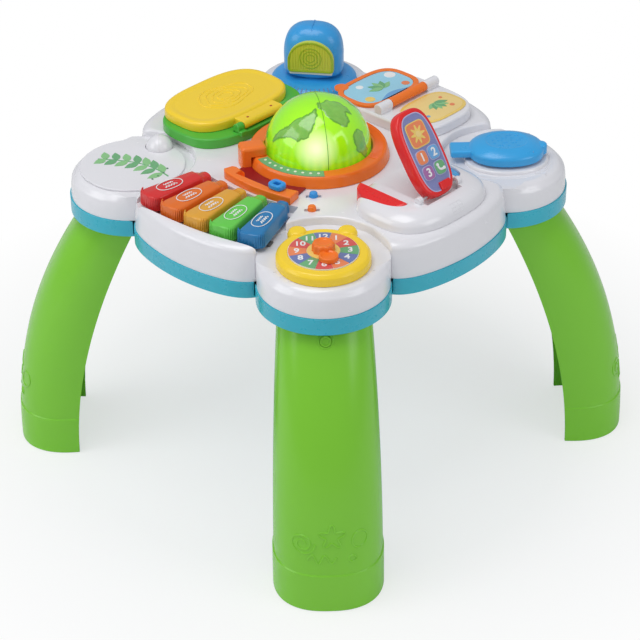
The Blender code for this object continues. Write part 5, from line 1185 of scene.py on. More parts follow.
@dataclass
class Leg:
    """One bowed green leg with a shoe, raised doodles and a round lock button."""

    bearing: Bearing
    name: str
    peg: tuple[float, float, float, float] = (0.2317, 0.026, 0.058, 0.0258)
    foot_reach: float = 0.36421
    bow: float = 0.094
    bow_power: float = 2.3
    depth: float = 0.0717
    inner_bow: float = 0.085
    inner_power: float = 1.9
    foot_width: float = 0.126
    waist: float = 0.021
    waist_power: float = 2.2
    top: float = 0.307
    wall: float = 0.0032
    shoe: float = 0.0485
    swell: float = 0.0012
    lock_height: float = 0.2955
    steps: int = 56

    def reach(self, height: float) -> float:
        """How far out the leg's face stands at a height."""
        return self.foot_reach - self.bow * (height / self.top) ** self.bow_power

    def inner(self, height: float) -> float:
        """How far out the leg's open side stands at a height."""
        return self.foot_reach - self.depth - self.inner_bow * (height / self.top) ** self.inner_power

    def half(self, height: float) -> float:
        """Half the leg's width at a height."""
        return (self.foot_width - self.waist * (height / self.top) ** self.waist_power) / 2

    def line(self, height: float, offset: float) -> list[Vector]:
        """One line of the leg's section.

        Args:
            height: Its height.
            offset: How far it stands outside the leg's own face.

        Returns:
            The points, from one edge to the other.
        """
        inner, half = self.inner(height), self.half(height)
        depth = self.reach(height) - inner
        points = []
        for index in range(self.steps + 1):
            angle = math.pi * (index / self.steps - 0.5)
            out = abs(math.cos(angle)) ** 0.8
            side = wave(math.sin(angle), 0.8)
            tuck = 1 - 0.05 * (1 - out) ** 2
            points.append(Vector((inner + (depth + offset) * out, (half + offset) * side * tuck, height)))
        return points

    def face(self, across: float, height: float) -> Vector:
        """The spot on the leg's outer face at a place across and up it.

        Args:
            across: The place across, in metres from the middle.
            height: The height.

        Returns:
            The spot.
        """
        side = min(1.0, abs(across) / self.half(height)) ** 1.25
        out = (1 - side * side) ** 0.4
        inner = self.inner(height)
        swell = self.swell if height < self.shoe else 0
        return Vector((inner + (self.reach(height) - inner + swell) * out, across, height))

    def facing(self, across: float, height: float) -> Vector:
        """The face's outward normal at a place.

        Args:
            across: The place across.
            height: The height.

        Returns:
            The normal.
        """
        small = 0.002
        along = self.face(across + small, height) - self.face(across - small, height)
        rise = self.face(across, height + small) - self.face(across, height - small)
        return along.cross(rise).normalized()

    def doodle(self, path: Sequence[Spot], centre: Spot, closed: bool = False) -> Shape:
        """A raised line on the leg's face.

        Args:
            path: The line, across and up from the centre.
            centre: Its middle, across and up the leg.
            closed: Whether the line is a loop.

        Returns:
            The shape.
        """
        spots = [self.face(centre[0] + x, centre[1] + z) for x, z in path]
        return stroke(spots, 0.0013, 0.0009, self.facing(*centre), closed)

    def doodles(self) -> list[Shape]:
        """A spiral, a star, an oval, a zigzag and an open ring, above the shoe's edge.

        Returns:
            The shapes.
        """
        spiral = [on_circle(0.0030 + 0.0105 * step / 60, 0.21 * step) for step in range(61)]
        zigzag = smooth_line([(-0.016, 0.000), (-0.010, 0.007), (-0.004, -0.004), (0.003, 0.007), (0.010, -0.003),
                              (0.016, 0.004)])
        return [
            self.doodle(spiral, (-0.0290, 0.0870)),
            self.doodle(star(0.0150, 0.0068, 5, (0, 0), math.pi / 2), (0.0030, 0.0960), closed=True),
            self.doodle(oval(0.0080, 0.0100, 2, 40), (0.0330, 0.0900), closed=True),
            self.doodle(zigzag, (-0.0080, 0.0670)),
            self.doodle(arc((0, 0), 0.0040, 0, math.tau * 0.96, 24), (0.0250, 0.0680)),
        ]

    def lock(self) -> tuple[Shape, Matrix]:
        """The lock button and its place.

        Returns:
            The shape, with its axis along Z, and its place in the leg's frame.
        """
        radius, flange, proud = 0.0062, 0.0085, 0.0016
        low, step = -0.0062, -0.0047
        profile = rounded([(0, low, 0), (flange, low, 0), (flange, step, 0), (radius, step, 0),
                           (radius, proud, 0.0008), (radius - 0.0016, proud, 0.0006),
                           (radius - 0.0024, proud - 0.0008, 0.0004), (0, proud - 0.0003, 0)], closed=False)
        height = self.lock_height
        slope = self.bow * self.bow_power / self.top * (height / self.top) ** (self.bow_power - 1)
        turn = Vector((1, 0, slope)).to_track_quat("Z", "Y").to_matrix().to_4x4()
        return revolve(profile, 48), Matrix.Translation((self.reach(height), 0, height)) @ turn

    def build(self) -> None:
        """Makes the leg and its lock."""
        step, count = 0.0012, 44
        heights = [0.0, 0.0008, 0.003, *(self.shoe * share for share in (0.25, 0.5, 0.75)), self.shoe - step,
                   self.shoe - step / 2, self.shoe]
        heights += [self.shoe + (self.top - self.shoe) * (index + 1) / count for index in range(count)]
        rings = []
        for height in heights:
            rise = min(1.0, max(0.0, (self.shoe - height) / step))
            foot = 0.0008 if height == 0 else 0.0
            outer = self.line(height, self.swell * rise - foot)
            rings.append(outer + list(reversed(self.line(height, -self.wall))))
        body = loft(rings)
        lock, place = self.lock()
        hole = 0.0066
        seat = bar(hole, (0, 0, -0.0090), (0, 0, 0.0040))
        bmesh.ops.transform(seat, matrix=place, verts=seat.verts)
        body = combine(body, [seat])
        made = Piece(self.name, self.bearing.turn).add(body, LEG_GREEN)
        low, high = self.top - 0.0035, self.top
        made.add(loft([self.line(low, -self.wall / 2), self.line(high, -self.wall / 2)]), LEG_GREEN)
        reach, *size = self.peg
        made.add(box(size, (reach, 0, self.top + 0.0111), 0.0008), LEG_GREEN)
        made.add_all(self.doodles(), LEG_GREEN)
        collar = revolve(rounded([(hole, -0.0010, 0), (hole, 0.0006, 0.0003), (0.0082, 0.0006, 0.0004),
                                  (0.0088, -0.0010, 0)]), 48)
        made.add(collar, LEG_GREEN, place)
        made.done("table", self.name.replace("green_", ""), crease=32, weighted=True)
        button = Piece(self.name.replace("green_leg", "lock_button"), self.bearing.turn)
        button.add(lock, LEG_GREEN, place)
        node = self.name.replace("green_leg", "leg_lock")
        button.done(node, node)


@dataclass
class Keys:
    """The five glittering marker keys in their fanned well."""

    centre: Spot = (0.0750, 0.1160)
    facing: float = math.radians(231.5)
    step: float = math.radians(5.9948)
    near: float = 0.346
    shoulder: float = 0.2738
    tip: float = 0.2580
    near_half: float = 0.01625
    shoulder_half: float = 0.012475
    tip_half: float = 0.007485
    low: float = 0.36156
    top: float = 0.37896
    margin: float = 0.003
    depth: float = 0.0095
    end_length: float = 0.0100
    finishes: tuple[Moulded, ...] = (KEY_RED, KEY_ORANGE, KEY_AMBER, KEY_GREEN, KEY_BLUE)

    def bearing(self, index: int) -> float:
        """A key's own bearing from the fan's centre."""
        return self.facing + self.step * (index - 2)

    def well(self, more: float) -> Shape:
        """The cutter for the keys' well.

        Args:
            more: How much wider and deeper than the well itself.

        Returns:
            The shape.
        """
        inner, outer = self.tip - self.margin - more, self.near + self.margin + more
        spread = self.step / 2 + (self.margin + more) / self.near
        start, end = self.bearing(0) - spread, self.bearing(4) + spread
        outline = arc(self.centre, outer, start, end, 40) + arc(self.centre, inner, end, start, 40)
        return plate(outline, PLAN.deck - self.depth - more, PLAN.deck + 0.01 + more)

    def section(self, along: float, half: float, top: float, squeeze: float) -> list[Vector]:
        """One section across a key.

        Args:
            along: Its distance from the fan's centre.
            half: Half its width.
            top: Its top's height.
            squeeze: Half the top's width as a share of the foot's.

        Returns:
            The ring.
        """
        high, crown = half * squeeze, min(0.0045, (top - self.low) * 0.45)
        corners = [(-half, self.low, 0.0006), (half, self.low, 0.0006), (half, self.low + 0.003, 0.002),
                   (high, top - crown * 0.25, crown * 0.8), (0, top + 0.0002, 0.012),
                   (-high, top - crown * 0.25, crown * 0.8), (-half, self.low + 0.003, 0.002)]
        return [Vector((along, x, z)) for x, z in rounded(corners, steps=5)]

    def body(self) -> Shape:
        """A key's clear barrel.

        Returns:
            The shape, along +X from the fan's centre.
        """
        tip, shoulder, near = self.tip, self.shoulder, self.near
        stops = smooth_line([
            (tip, self.tip_half * 0.70, 0.3720, 0.80), (tip + 0.0012, self.tip_half * 0.92, 0.3738, 0.82),
            (tip + 0.0035, self.tip_half, 0.3745, 0.84), (tip + 0.0085, self.tip_half, 0.3748, 0.84),
            (tip + 0.0100, self.tip_half * 1.22, 0.3756, 0.82),
            (shoulder - 0.0020, self.shoulder_half * 0.86, 0.3768, 0.78),
            (shoulder, self.shoulder_half * 0.97, 0.3780, 0.80),
            (shoulder + 0.0030, self.shoulder_half, 0.3787, 0.82),
            (shoulder + 0.0200, self.shoulder_half + 0.0010, self.top - 0.0002, 0.84),
            (near - 0.0300, self.near_half - 0.0017, self.top - 0.0002, 0.85),
        ], 3)
        for turn in (90, 78, 66, 55, 45, 36, 28, 21):
            along, half = self.end_spot(math.radians(turn))
            stops.append((along, half, self.top - 0.0003 - 0.0011 * math.cos(math.radians(turn)) ** 3, 0.86))
        return loft([self.section(*stop) for stop in stops])

    def end_spot(self, turn: float) -> Spot:
        """A spot on the round near end, seen from above.

        Args:
            turn: Its angle from the key's own line.

        Returns:
            How far along and across it lies.
        """
        along = self.near - self.end_length * (1 - abs(math.cos(turn)) ** 0.80)
        across = math.copysign(abs(math.sin(turn)) ** 0.80, turn) * (self.near_half - 0.0003)
        return along, across

    def flutes(self) -> list[Shape]:
        """The upright ribs round a key's near end.

        Returns:
            The shapes.
        """
        ribs = []
        for index in range(15):
            turn = math.radians(11.5) * (index - 7)
            along, across = self.end_spot(turn)
            if abs(index - 7) < 2:
                along = self.end_spot(math.radians(21))[0]
            stops = ((-0.0002, self.low + 0.0006), (0.0, 0.3665), (0.0004, 0.3715), (0.0012, 0.3752),
                     (0.0040, 0.3778))
            path = [(along - pull * math.cos(turn), across * (1 - 4 * pull), height) for pull, height in stops]
            ribs.append(stroke(smooth_line(path, 3), 0.0008, 0.0008, (math.cos(turn), math.sin(turn), 0.3)))
        return ribs

    def label(self) -> list[Shape]:
        """The white oval line and the two wavy lines inside it.

        Returns:
            The shapes.
        """
        middle, height = self.near - 0.0335, self.top + 0.00005
        ring = [(x, y, height - abs(y) * 0.022) for x, y in oval(0.0163, 0.0090, 2.3, 56, (middle, 0))]
        shapes = [stroke(ring, 0.00050, 0.00035, closed=True)]
        for across, reach, swing, beats in ((0.0026, 0.0080, 0.0016, 9.0), (-0.0028, 0.0062, 0.0011, 8.0)):
            wavy = [(middle + reach * (2 * share - 1), across + swing * math.sin(share * beats * math.pi), height)
                    for share in (step / 60 for step in range(61))]
            shapes.append(stroke(wavy, 0.00045, 0.00030))
        return shapes

    def build(self) -> None:
        """Makes the five keys."""
        for index, finish in enumerate(self.finishes):
            place = Matrix.Translation((*self.centre, 0)) @ Matrix.Rotation(self.bearing(index), 4, "Z")
            made = Piece(f"marker_key_{index + 1}", place).add(self.body(), finish)
            made.add_all(self.flutes(), finish).add_all(self.label(), INK_WHITE)
            made.done(f"key_{index + 1}", f"key_{index + 1}", crease=45)


@dataclass
class Globe:
    """The lit clear dome with its land, and the orange ring that it turns in."""

    radius: float = 0.0604
    centre: float = 0.3796
    skirt: float = 0.006
    wall: float = 0.0025
    ring_inner: float = 0.0620
    ring_outer: float = 0.0785
    ring_foot: float = 0.0815
    ring_top: float = 0.3810
    rim: float = 0.003
    lands: tuple[tuple[Spot, ...], ...] = (
        ((-154, 19), (-150, 31), (-138, 43), (-128, 55), (-112, 61), (-98, 70), (-95, 60), (-98, 47), (-104, 35),
         (-118, 31), (-131, 32), (-143, 27)),
        ((-92, 80), (-30, 79), (-14, 70), (-13, 58), (-20, 50), (-29, 54), (-39, 44), (-50, 42), (-57, 48),
         (-65, 55), (-77, 66), (-88, 72)),
        ((-43, 28), (-31, 34), (-25, 28), (-28, 16), (-24, 6), (-30, 0), (-37, 6), (-44, 15)),
        ((10, 52), (34, 60), (58, 55), (66, 40), (52, 28), (40, 12), (28, 20), (16, 34)),
        ((92, 66), (128, 62), (150, 48), (138, 36), (118, 40), (104, 26), (90, 34), (84, 50)),
        ((160, 22), (176, 28), (188, 16), (178, 6), (164, 8)),
    )

    def land_at(self, place: Vector) -> float:
        """How far inside the land a spot on the dome is.

        Args:
            place: The spot, from the dome's middle.

        Returns:
            0.5 on a shore, more inland and less at sea.
        """
        lon = math.degrees(math.atan2(place.y, place.x))
        lat = math.degrees(math.asin(max(-1, min(1, place.normalized().z))))
        best = -20.0
        for land in self.lands:
            middle = sum(x for x, _ in land) / len(land)
            here = middle + (lon - middle + 180) % 360 - 180
            narrow = math.cos(math.radians(min(lat, 80)))
            inside, near = False, 1e9
            for (x1, y1), (x2, y2) in zip(land, land[1:] + land[:1]):
                if (y1 > lat) != (y2 > lat) and here < x1 + (lat - y1) * (x2 - x1) / (y2 - y1):
                    inside = not inside
                ax, ay, bx, by = (x1 - here) * narrow, y1 - lat, (x2 - here) * narrow, y2 - lat
                run = (bx - ax) ** 2 + (by - ay) ** 2
                share = max(0.0, min(1.0, -(ax * (bx - ax) + ay * (by - ay)) / run))
                near = min(near, math.hypot(ax + share * (bx - ax), ay + share * (by - ay)))
            best = max(best, near if inside else -near)
        ragged = 2.2 * noise.noise(place.normalized() * 9) + 1.2 * noise.noise(place.normalized() * 22)
        return 0.5 + (best + ragged) / 12

    def dome(self) -> Shape:
        """The dome with raised land.

        Returns:
            The shape, carrying the land and rib values of each point.
        """
        rings = 56
        outer = [(max(0.0, x), self.centre + z) for x, z in arc((0, 0), self.radius, math.pi / 2, 0, rings)]
        inner = self.radius - self.wall
        inside = [(max(0.0, x), self.centre + z) for x, z in arc((0, 0), inner, 0, math.pi / 2, 20)]
        foot = self.centre - self.skirt
        shape = revolve([*outer, (self.radius, foot), (inner, foot), *inside], 160)
        land_layer = shape.verts.layers.float.new("land")
        rib_layer = shape.verts.layers.float.new("rib")
        middle = Vector((0, 0, self.centre))
        for vert in shape.verts:
            spot = vert.co - middle
            if spot.length < self.radius - self.wall / 2:
                continue
            land = self.land_at(spot)
            vert[land_layer] = land
            bearing = math.atan2(spot.y, spot.x)
            rib = 0.5 + 0.5 * math.cos(bearing * 40)
            low = max(0.0, 1 - spot.z / (self.radius * 0.55))
            vert[rib_layer] = rib * low if land < 0.5 else 0.0
            if spot.z > 0:
                rise = min(1.0, max(0.0, (land - 0.44) / 0.12))
                vert.co = middle + spot * (1 + (0.0005 * rise - 0.0003) / self.radius)
        return shape

    def parting(self) -> Shape:
        """The fine line over the dome where its halves meet.

        Returns:
            The shape.
        """
        bearing = math.radians(-80.3)
        path = []
        for step in range(49):
            out, height = on_circle(self.radius + 0.0001, math.pi * step / 48, (0.0, self.centre))
            path.append((*on_circle(out, bearing), height))
        return stroke(path, 0.00045, 0.00030, (math.sin(-bearing), math.cos(bearing), 0))

    def ring(self) -> Shape:
        """The orange ring round the dome.

        Returns:
            The shape.
        """
        base = PLAN.deck + GAP
        profile = rounded([
            (self.ring_inner, base, 0), (self.ring_inner, self.ring_top - 0.0006, 0.0012),
            (self.ring_outer - self.rim * 0.6, self.ring_top - 0.0004, 0.0028),
            (self.ring_outer, self.ring_top - self.rim, 0.0030),
            (self.ring_foot, base, 0.0006)], steps=8)
        return revolve(profile, 160)

    def build(self) -> None:
        """Makes the dome and its ring."""
        dome = Piece("lit_globe").add(self.dome(), LIME).add(self.parting(), LIME_LINE)
        dome.done("globe", "globe_dome", crease=70)
        ring = Piece("orange_ring").add(self.ring(), ORANGE)
        for index in range(44):
            angle = math.radians(-30 + 2.15 * index)
            path = [(*on_circle(radius, angle), height) for radius, height in
                    ((0.0645, 0.38050), (0.0740, 0.38045), (0.0770, 0.37935), (0.0786, 0.37700))]
            ring.add(stroke(smooth_line(path, 3), 0.0007, 0.0011), ORANGE)
        start, end = math.radians(-154), math.radians(-86)
        height = self.ring_top - 0.0006
        band = arc((0, 0), 0.0762, start, end, 48) + arc((0, 0), 0.0640, end, start, 48)
        ring.add(plate(band, height, height + 0.0009, 0.0003), INK_GREEN)
        for index in range(9):
            angle = start + (end - start) * (index + 0.7) / 9.4
            dot = stud(0.0017, on_circle(0.0701, angle), 0, 0.0006, 0.0003, 20)
            ring.add(dot, PALE, Matrix.Translation((0, 0, height + 0.0007)))
        ring.done("table", "globe_ring", crease=40)


@dataclass(frozen=True)
class Switch:
    """A small sliding knob in its slot."""

    node: str
    place: Spot
    finish: Moulded
    slot: Spot = (0.0170, 0.0050)
    radius: float = 0.0050
    height: float = 0.0055

    def build(self) -> None:
        """Makes the knob with grip lines."""
        low = PLAN.deck + GAP
        profile = rounded([(0, low + self.height, 0), (self.radius * 0.85, low + self.height * 0.92, 0.0016),
                           (self.radius, low, 0), (0, low, 0)], False)
        made = Piece(f"{self.node}_knob").add(revolve(profile, 40, self.place), self.finish)
        for shift in (-0.0016, 0.0, 0.0016):
            x, y = self.place[0] + shift, self.place[1]
            path = [(x, y - 0.0030, low + self.height * 0.93), (x, y + 0.0030, low + self.height * 0.93)]
            made.add(stroke(path, 0.0004, 0.0004), self.finish)
        made.add(box((0.009, 0.0036, 0.0070), (*self.place, PLAN.deck - 0.0020)), self.finish)
        made.done(self.node, self.node)


SWITCHES = (Switch("mode_switch", (-0.0077, -0.0960), BLUE), Switch("volume_switch", (-0.0101, -0.1260), ORANGE))


def hoop(outer: Sequence[Spot], inner: Sequence[Spot], low: float, high: float, edge: float) -> Shape:
    """A closed band between two outlines with rounded edges.

    Args:
        outer: The outer outline.
        inner: The inner outline, with as many points.
        low: The underside.
        high: The top.
        edge: The rounding.

    Returns:
        The shape.
    """
    rings = []
    for (x1, y1), (x2, y2) in zip(outer, inner):
        width = math.hypot(x2 - x1, y2 - y1)
        section = rounded([(0, low, edge), (width, low, edge), (width, high, edge), (0, high, edge)], steps=4)
        rings.append([Vector((x1 + (x2 - x1) * s / width, y1 + (y2 - y1) * s / width, z)) for s, z in section])
    return loft(rings, closed=True)


@dataclass
class SliderTrack:
    """The orange bar with its groove and blue bead, the apron painted dark red as shade, and the rounded block."""

    half: float = 0.052
    edge: float = 0.1080
    width: float = 0.0180
    bow: float = 0.006
    taper: float = 0.93
    top: float = 0.3770
    floor: float = 0.3700
    groove: float = 0.1010
    groove_width: float = 0.0090
    groove_middle: float = 0.0020
    groove_length: float = 0.0662
    bead_start: float = 0.0270
    clearing: float = 0.0818
    block_size: Spot = (0.0300, 0.0220)
    block_reach: float = 0.0770
    block_turn: float = math.radians(-34)
    block_top: float = 0.3930
    cut_top: float = 0.3813

    def lines(self) -> tuple[list[Spot], list[Spot]]:
        """The bar's outer and inner edges, from its pointed end to its flared tail.

        Returns:
            The two lines.
        """
        outer, inner = [], []
        for index in range(41):
            share = index / 20 - 1
            bow = self.bow * (1 - share * share)
            narrow = min(1.0, (1 + share) / 0.16) ** 0.5
            edge = self.edge + bow
            back = edge - self.width + bow / 2
            middle = (edge + back) / 2
            outer.append((middle + (edge - middle) * narrow, self.half * share))
            inner.append((middle + (back - middle) * narrow, self.half * share * self.taper))
        return outer, inner

    def bar_shape(self) -> Shape:
        """The grooved bar.

        Returns:
            The shape.
        """
        outer, inner = self.lines()
        shape = plate(outer[1:] + list(reversed(inner[1:])), PLAN.deck + GAP, self.top, 0.0018)
        size = (self.groove_width, self.groove_length, 0.02)
        groove = box(size, (self.groove, self.groove_middle, self.floor + 0.01), 0.0012)
        return combine(shape, [groove])

    def apron(self) -> Shape:
        """The low plate between the ring and the bar, painted dark red as the shade that falls there.

        Returns:
            The shape.
        """
        _, inner = self.lines()
        near = [point for point in inner if abs(point[1]) < 0.047]
        spread = 0.044 / self.clearing
        ring = arc((0, 0), self.clearing, spread, -spread, 24)
        outline = [(x + 0.002, y) for x, y in near] + ring
        return plate(outline, PLAN.deck + GAP, self.floor - GAP, 0.0005)

    def block(self) -> Shape:
        """The raised block at the bar's end, cut back round the ring.

        Returns:
            The shape.
        """
        low, high, spare = PLAN.deck + GAP, self.block_top, 0.006
        middle = (self.block_reach, 0, (high + low - spare) / 2)
        shape = box((*self.block_size, high - low + spare), middle, 0.0045)
        turn = Matrix.Rotation(self.block_turn, 3, "Z")
        bmesh.ops.rotate(shape, verts=shape.verts, cent=(0, 0, 0), matrix=turn)
        shape = combine(shape, [bar(self.clearing, (0, 0, low - 0.02), (0, 0, self.cut_top), steps=96)])
        bmesh.ops.bisect_plane(shape, geom=shape.verts[:] + shape.edges[:] + shape.faces[:], plane_co=(0, 0, low),
                               plane_no=(0, 0, -1), clear_outer=True)
        bmesh.ops.edgeloop_fill(shape, edges=[edge for edge in shape.edges if edge.is_boundary])
        return shape

    def bead(self) -> list[Shape]:
        """The oval finger ring, its stem and the floor inside it.

        Returns:
            The shapes.
        """
        centre = (self.groove, self.bead_start)
        low, foot = self.top + GAP, self.floor + GAP
        ring = hoop(oval(0.0075, 0.0095, 3.2, 64, centre), oval(0.0034, 0.0043, 2.4, 64, centre), low,
                    low + 0.0065, 0.0020)
        stem = hoop(oval(0.0042, 0.0074, 4, 64, centre), oval(0.0033, 0.0042, 2.6, 64, centre), foot,
                    low + 0.002, 0.0004)
        return [ring, stem, plate(oval(0.0038, 0.0060, 3, 40, centre), foot, self.floor + 0.0025, 0.0003)]

    def build(self) -> None:
        """Makes the track and the bead."""
        track = Piece("orange_track", Bearing.TRACK.turn).add(self.bar_shape(), ORANGE)
        # The apron takes the painted shade; the block stays plain orange.
        track.add(self.apron(), ORANGE_PAINTED_SHADE).add(self.block(), ORANGE)
        track.done("table", "slider_track", crease=35, weighted=True)
        *walls, floor = self.bead()
        bead = Piece("blue_bead", Bearing.TRACK.turn).add_all(walls, BLUE).add(floor, INK_NAVY)
        bead.done("slider_bead", "slider_bead", crease=45)


@dataclass
class Telephone:
    """The white console, its two half-moon buttons and the telephone that lies down or stands up."""

    reach: float = 0.156
    half_length: float = 0.056
    half_width: float = 0.074
    squareness: float = 2.8
    height: float = 0.019
    hinge: Spot = (0.180, 0.389)
    tilt: float = math.radians(56)
    phone_half: Spot = (0.050, 0.0268)
    thick: float = 0.0075
    slack: float = 0.0016
    crescent_reach: float = 0.137
    crescent_offset: float = 0.041
    crescent_length: float = 0.070
    crescent_width: float = 0.0165
    crescent_low: float = 0.3696
    crescent_height: float = 0.0134
    crescent_slope: float = 0.0045

    def crescent(self, side: int, margin: float) -> list[Spot]:
        """A half moon's plan.

        Args:
            side: -1 or 1, the side of the telephone.
            margin: How much larger than the button.

        Returns:
            The points, counter-clockwise.
        """
        half, steps = self.crescent_length / 2 + margin, 36
        inner, outer = [], []
        for index in range(steps + 1):
            share = math.pi / 2 * (2 * index / steps - 1)
            along = self.crescent_reach + half * math.sin(share)
            bulge = (self.crescent_width + margin) * max(0.0, math.cos(share)) ** 0.8
            outer.append((along, side * (self.crescent_offset + bulge)))
            inner.append((along, side * (self.crescent_offset - margin)))
        points = outer + list(reversed(inner[1:-1]))
        return points if side < 0 else list(reversed(points))

    def button(self, side: int) -> Shape:
        """A half-moon button with a crowned, rounded top.

        Args:
            side: -1 for red, 1 for blue.

        Returns:
            The shape.
        """
        outline = self.crescent(side, 0)
        middle = Vector((self.crescent_reach, side * (self.crescent_offset + self.crescent_width * 0.42)))
        rings = [lift(outline, self.crescent_low)]
        for pull, drop in ((0.0, 0.0030), (0.015, 0.0014), (0.06, 0.0004), (0.14, 0.0)):
            ring = []
            for x, y in outline:
                share = (abs(y) - self.crescent_offset) / self.crescent_width
                top = self.crescent_low + self.crescent_height + self.crescent_slope * (1 - share) - drop
                spot = Vector((x, y)).lerp(middle, pull)
                ring.append(Vector((spot.x, spot.y, top)))
            rings.append(ring)
        return loft(rings)

    def grooves(self, side: int) -> list[Shape]:
        """The fine grip lines across a half-moon button's top.

        Args:
            side: -1 for red, 1 for blue.

        Returns:
            The shapes.
        """
        lines = []
        for index in range(11):
            shift = 0.0225 * (index / 5 - 1)
            along = self.crescent_reach + shift
            bulge = math.cos(math.asin(shift / (self.crescent_length / 2))) ** 0.8
            path = []
            for share in (0.22, 0.45, 0.62):
                y = self.crescent_offset + self.crescent_width * bulge * share
                drop = self.crescent_slope * (1 - bulge * share)
                path.append((along, side * y, self.crescent_low + self.crescent_height + drop))
            lines.append(stroke(path, 0.0006, 0.0005))
        return lines

    def console(self) -> Shape:
        """The console with its cradle and button wells.

        Returns:
            The shape.
        """
        base = PLAN.deck + GAP
        stops = smooth_line(((1.0, 0.0), (0.99, 0.18), (0.98, 0.36), (0.95, 0.54), (0.91, 0.68), (0.84, 0.83),
                             (0.77, 0.92), (0.68, 0.98), (0.58, 1.0)), 3)
        middle = (self.reach, 0)
        rings = [lift(oval(self.half_length * share, self.half_width * share, self.squareness, 120, middle),
                      base + self.height * rise) for share, rise in stops]
        shape = loft(rings)
        tools = []
        for side in (-1, 1):
            tools.append(plate(self.crescent(side, 0.0006), base - 0.001, base + 2 * self.height))
        axis, high = self.hinge
        width = 2 * (self.phone_half[1] + self.slack)
        floor = high - self.thick - 0.0008
        start = self.reach - self.half_length - 0.002
        swing = math.hypot(0.006, self.thick) + 0.0008
        cradle = box((axis - start, width, self.height), ((axis + start) / 2, 0, floor + self.height / 2))
        sweep = bar(swing, (axis, -width / 2, high), (axis, width / 2, high), steps=64)
        tools.append(combine(cradle, [sweep], "UNION"))
        return combine(shape, tools)

    def extras(self) -> list[Shape]:
        """The ears of the hinge and the peg.

        Returns:
            The shapes.
        """
        reach, height = self.hinge
        shapes = []
        for side in (-1, 1):
            start = side * (self.phone_half[1] + self.slack - GAP)
            end = start + side * 0.006
            shapes.append(bar(0.0045, (reach, start, height), (reach, end, height), 0.0008))
            low = PLAN.deck + self.height / 2
            middle = (reach, (start + end) / 2, (height + low) / 2)
            shapes.append(box((0.0081, 0.0054, height - low), middle, 0.0005))
        low, top = PLAN.deck + 0.002, PLAN.deck + 0.025
        peg = rounded([(0, top, 0), (0.0040, top, 0.0036), (0.0043, low, 0), (0, low, 0)], False, 8)
        shapes.append(revolve(peg, 40, (0.123, 0.060)))
        return shapes

    def grid(self) -> list[Shape]:
        """The embossed grid on the console's outer slope, below the telephone.

        Returns:
            The shapes.
        """
        shapes = []
        base = PLAN.deck + GAP
        slope = ((0.975, 0.36), (0.948, 0.54), (0.908, 0.68), (0.838, 0.83))
        for index in range(4):
            y = -0.0085 + 0.0057 * index
            path = [(self.reach + self.half_length * share, y, base + self.height * rise) for share, rise in slope]
            shapes.append(stroke(smooth_line(path, 3), 0.0005, 0.0004, (1, 0, 0.8)))
        for share, rise in slope:
            path = [(self.reach + self.half_length * share, y, base + self.height * rise)
                    for y in (-0.0085, -0.003, 0.003, 0.0086)]
            shapes.append(stroke(path, 0.0005, 0.0004, (1, 0, 0.8)))
        return shapes

    def phone_place(self) -> Matrix:
        """The telephone's frame: +X runs up along it and +Z out of its face."""
        turn = Matrix.Rotation(math.pi, 4, "Z") @ Matrix.Rotation(-self.tilt, 4, "Y")
        return Bearing.PHONE.turn @ Matrix.Translation((self.hinge[0], 0, self.hinge[1])) @ turn

    def phone(self) -> Piece:
        """The telephone with its plate, picture, buttons and handset.

        Returns:
            The piece.
        """
        half, wide = self.phone_half
        middle = half - 0.006
        centre = (middle, 0)
        made = Piece("red_phone", self.phone_place())
        rings = []
        for inset, height in smooth_line(((0.0034, -self.thick), (0.0010, -self.thick + 0.0010),
                                          (0.0, -self.thick + 0.0040), (0.0, self.thick - 0.0040),
                                          (0.0012, self.thick - 0.0010), (0.0040, self.thick)), 4):
            rings.append(lift(oval(half - inset, wide - inset, 3.2, 112, centre), height))
        made.add(loft(rings), RED)
        floor = self.thick - 0.0004
        made.add(plate(oval(half - 0.0055, wide - 0.0055, 3.2, 96, centre), floor - 0.001, floor + 0.0005, 0.0003),
                 INDIGO)
        rim = [(x, y, floor + 0.0004) for x, y in oval(half - 0.0058, wide - 0.0058, 3.2, 96, centre)]
        made.add(stroke(rim, 0.0007, 0.0005, closed=True), FACE_RIM)
        self.face_art(made, floor + 0.0004, middle)
        return made

    def badge(self, made: Piece, spot: Spot, low: float, finish: Moulded) -> None:
        """Adds one printed button on its pale rim.

        Args:
            made: The telephone.
            spot: The button's middle.
            low: The plate's top.
            finish: The button's ink.
        """
        for half, height, edge, ink in ((0.0083, 0.0008, 0.0003, FACE_RIM), (0.0074, 0.0016, 0.0006, finish)):
            made.add(plate(oval(half, half, 3.2, 48, spot), low, low + height, edge), ink)

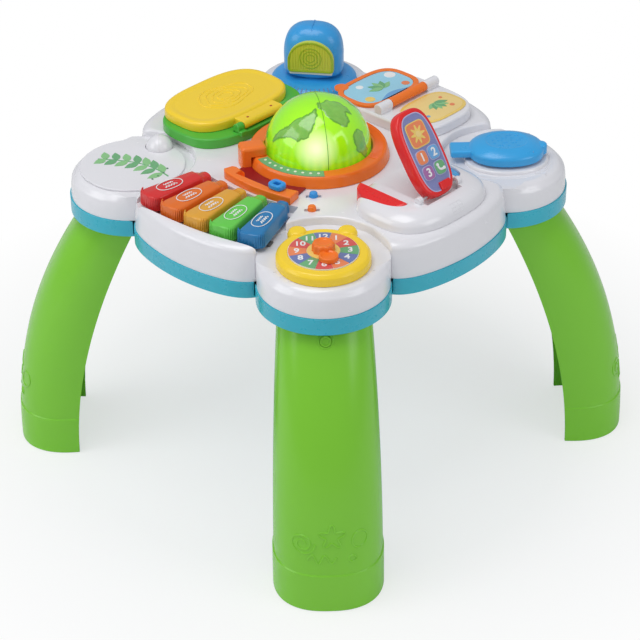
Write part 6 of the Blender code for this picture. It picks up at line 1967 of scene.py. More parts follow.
    def face_art(self, made: Piece, low: float, middle: float) -> None:
        """Adds the plain picture, the numbered buttons and the handset.

        Args:
            made: The telephone.
            low: The plate's top.
            middle: The plate's middle, along the telephone.
        """
        size, spot = 0.0145, (middle + 0.0215, 0.0010)
        made.add(plate(oval(size, size, 5, 48, spot), low, low + 0.0006, 0.0003), INK_YELLOW)
        size -= 0.0012
        made.add(plate(oval(size, size, 5, 48, spot), low, low + 0.0008), INK_ORANGE)
        made.add(plate(star(0.0110, 0.0054, 8, spot), low, low + 0.0011), INK_YELLOW)
        made.add(disc(0.0036, spot, low, low + 0.0014), CREAM)
        upright = Matrix.Rotation(-math.pi / 2, 4, "Z")
        buttons = (("1", -0.0035, 0.0092, INK_ORANGE), ("2", -0.0035, -0.0092, INK_BLUE),
                   ("3", -0.0215, 0.0092, INK_PURPLE))
        for text, along, across, finish in buttons:
            spot = (middle + along, across)
            self.badge(made, spot, low, finish)
            made.add(numeral(text, 0.0094, 0.0006), INK_WHITE, Matrix.Translation((*spot, low + 0.0018)) @ upright)
        x, y = middle - 0.0215, -0.0092
        self.badge(made, (x, y), low, INK_GREEN)
        grip = [(x + 0.0036, y + 0.0034, low + 0.0016), (x - 0.0012, y + 0.0022, low + 0.0017),
                (x - 0.0026, y - 0.0012, low + 0.0017), (x - 0.0022, y - 0.0042, low + 0.0016)]
        made.add(stroke(smooth_line(grip, 6), 0.0013, 0.0009), INK_WHITE)
        for end in (grip[0], grip[3]):
            made.add(disc(0.0019, end[:2], low, low + 0.0026, 0.0004, 24), INK_WHITE)
        made.add(box((0.0095, 0.0170, 0.0040), (middle - 0.0405, -0.0060, low + 0.0006), 0.0015), RED)

    def build(self) -> None:
        """Makes the console, the buttons and the telephone."""
        console = Piece("white_console", Bearing.PHONE.turn).add(self.console(), WHITE)
        console.add_all([*self.extras(), *self.grid()], WHITE)
        console.done("table", "phone_console", crease=35, weighted=True)
        for side, name, finish in ((-1, "red_button", RED), (1, "blue_button", SKY)):
            made = Piece(f"{name}_cap", Bearing.PHONE.turn).add(self.button(side), finish)
            made.add_all(self.grooves(side), finish).done(name, name, crease=45)
        self.phone().done("phone", "phone_body", "phone_face", crease=42, weighted=True)


@dataclass
class Laptop:
    """The green tray with its key plate and the hinged yellow lid."""

    reach: float = 0.139
    half_length: float = 0.056
    half_width: float = 0.086
    squareness: float = 3.0
    base_top: float = 0.379
    tub_inset: float = 0.013
    tub_shift: float = 0.008
    lid_reach: float = 0.150
    lid_half: Spot = (0.0485, 0.076)
    lid_thickness: float = 0.012
    hinge: Spot = (0.0905, 0.3843)
    hinge_radius: float = 0.005
    tab_width: float = 0.064

    def tray(self) -> Shape:
        """The tray with its tub.

        Returns:
            The shape.
        """
        base = PLAN.deck + GAP
        outline = oval(self.half_length, self.half_width, self.squareness, 128, (self.reach, 0))
        inset = self.tub_inset
        tub = oval(self.half_length - inset, self.half_width - inset, self.squareness, 112,
                   (self.reach + self.tub_shift, 0))
        return combine(plate(outline, base, self.base_top, 0.0022, 0.0004),
                       [plate(tub, base + PLAN.wall, self.base_top + 0.01)])

    def ears(self) -> list[Shape]:
        """The two ears that hold the lid's pin.

        Returns:
            The shapes.
        """
        reach, height = self.hinge
        shapes = []
        for side in (-1, 1):
            start, end = side * self.tab_width / 2, side * (self.tab_width / 2 + 0.010)
            shapes.append(bar(self.hinge_radius, (reach, start, height), (reach, end, height), 0.0010))
            middle = (start + end) / 2
            shapes.append(box((0.0098, 0.0098, 0.0080), (reach, middle, height - 0.0040), 0.0008))
            shapes.append(box((0.0150, 0.0098, 0.0060), (reach - 0.0018, middle, self.base_top), 0.0012))
        return shapes

    def keypad(self) -> Piece:
        """The key plate with its raised keys, seen when the lid is up.

        Returns:
            The piece.
        """
        low = PLAN.deck + GAP + PLAN.wall + 0.0018
        inset = self.tub_inset + 0.0005
        centre = (self.reach + self.tub_shift, 0)
        outline = oval(self.half_length - inset, self.half_width - inset, self.squareness, 112, centre)
        made = Piece("key_plate", Bearing.LAPTOP.turn)
        made.add(plate(outline, low, low + 0.0055, 0.0006), WHITE)
        finishes = (INK_RED, INK_ORANGE, INK_YELLOW, INK_GREEN, INK_BLUE, INK_PURPLE)
        for row, count in enumerate((6, 6, 4)):
            for column in range(count):
                spot = (centre[0] - 0.022 + 0.0175 * row, (column - (count - 1) / 2) * 0.0195)
                key = plate(oval(0.0072, 0.0080, 4.5, 40, spot), low + 0.004, low + 0.0065, 0.0010)
                made.add(key, finishes[(column + 2 * row) % 6])
        return made

    def lid(self) -> Piece:
        """The lid with its raised contour lines, tab and barrel.

        Returns:
            The piece.
        """
        low = self.base_top + GAP
        made = Piece("yellow_lid", Bearing.LAPTOP.turn)
        centre = (self.lid_reach, 0)
        half_length, half_width = self.lid_half
        top = low + self.lid_thickness
        stops = smooth_line(((0.0006, low), (0.0, low + 0.0010), (0.0, top - 0.0046), (0.0010, top - 0.0016),
                             (0.0034, top - 0.0003), (0.0070, top - 0.0004), (0.0110, top - 0.0010),
                             (0.0150, top - 0.0010)), 3)
        rings = [lift(oval(half_length - inset, half_width - inset, self.squareness, 128, centre), height)
                 for inset, height in stops]
        shell = loft(rings)
        inner = oval(half_length - 0.006, half_width - 0.003, self.squareness, 96, (self.lid_reach + 0.003, 0))
        made.add(combine(shell, [plate(inner, low - 0.01, top - 0.0035)]), YELLOW)
        for index in range(4):
            made.add(self.contour(index, top - 0.0010), YELLOW)
        reach, height = self.hinge
        width = self.tab_width - 0.0016
        made.add(bar(self.hinge_radius, (reach, -width / 2, height), (reach, width / 2, height), 0.0008), YELLOW)
        tab_end = self.lid_reach - half_length + 0.006
        middle = ((tab_end + reach) / 2, 0, height + self.hinge_radius - 0.00425)
        made.add(box((tab_end - reach, width, 0.0085), middle, 0.0012), YELLOW)
        for side in (-1, 1):
            spot = (reach + 0.0035, side * 0.019)
            made.add(stud(0.0016, spot, height, height + 0.00525, 0.0003), DEEP_ORANGE)
        return made

    def contour(self, index: int, height: float) -> Shape:
        """One wavy closed contour line on the lid.

        Args:
            index: Which line, from the outermost.
            height: The lid's face.

        Returns:
            The shape.
        """
        size = 1 - 0.24 * index
        path = []
        for step in range(72):
            angle = math.tau * step / 72
            wavy = 1 + 0.07 * math.sin(3 * angle + index) + 0.04 * math.sin(5 * angle - index)
            path.append((self.lid_reach + 0.0235 * size * wavy * math.cos(angle),
                         0.0370 * size * wavy * math.sin(angle), height))
        return stroke(path, 0.0009, 0.0007, closed=True)

    def build(self) -> None:
        """Makes the tray, the key plate and the lid."""
        tray = Piece("green_tray", Bearing.LAPTOP.turn).add(self.tray(), LAPTOP_GREEN)
        tray.add_all(self.ears(), LAPTOP_GREEN)
        front = self.reach + self.half_length * 0.985 + 0.0002
        seam = [(front, 0.0, height) for height in (0.3676, 0.3725, 0.3770)]
        tray.add(stroke(seam, 0.0004, 0.0003, (1, 0, 0)), LAPTOP_GREEN)
        tray.done("table", "laptop_base", crease=35, weighted=True)
        self.keypad().done("laptop_keypad", "laptop_keypad", crease=35, weighted=True)
        self.lid().done("laptop_lid", "laptop_lid", crease=35, weighted=True)


@dataclass
class Book:
    """The white book block, the orange page that turns on its barrels, and the printed plates."""

    middle: float = 0.1515
    half: Spot = (0.0545, 0.074)
    squareness: float = 3.2
    pad_top: float = 0.380
    hinge: float = 0.386
    barrel: float = 0.006
    spans: tuple[Spot, Spot] = ((0.100, 0.1210), (0.1820, 0.203))
    page: Spot = (0.148, 0.042)
    page_half: Spot = (0.0500, 0.0345)
    page_thickness: float = 0.0034

    def rod(self, start: float, end: float) -> Shape:
        """A barrel on the hinge line.

        Args:
            start: Where it starts.
            end: Where it ends.

        Returns:
            The shape.
        """
        return bar(self.barrel, (start, 0, self.hinge), (end, 0, self.hinge), 0.0012, 48)

    def block(self) -> Piece:
        """The white block with its two barrels.

        Returns:
            The piece.
        """
        made = Piece("white_book", Bearing.BOOK.turn)
        outline = oval(self.half[0], self.half[1], self.squareness, 128, (self.middle, 0))
        shape = plate(outline, PLAN.deck + GAP, self.pad_top, 0.0034, 0.0003)
        start, end = self.spans[0][1], self.spans[1][0]
        low = self.hinge - self.barrel - 0.0005
        relief = box((end - start + 0.0006, 0.0130, 0.018), ((start + end) / 2, 0, low + 0.009))
        made.add(combine(shape, [relief]), WHITE)
        for start, end in self.spans:
            made.add(self.rod(start, end), WHITE)
            middle = ((start + end) / 2, 0, self.hinge - 0.00425)
            made.add(box((end - start - 0.0008, 0.0108, 0.0085), middle, 0.0010), WHITE)
        return made

    def page_outline(self, inset: float, steps: int = 96) -> list[Spot]:
        """The page's outline, drawn in on every side."""
        return oval(self.page_half[0] - inset, self.page_half[1] - inset, self.squareness, steps, self.page)

    def page_piece(self) -> Piece:
        """The orange page with its barrel, tab and print.

        Returns:
            The piece.
        """
        made = Piece("orange_page", Bearing.BOOK.turn)
        low = self.pad_top + GAP
        top = low + self.page_thickness
        made.add(hoop(self.page_outline(0, 112), self.page_outline(0.0058, 112), low, top, 0.0007), ORANGE)
        made.add(plate(self.page_outline(0.0048), low + 0.0002, top - 0.0020), ORANGE)
        start, end = self.spans[0][1] + 0.0006, self.spans[1][0] - 0.0006
        made.add(self.rod(start, end), ORANGE)
        middle = ((start + end) / 2, 0.00525, top - 0.0017)
        made.add(box((end - start - 0.0012, 0.0105, 0.0028), middle, 0.0005), ORANGE)
        tab = (self.page[0] - 0.030, 0.0075 + 0.069 - 0.00255)
        made.add(stud(0.0085, tab, low + GAP, top - GAP, 0.0006, 48, 0.0006), ORANGE)
        self.print_art(made, top - 0.0012)
        return made

    def print_art(self, made: Piece, top: float) -> None:
        """Adds the printed plate with plain shapes.

        Args:
            made: The page.
            top: The plate's top.
        """
        made.add(plate(self.page_outline(0.0061), top - 0.0008, top + 0.0002), SKY_PRINT)
        x, y = self.page
        for dx, dy, radius, finish in ((-0.030, -0.014, 0.0060, INK_YELLOW), (-0.016, 0.016, 0.0045, INK_WHITE),
                                       (0.030, -0.016, 0.0050, INK_ORANGE), (0.033, 0.012, 0.0070, INK_WHITE)):
            made.add(disc(radius, (x + dx, y + dy), top, top + 0.0005, steps=36), finish)
        sprig(made, (x + 0.002, y - 0.006), (0.0190, 0.0080), range(20, 195, 35), top, (0.0005, 0.00008))
        hill = [(x + dx, y - 0.0235 + 0.0050 * math.cos(dx * 90)) for dx in
                (0.034 - 0.068 * step / 24 for step in range(25))]
        ground = hill + [(x - 0.030, y - 0.0262), (x + 0.030, y - 0.0262)]
        made.add(plate(ground, top, top + 0.0004), INK_BLUE)

    def label(self) -> Piece:
        """The cream label on the block, with plain shapes.

        Returns:
            The piece.
        """
        made = Piece("cream_label", Bearing.BOOK.turn)
        low = self.pad_top + GAP
        x, y = 0.156, -0.037
        made.add(plate(oval(0.040, 0.028, self.squareness, 96, (x, y)), low, low + 0.0006, 0.0002), INK_YELLOW)
        made.add(plate(oval(0.0365, 0.0245, self.squareness, 96, (x, y)), low, low + 0.0008), CREAM)
        sprig(made, (x + 0.008, y + 0.006), (0.0175, 0.0070), range(205, 361, 26), low, (0.0010, 0.00006))
        for dx, dy, radius, finish in ((0.020, -0.012, 0.0030, INK_ORANGE), (-0.024, 0.010, 0.0026, INK_BLUE),
                                       (0.024, 0.010, 0.0022, INK_ORANGE), (-0.022, -0.012, 0.0024, INK_BLUE)):
            made.add(disc(radius, (x + dx, y + dy), low, low + 0.0011), finish)
        return made

    def build(self) -> None:
        """Makes the block, the page and the label."""
        self.block().done("table", "book_base", crease=35, weighted=True)
        self.page_piece().done("book_page", "book_page", "page_print", crease=35, weighted=True)
        self.label().done("table", "book_label", crease=35)


@dataclass
class Lamp:
    """The blue lamp on its round base, with a ribbed clear lens."""

    reach: float = 0.2090
    base_radius: float = 0.052
    base_height: float = 0.011
    neck: float = 0.020
    half: Spot = (0.025, 0.036)
    squareness: float = 2.6
    height: float = 0.0604
    lens: Spot = (0.056, 0.040)
    straight: float = 0.35
    turn: float = math.radians(-10)

    def heights(self) -> tuple[float, float, float]:
        """The base's underside and top, and the head's underside."""
        low = PLAN.corner_top + GAP
        top = low + self.base_height
        return low, top, top + 0.0033

    def base(self) -> Shape:
        """The round base with its neck.

        Returns:
            The shape.
        """
        low, top, head = self.heights()
        radius, height = self.base_radius, self.base_height
        profile = rounded([(0, head - GAP, 0), (self.neck, head - GAP, 0.0005), (self.neck, top, 0.0006),
                           (radius * 0.74, top - height * 0.06, 0.01), (radius * 0.90, top - height * 0.22, 0.006),
                           (radius, top - height * 0.55, 0.005), (radius, low, 0.0006), (0, low, 0)], False, 8)
        return revolve(profile, 112)

    def head(self) -> Shape:
        """The head's hood.

        Returns:
            The shape.
        """
        _, _, low = self.heights()
        stops = smooth_line(((0.94, 0), (0.985, 0.045), (1, 0.10), (1, 0.27), (1, 0.45), (0.95, 0.66),
                             (0.82, 0.83), (0.60, 0.945), (0.34, 1.0)), 5)
        rings = [lift(oval(self.half[0] * share, self.half[1] * share, self.squareness, 96),
                      low + self.height * rise) for share, rise in stops]
        return loft(rings)

    @property
    def lens_low(self) -> float:
        """The height of the lens's lower edge."""
        return self.heights()[2] + 0.008

    def lens_outline(self, inset: float) -> list[Spot]:
        """The lens's D, across and up.

        Args:
            inset: How far it is drawn in.

        Returns:
            The points.
        """
        half = self.lens[0] / 2
        low = self.lens_low
        straight = self.lens[1] * self.straight
        arch = self.lens[1] - straight
        corners = [(-half + inset, low + inset, 0.004), (half - inset, low + inset, 0.004)]
        foot = rounded([*corners, (half - inset, low + straight, 0), (-half + inset, low + straight, 0)])[:-2]
        sweep = [(math.cos(a) * (half - inset), low + straight + math.sin(a) * (arch - inset))
                 for a in (math.pi * step / 32 for step in range(33))]
        return foot + sweep

    def lens_parts(self) -> list[tuple[Shape, Moulded]]:
        """The lens plate, its rim painted bright lime as highlight, the upright ribs and the rings on them,
        painted bright lime as highlight too.

        Returns:
            Each shape with its finish, in the head's frame, with the front towards -X.
        """
        front = -self.half[0] - 0.003
        back = -self.half[0] + 0.004
        body = plate(self.lens_outline(0), front + 0.0010, back, 0.0, 0.0008)
        parts = [(body, LENS)]
        outward = (0, 0, -1)
        rim = [(x, y, front + 0.0012) for x, y in self.lens_outline(0.0013)]
        # The rim is painted bright as highlight.
        parts.append((stroke(rim, 0.0015, 0.0012, outward, closed=True), LENS_HIGHLIGHT))
        low = self.lens_low
        for index in range(15):
            across = (index - 7) * 0.00325
            edge = math.sqrt(max(0.0, 1 - (across / (self.lens[0] / 2)) ** 2))
            high = low + self.lens[1] * (self.straight + (1 - self.straight) * edge) - 0.0032
            path = [(across, low + 0.0030, front + 0.0010), (across, (low + high) / 2, front + 0.0008),
                    (across, high, front + 0.0010)]
            parts.append((stroke(path, 0.0011, 0.0007, outward), LENS))
        middle = (0.0, low + 0.0190)
        for radius in (0.0050, 0.0090, 0.0130):
            ring = [(x, y, front + 0.0006) for x, y in oval(radius, radius, 2, 48, middle)]
            # The rings are painted bright as highlight.
            parts.append((stroke(ring, 0.0008, 0.0007, outward, closed=True), LENS_HIGHLIGHT))
        for shape, _ in parts:
            bmesh.ops.transform(shape, matrix=STANDING, verts=shape.verts)
            bmesh.ops.recalc_face_normals(shape, faces=shape.faces)
        return parts

    def build(self) -> None:
        """Makes the base, the hood and the lens."""
        place = Bearing.BACK.turn @ Matrix.Translation((self.reach, 0, 0))
        made = Piece("lamp_disc", place).add(self.base(), LAMP_BLUE)
        low = PLAN.corner_top + GAP
        for index in range(13):
            angle = math.pi + math.radians(6.5) * (index - 6)
            path = [(*on_circle(radius, angle), low + rise)
                    for radius, rise in ((0.0449, 0.0090), (0.0481, 0.0078), (0.0508, 0.0058))]
            made.add(stroke(path, 0.0006, 0.0004), INK_NAVY)
        made.done("table", "lamp_base", crease=40)
        head_place = place @ Matrix.Rotation(self.turn, 4, "Z")
        head = Piece("lamp_hood", head_place).add(self.head(), LAMP_BLUE)
        low = self.heights()[2]
        seam = [(self.half[0] * share, 0.0, low + self.height * rise) for share, rise in
                ((1.002, 0.12), (1.002, 0.45), (0.95, 0.66), (0.82, 0.835), (0.60, 0.95), (0.34, 1.004),
                 (0, 1.004), (-0.34, 1.004), (-0.60, 0.95))]
        head.add(stroke(smooth_line(seam, 5), 0.0005, 0.0004, (0, 1, 0)), LAMP_BLUE)
        strip = plate(rounded([(-0.026, low + 0.0052, 0.001), (0.026, low + 0.0052, 0.001),
                               (0.026, low + 0.0078, 0.001), (-0.026, low + 0.0078, 0.001)]),
                      -self.half[0] - 0.0012, -self.half[0] + 0.004)
        head.add(strip, PALE, STANDING)
        for shape, finish in self.lens_parts():
            head.add(shape, finish)
        head.done("lamp_head", "lamp_head", "lamp_lens", crease=40)


@dataclass
class Mouse:
    """The sky-blue mouse with its tail tab and wheel nub, on a soft rise."""

    reach: float = 0.2140
    half: Spot = (0.043, 0.035)
    squareness: float = 2.2
    low: float = 0.3643
    height: float = 0.017
    rise: float = 0.004
    margin: float = 0.006

    def pedestal(self) -> Shape:
        """The white rise under the mouse, placed on its lobe.

        Returns:
            The shape.
        """
        rings = []
        for share, rise in smooth_line(((1.0, -0.3), (0.97, 0.15), (0.85, 0.6), (0.68, 0.9), (0.5, 1.0)), 3):
            margin = self.margin * share
            outline = oval(self.half[0] + margin, self.half[1] + margin, self.squareness, 96, (self.reach, 0))
            rings.append(lift(outline, PLAN.corner_top + self.rise * rise))
        return loft(rings)

    def body(self) -> Shape:
        """The domed cover with its flat plateau.

        Returns:
            The shape.
        """
        stops = smooth_line(((0.985, 0.0), (1, 0.06), (1, 0.42), (0.975, 0.54), (0.93, 0.64), (0.86, 0.74),
                             (0.77, 0.84), (0.68, 0.915), (0.60, 0.955), (0.56, 0.965), (0.53, 0.94),
                             (0.50, 0.935)), 3)
        rings = [lift(oval(self.half[0] * share, self.half[1] * share, self.squareness, 112, (self.reach, 0)),
                      self.low + self.height * rise) for share, rise in stops]
        return loft(rings)

    def maze(self) -> list[Shape]:
        """The dotted lines on the plateau.

        Returns:
            The shapes.
        """
        top = self.low + self.height * 0.935
        shapes = []
        for row in range(5):
            for column in range(7):
                x, y = self.reach + (column - 3) * 0.0052, (row - 2) * 0.0058
                if ((x - self.reach) / 0.019) ** 2 + (y / 0.0155) ** 2 > 1 or (row + 2 * column) % 5 == 3:
                    continue
                along = (row + column) % 2
                end = (x + (0.0034 if along else 0.0), y + (0.0 if along else 0.0036), top)
                shapes.append(stroke([(x, y, top), end], 0.0007, 0.0005))
        return shapes

    def build(self) -> None:
        """Makes the mouse."""
        made = Piece("sky_mouse").add(self.body(), SKY)
        made.add_all(self.maze(), SKY)
        edge = self.reach - self.half[0]
        made.add(box((0.0280, 0.0250, 0.0090), (edge - 0.0070, 0, self.low + 0.00480), 0.0028), SKY)
        nub = rounded([(0, self.low + self.height * 0.74, 0), (0.0075, self.low + self.height * 0.70, 0.005),
                       (0.0075, self.low + GAP, 0), (0, self.low + GAP, 0)], False, 8)
        made.add(revolve(nub, 48, (self.reach + self.half[0] - 0.00375, 0)), SKY)
        cut = []
        for index in range(25):
            share = 2 * index / 24 - 1
            y = self.half[1] * 0.985 * share
            x = self.reach + self.half[0] * 0.66
            if abs(share) > 0.74:
                continue
            cut.append((x, y, self.low + self.height * (0.80 - 0.30 * share * share)))
        made.add(stroke(cut, 0.0006, 0.0010), INK_BLUE)
        made.add(bar(0.0078, (self.reach, 0, PLAN.corner_top + 0.0037), (self.reach, 0, self.low + 0.002)), SKY)
        made.done("mouse", "mouse", crease=35, weighted=True)


@dataclass
class Clock:
    """The yellow alarm clock with its twelve wedges and the fluted orange knob."""

    reach: float = 0.2190
    radius: float = 0.051
    height: float = 0.013
    edge: float = 0.0045
    dial: float = 0.038
    knob: float = 0.01254
    knob_height: float = 0.010
    hand: Spot = (0.019, 0.0105)
    hand_bearing: float = math.radians(15)
    bells: tuple[float, float, float, float] = (0.0505, 0.011, 0.016, math.radians(32))
    wedges: tuple[Moulded, ...] = (INK_ORANGE, INK_RED, INK_GREEN, INK_NAVY) * 3

    def case(self) -> list[Shape]:
        """The case with its two bells.

        Returns:
            The shapes.
        """
        low = PLAN.corner_top + GAP
        top = low + self.height
        floor = top - 0.001
        profile = rounded([
            (0, floor, 0), (self.dial + GAP, floor, 0), (self.dial + GAP, top - 0.0003, 0.0002),
            (self.dial + 0.0012, top, 0.0004), (self.radius - self.edge * 0.9, top, 0.004),
            (self.radius - self.edge * 0.05, top - self.edge * 0.9, 0.004), (self.radius, low, 0.0005),
            (0, low, 0)], False, 8)
        shapes = [revolve(profile, 128, (self.reach, 0))]
        reach, radius, height, spread = self.bells
        for side in (-1, 1):
            angle = math.pi + side * spread
            centre = on_circle(reach, angle, (self.reach, 0))
            shapes.append(revolve(rounded([(0, low + height, 0), (radius * 0.80, low + height - 0.0006, 0.005),
                                           (radius, low + height - 0.0060, 0.003), (radius, low, 0), (0, low, 0)],
                                          False, 8), 56, centre))
        return shapes

    def face(self, made: Piece, low: float) -> None:
        """Adds the wedges, the numbers and the inner disc.

        Args:
            made: The dial's piece.
            low: The dial's underside.
        """
        top = low + 0.0020
        centre = (self.reach, 0)
        profile = [(0, top - 0.0004), (self.dial, top - 0.0004), (self.dial, low), (0, low)]
        made.add(revolve(profile, 112, centre), INK_WHITE)
        inner, outer = 0.0180, self.dial - 0.0005
        for hour in range(1, 13):
            bearing = math.pi - math.radians(30 * hour)
            half = math.radians(14.75)
            outline = arc(centre, outer, bearing - half, bearing + half, 12)
            outline += arc(centre, inner, bearing + half, bearing - half, 8)
            made.add(plate(outline, top - 0.0004, top, 0.0001), self.wedges[hour - 1])
            figures = numeral(str(hour), 0.0088, 0.0004)
            middle = (inner + outer) / 2 + 0.0006
            spot = (*on_circle(middle, bearing, centre), top + 0.00010)
            made.add(figures, INK_WHITE, Matrix.Translation(spot) @ Matrix.Rotation(math.pi / 2, 4, "Z"))
        made.add(stud(inner - 0.0003, centre, low, top + 0.0002, 0.0002, 96), INK_YELLOW)

    def knob_shapes(self, low: float) -> list[Shape]:
        """The fluted knob with its dished top and round hand.

        Args:
            low: The knob's underside.

        Returns:
            The shapes.
        """
        rings = []
        top = low + self.knob_height
        for inset, height in smooth_line(((0.0, low), (0.0002, low + 0.004), (0.0005, top - 0.0022),
                                          (0.0016, top - 0.0004), (0.0032, top), (0.0052, top - 0.0005),
                                          (0.0068, top - 0.0012), (0.0100, top - 0.0014)), 3):
            ring = []
            for index in range(160):
                angle = math.tau * index / 160
                flute = 0.0010 * (0.5 + 0.5 * math.cos(angle * 10)) * max(0.0, 1 - inset / 0.004)
                radius = max(0.001, self.knob - inset - flute)
                ring.append(Vector((*on_circle(radius, angle, (self.reach, 0)), height)))
            rings.append(ring)
        reach, radius = self.hand
        tip = on_circle(reach, self.hand_bearing, (self.reach, 0))
        lobe = rounded([(0, low + 0.0040, 0), (radius - 0.0035, low + 0.0043, 0.001),
                        (radius - 0.0020, low + 0.0055, 0.001), (radius, low + 0.0052, 0.0012),
                        (radius, low + GAP, 0), (0, low + GAP, 0)], False, 6)
        return [loft(rings), revolve(lobe, 64, tip)]

    def build(self) -> None:
        """Makes the case, the dial and the knob."""
        case = Piece("yellow_clock", Bearing.FRONT.turn).add_all(self.case(), YELLOW)
        case.done("table", "clock_body", crease=35, weighted=True)
        low = PLAN.corner_top + GAP + self.height - 0.001 + GAP
        dial = Piece("number_dial", Bearing.FRONT.turn)
        self.face(dial, low)
        dial.done("table", "clock_dial", crease=35)
        knob = Piece("fluted_knob", Bearing.FRONT.turn).add_all(self.knob_shapes(low + 0.0023), ORANGE)
        knob.done("clock_knob", "clock_knob", crease=50)


@dataclass
class PicturePad:
    """The round pad on the left lobe with its printed sprig."""

    radius: float = 0.060
    thickness: float = 0.0022
    notch: tuple[float, float, float] = (0.1825, -0.0420, 0.0166)

    def build(self) -> None:
        """Makes the pad."""
        low = PLAN.corner_top + GAP
        made = Piece("sprig_pad", Bearing.LEFT.turn)
        centre = (PLAN.corner_reach, 0)
        pad = disc(self.radius, centre, low, low + self.thickness, 0.0008, 128)
        x, y, radius = self.notch
        made.add(combine(pad, [bar(radius, (x, y, low - 0.002), (x, y, low + 0.006), steps=64)]), WHITE)
        top = low + self.thickness
        stem = smooth_line([(0.1700, 0.0300), (0.1850, 0.0120), (0.2050, -0.0020), (0.2300, -0.0100),
                            (0.2520, -0.0140)])
        made.add(stroke([(px, py, top) for px, py in stem], 0.0011, 0.0004), INK_GREEN)
        for index, (px, py) in enumerate(stem[3:-2:3]):
            for side in (-1, 1):
                leaf = blade(0.0215 - 0.0008 * index, 0.0098, (px, py), math.radians(-22 + side * 58))
                ink = (INK_LEAF, INK_GREEN)[index % 2]
                made.add(plate(leaf, top - 0.0004, top + 0.0003 + 0.00004 * index), ink)
        for dx, dy in ((-0.036, 0.022), (-0.030, 0.029), (-0.040, 0.012), (-0.024, 0.036)):
            made.add(disc(0.0013, (centre[0] + dx, dy), top - 0.0004, top + 0.0004, steps=20), INK_DARK)
        made.done("table", "picture_pad", crease=35, weighted=True)


HIDDEN = {
    "key_rail": WHITE, "key_contact_strip": RUBBER, "globe_light": LENS, "globe_spindle": WHITE,
    "globe_turntable": WHITE, "circuit_board": BOARD, "speaker": RUBBER, "battery_box": WHITE,
    "battery_door": CYAN, "cell_1": CELL, "cell_2": CELL, "cell_3": CELL, "phone_hinge_pin": STEEL,
    "laptop_hinge_pin": STEEL, "book_hinge_pin": STEEL, "tray_screw_1": STEEL, "tray_screw_2": STEEL,
    "tray_screw_3": STEEL, "tray_screw_4": STEEL,
}


# The studio


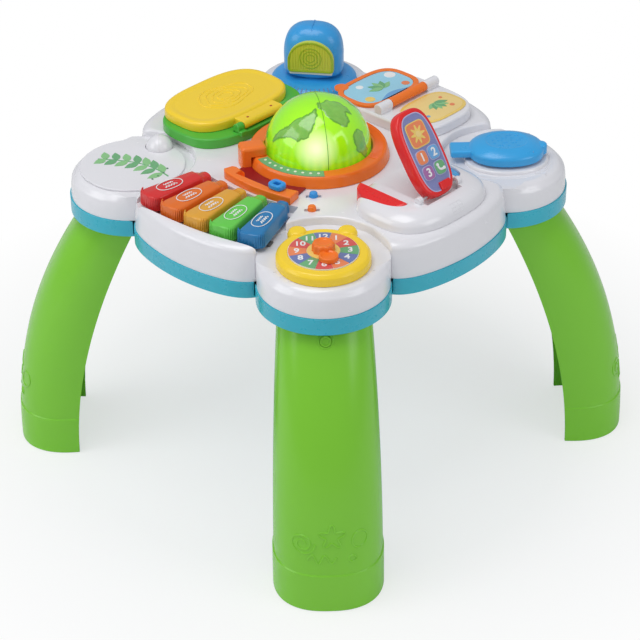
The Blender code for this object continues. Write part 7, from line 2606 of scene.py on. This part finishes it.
@dataclass
class Studio:
    """A white floor, soft lamps and the camera."""

    place: tuple[float, float, float] = (-0.0428, -2.2207, 1.5790)
    yaw: float = math.radians(1.0968)
    pitch: float = math.radians(32.892)
    roll: float = math.radians(-0.663)
    lens: float = 124.65

    def camera(self) -> None:
        """Sets the camera where the photograph was taken from."""
        ahead = Vector((math.sin(self.yaw) * math.cos(self.pitch), math.cos(self.yaw) * math.cos(self.pitch),
                        -math.sin(self.pitch)))
        right = ahead.cross(Vector((0, 0, 1))).normalized()
        up = right.cross(ahead)
        turned_right = right * math.cos(self.roll) + up * math.sin(self.roll)
        turned_up = up * math.cos(self.roll) - right * math.sin(self.roll)
        frame = Matrix((turned_right, turned_up, -ahead)).transposed().to_4x4()
        data = bpy.data.cameras.new("view")
        data.lens, data.sensor_width = self.lens, 36
        made = bpy.data.objects.new("view", data)
        made.matrix_world = Matrix.Translation(self.place) @ frame
        bpy.context.scene.collection.objects.link(made)
        bpy.context.scene.camera = made

    def lamp(self, name: str, place: Sequence[float], target: Sequence[float], size: float, power: float) -> None:
        """Adds a soft square lamp.

        Args:
            name: Its name.
            place: Where it stands.
            target: What it faces.
            size: Its side.
            power: Its watts.
        """
        data = bpy.data.lights.new(name, "AREA")
        data.size, data.energy = size, power
        made = bpy.data.objects.new(name, data)
        made.location = place
        made.rotation_euler = (Vector(target) - Vector(place)).to_track_quat("-Z", "Y").to_euler()
        bpy.context.scene.collection.objects.link(made)

    def world(self) -> None:
        """Lights everything evenly, and shows white to the camera."""
        world = bpy.data.worlds.new("studio")
        world.use_nodes = True
        tree = world.node_tree
        soft = tree.nodes["Background"]
        soft.inputs["Color"].default_value = (0.93, 0.96, 1.0, 1.0)
        soft.inputs["Strength"].default_value = 0.40
        white = tree.nodes.new("ShaderNodeBackground")
        white.inputs["Color"].default_value = (1, 1, 1, 1)
        path = tree.nodes.new("ShaderNodeLightPath")
        mix = tree.nodes.new("ShaderNodeMixShader")
        tree.links.new(path.outputs["Is Camera Ray"], mix.inputs[0])
        tree.links.new(soft.outputs[0], mix.inputs[1])
        tree.links.new(white.outputs[0], mix.inputs[2])
        tree.links.new(mix.outputs[0], tree.nodes["World Output"].inputs[0])
        bpy.context.scene.world = world

    def floor(self) -> None:
        """A wide white floor that keeps the soft shadows."""
        shape = bmesh.new()
        below = Matrix.Translation((0, 0, -0.0004))
        bmesh.ops.create_grid(shape, x_segments=2, y_segments=2, size=12, matrix=below)
        mesh = bpy.data.meshes.new("floor")
        shape.to_mesh(mesh)
        shape.free()
        bench = NodeBench("floor")
        bench.shade(Base_Color=(0.93, 0.93, 0.93, 1), Roughness=0.9, Specular_IOR_Level=0.1)
        tree = bench.tree
        glow = bench.node("ShaderNodeEmission", {"Color": (1, 1, 1, 1), "Strength": 1.0})
        path = bench.node("ShaderNodeLightPath")
        far = bench.node("ShaderNodeVectorMath", {0: bench.place}, operation="LENGTH")
        away = bench.span(far.outputs["Value"], 0.62, 1.0, 0.30, 0.62)
        seen = bench.node("ShaderNodeMath", {0: path.outputs["Is Camera Ray"], 1: away}, operation="MULTIPLY")
        sockets = {0: seen.outputs[0], 1: bench.shader.outputs[0], 2: glow.outputs[0]}
        mix = bench.node("ShaderNodeMixShader", sockets)
        tree.links.new(mix.outputs[0], tree.nodes["Material Output"].inputs[0])
        mesh.materials.append(bench.material)
        made = bpy.data.objects.new("floor", mesh)
        bpy.context.scene.collection.objects.link(made)

    def build(self) -> None:
        """Makes the studio."""
        self.camera()
        self.lamp("key_light", (-0.5, -0.4, 2.5), (0, 0, 0.3), 1.5, 22)
        self.lamp("fill_light", (1.9, -1.3, 1.5), (0, 0, 0.25), 1.3, 11)
        self.lamp("left_light", (-1.9, -0.6, 1.3), (0, 0, 0.25), 1.2, 10)
        self.world()
        self.floor()
        bpy.context.scene.view_settings.view_transform = "Standard"


def dress_hidden(nodes: dict[str, bpy.types.Object]) -> None:
    """Gives each carried-over node its own material.

    Args:
        nodes: The frame's nodes.
    """
    for name, finish in HIDDEN.items():
        node = nodes[name]
        for slot in node.material_slots:
            slot.material = finish.material()
        LOG.info("%s: %s", name, finish.label)


def main() -> None:
    """Builds every sub-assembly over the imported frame."""
    logging.basicConfig(level=logging.INFO, format="%(message)s")
    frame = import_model()
    TableTop().build()
    for bearing, side in ((Bearing.RIGHT, "right"), (Bearing.BACK, "back"), (Bearing.LEFT, "left"),
                          (Bearing.FRONT, "front")):
        Leg(bearing, f"green_leg_{side}").build()
    for assembly in (Keys(), Globe(), *SWITCHES, SliderTrack(), Telephone(), Laptop(), Book(), Lamp(), Mouse(),
                     Clock(), PicturePad()):
        assembly.build()
    dress_hidden(frame["nodes"])
    Studio().build()


if __name__ == "__main__":
    main()
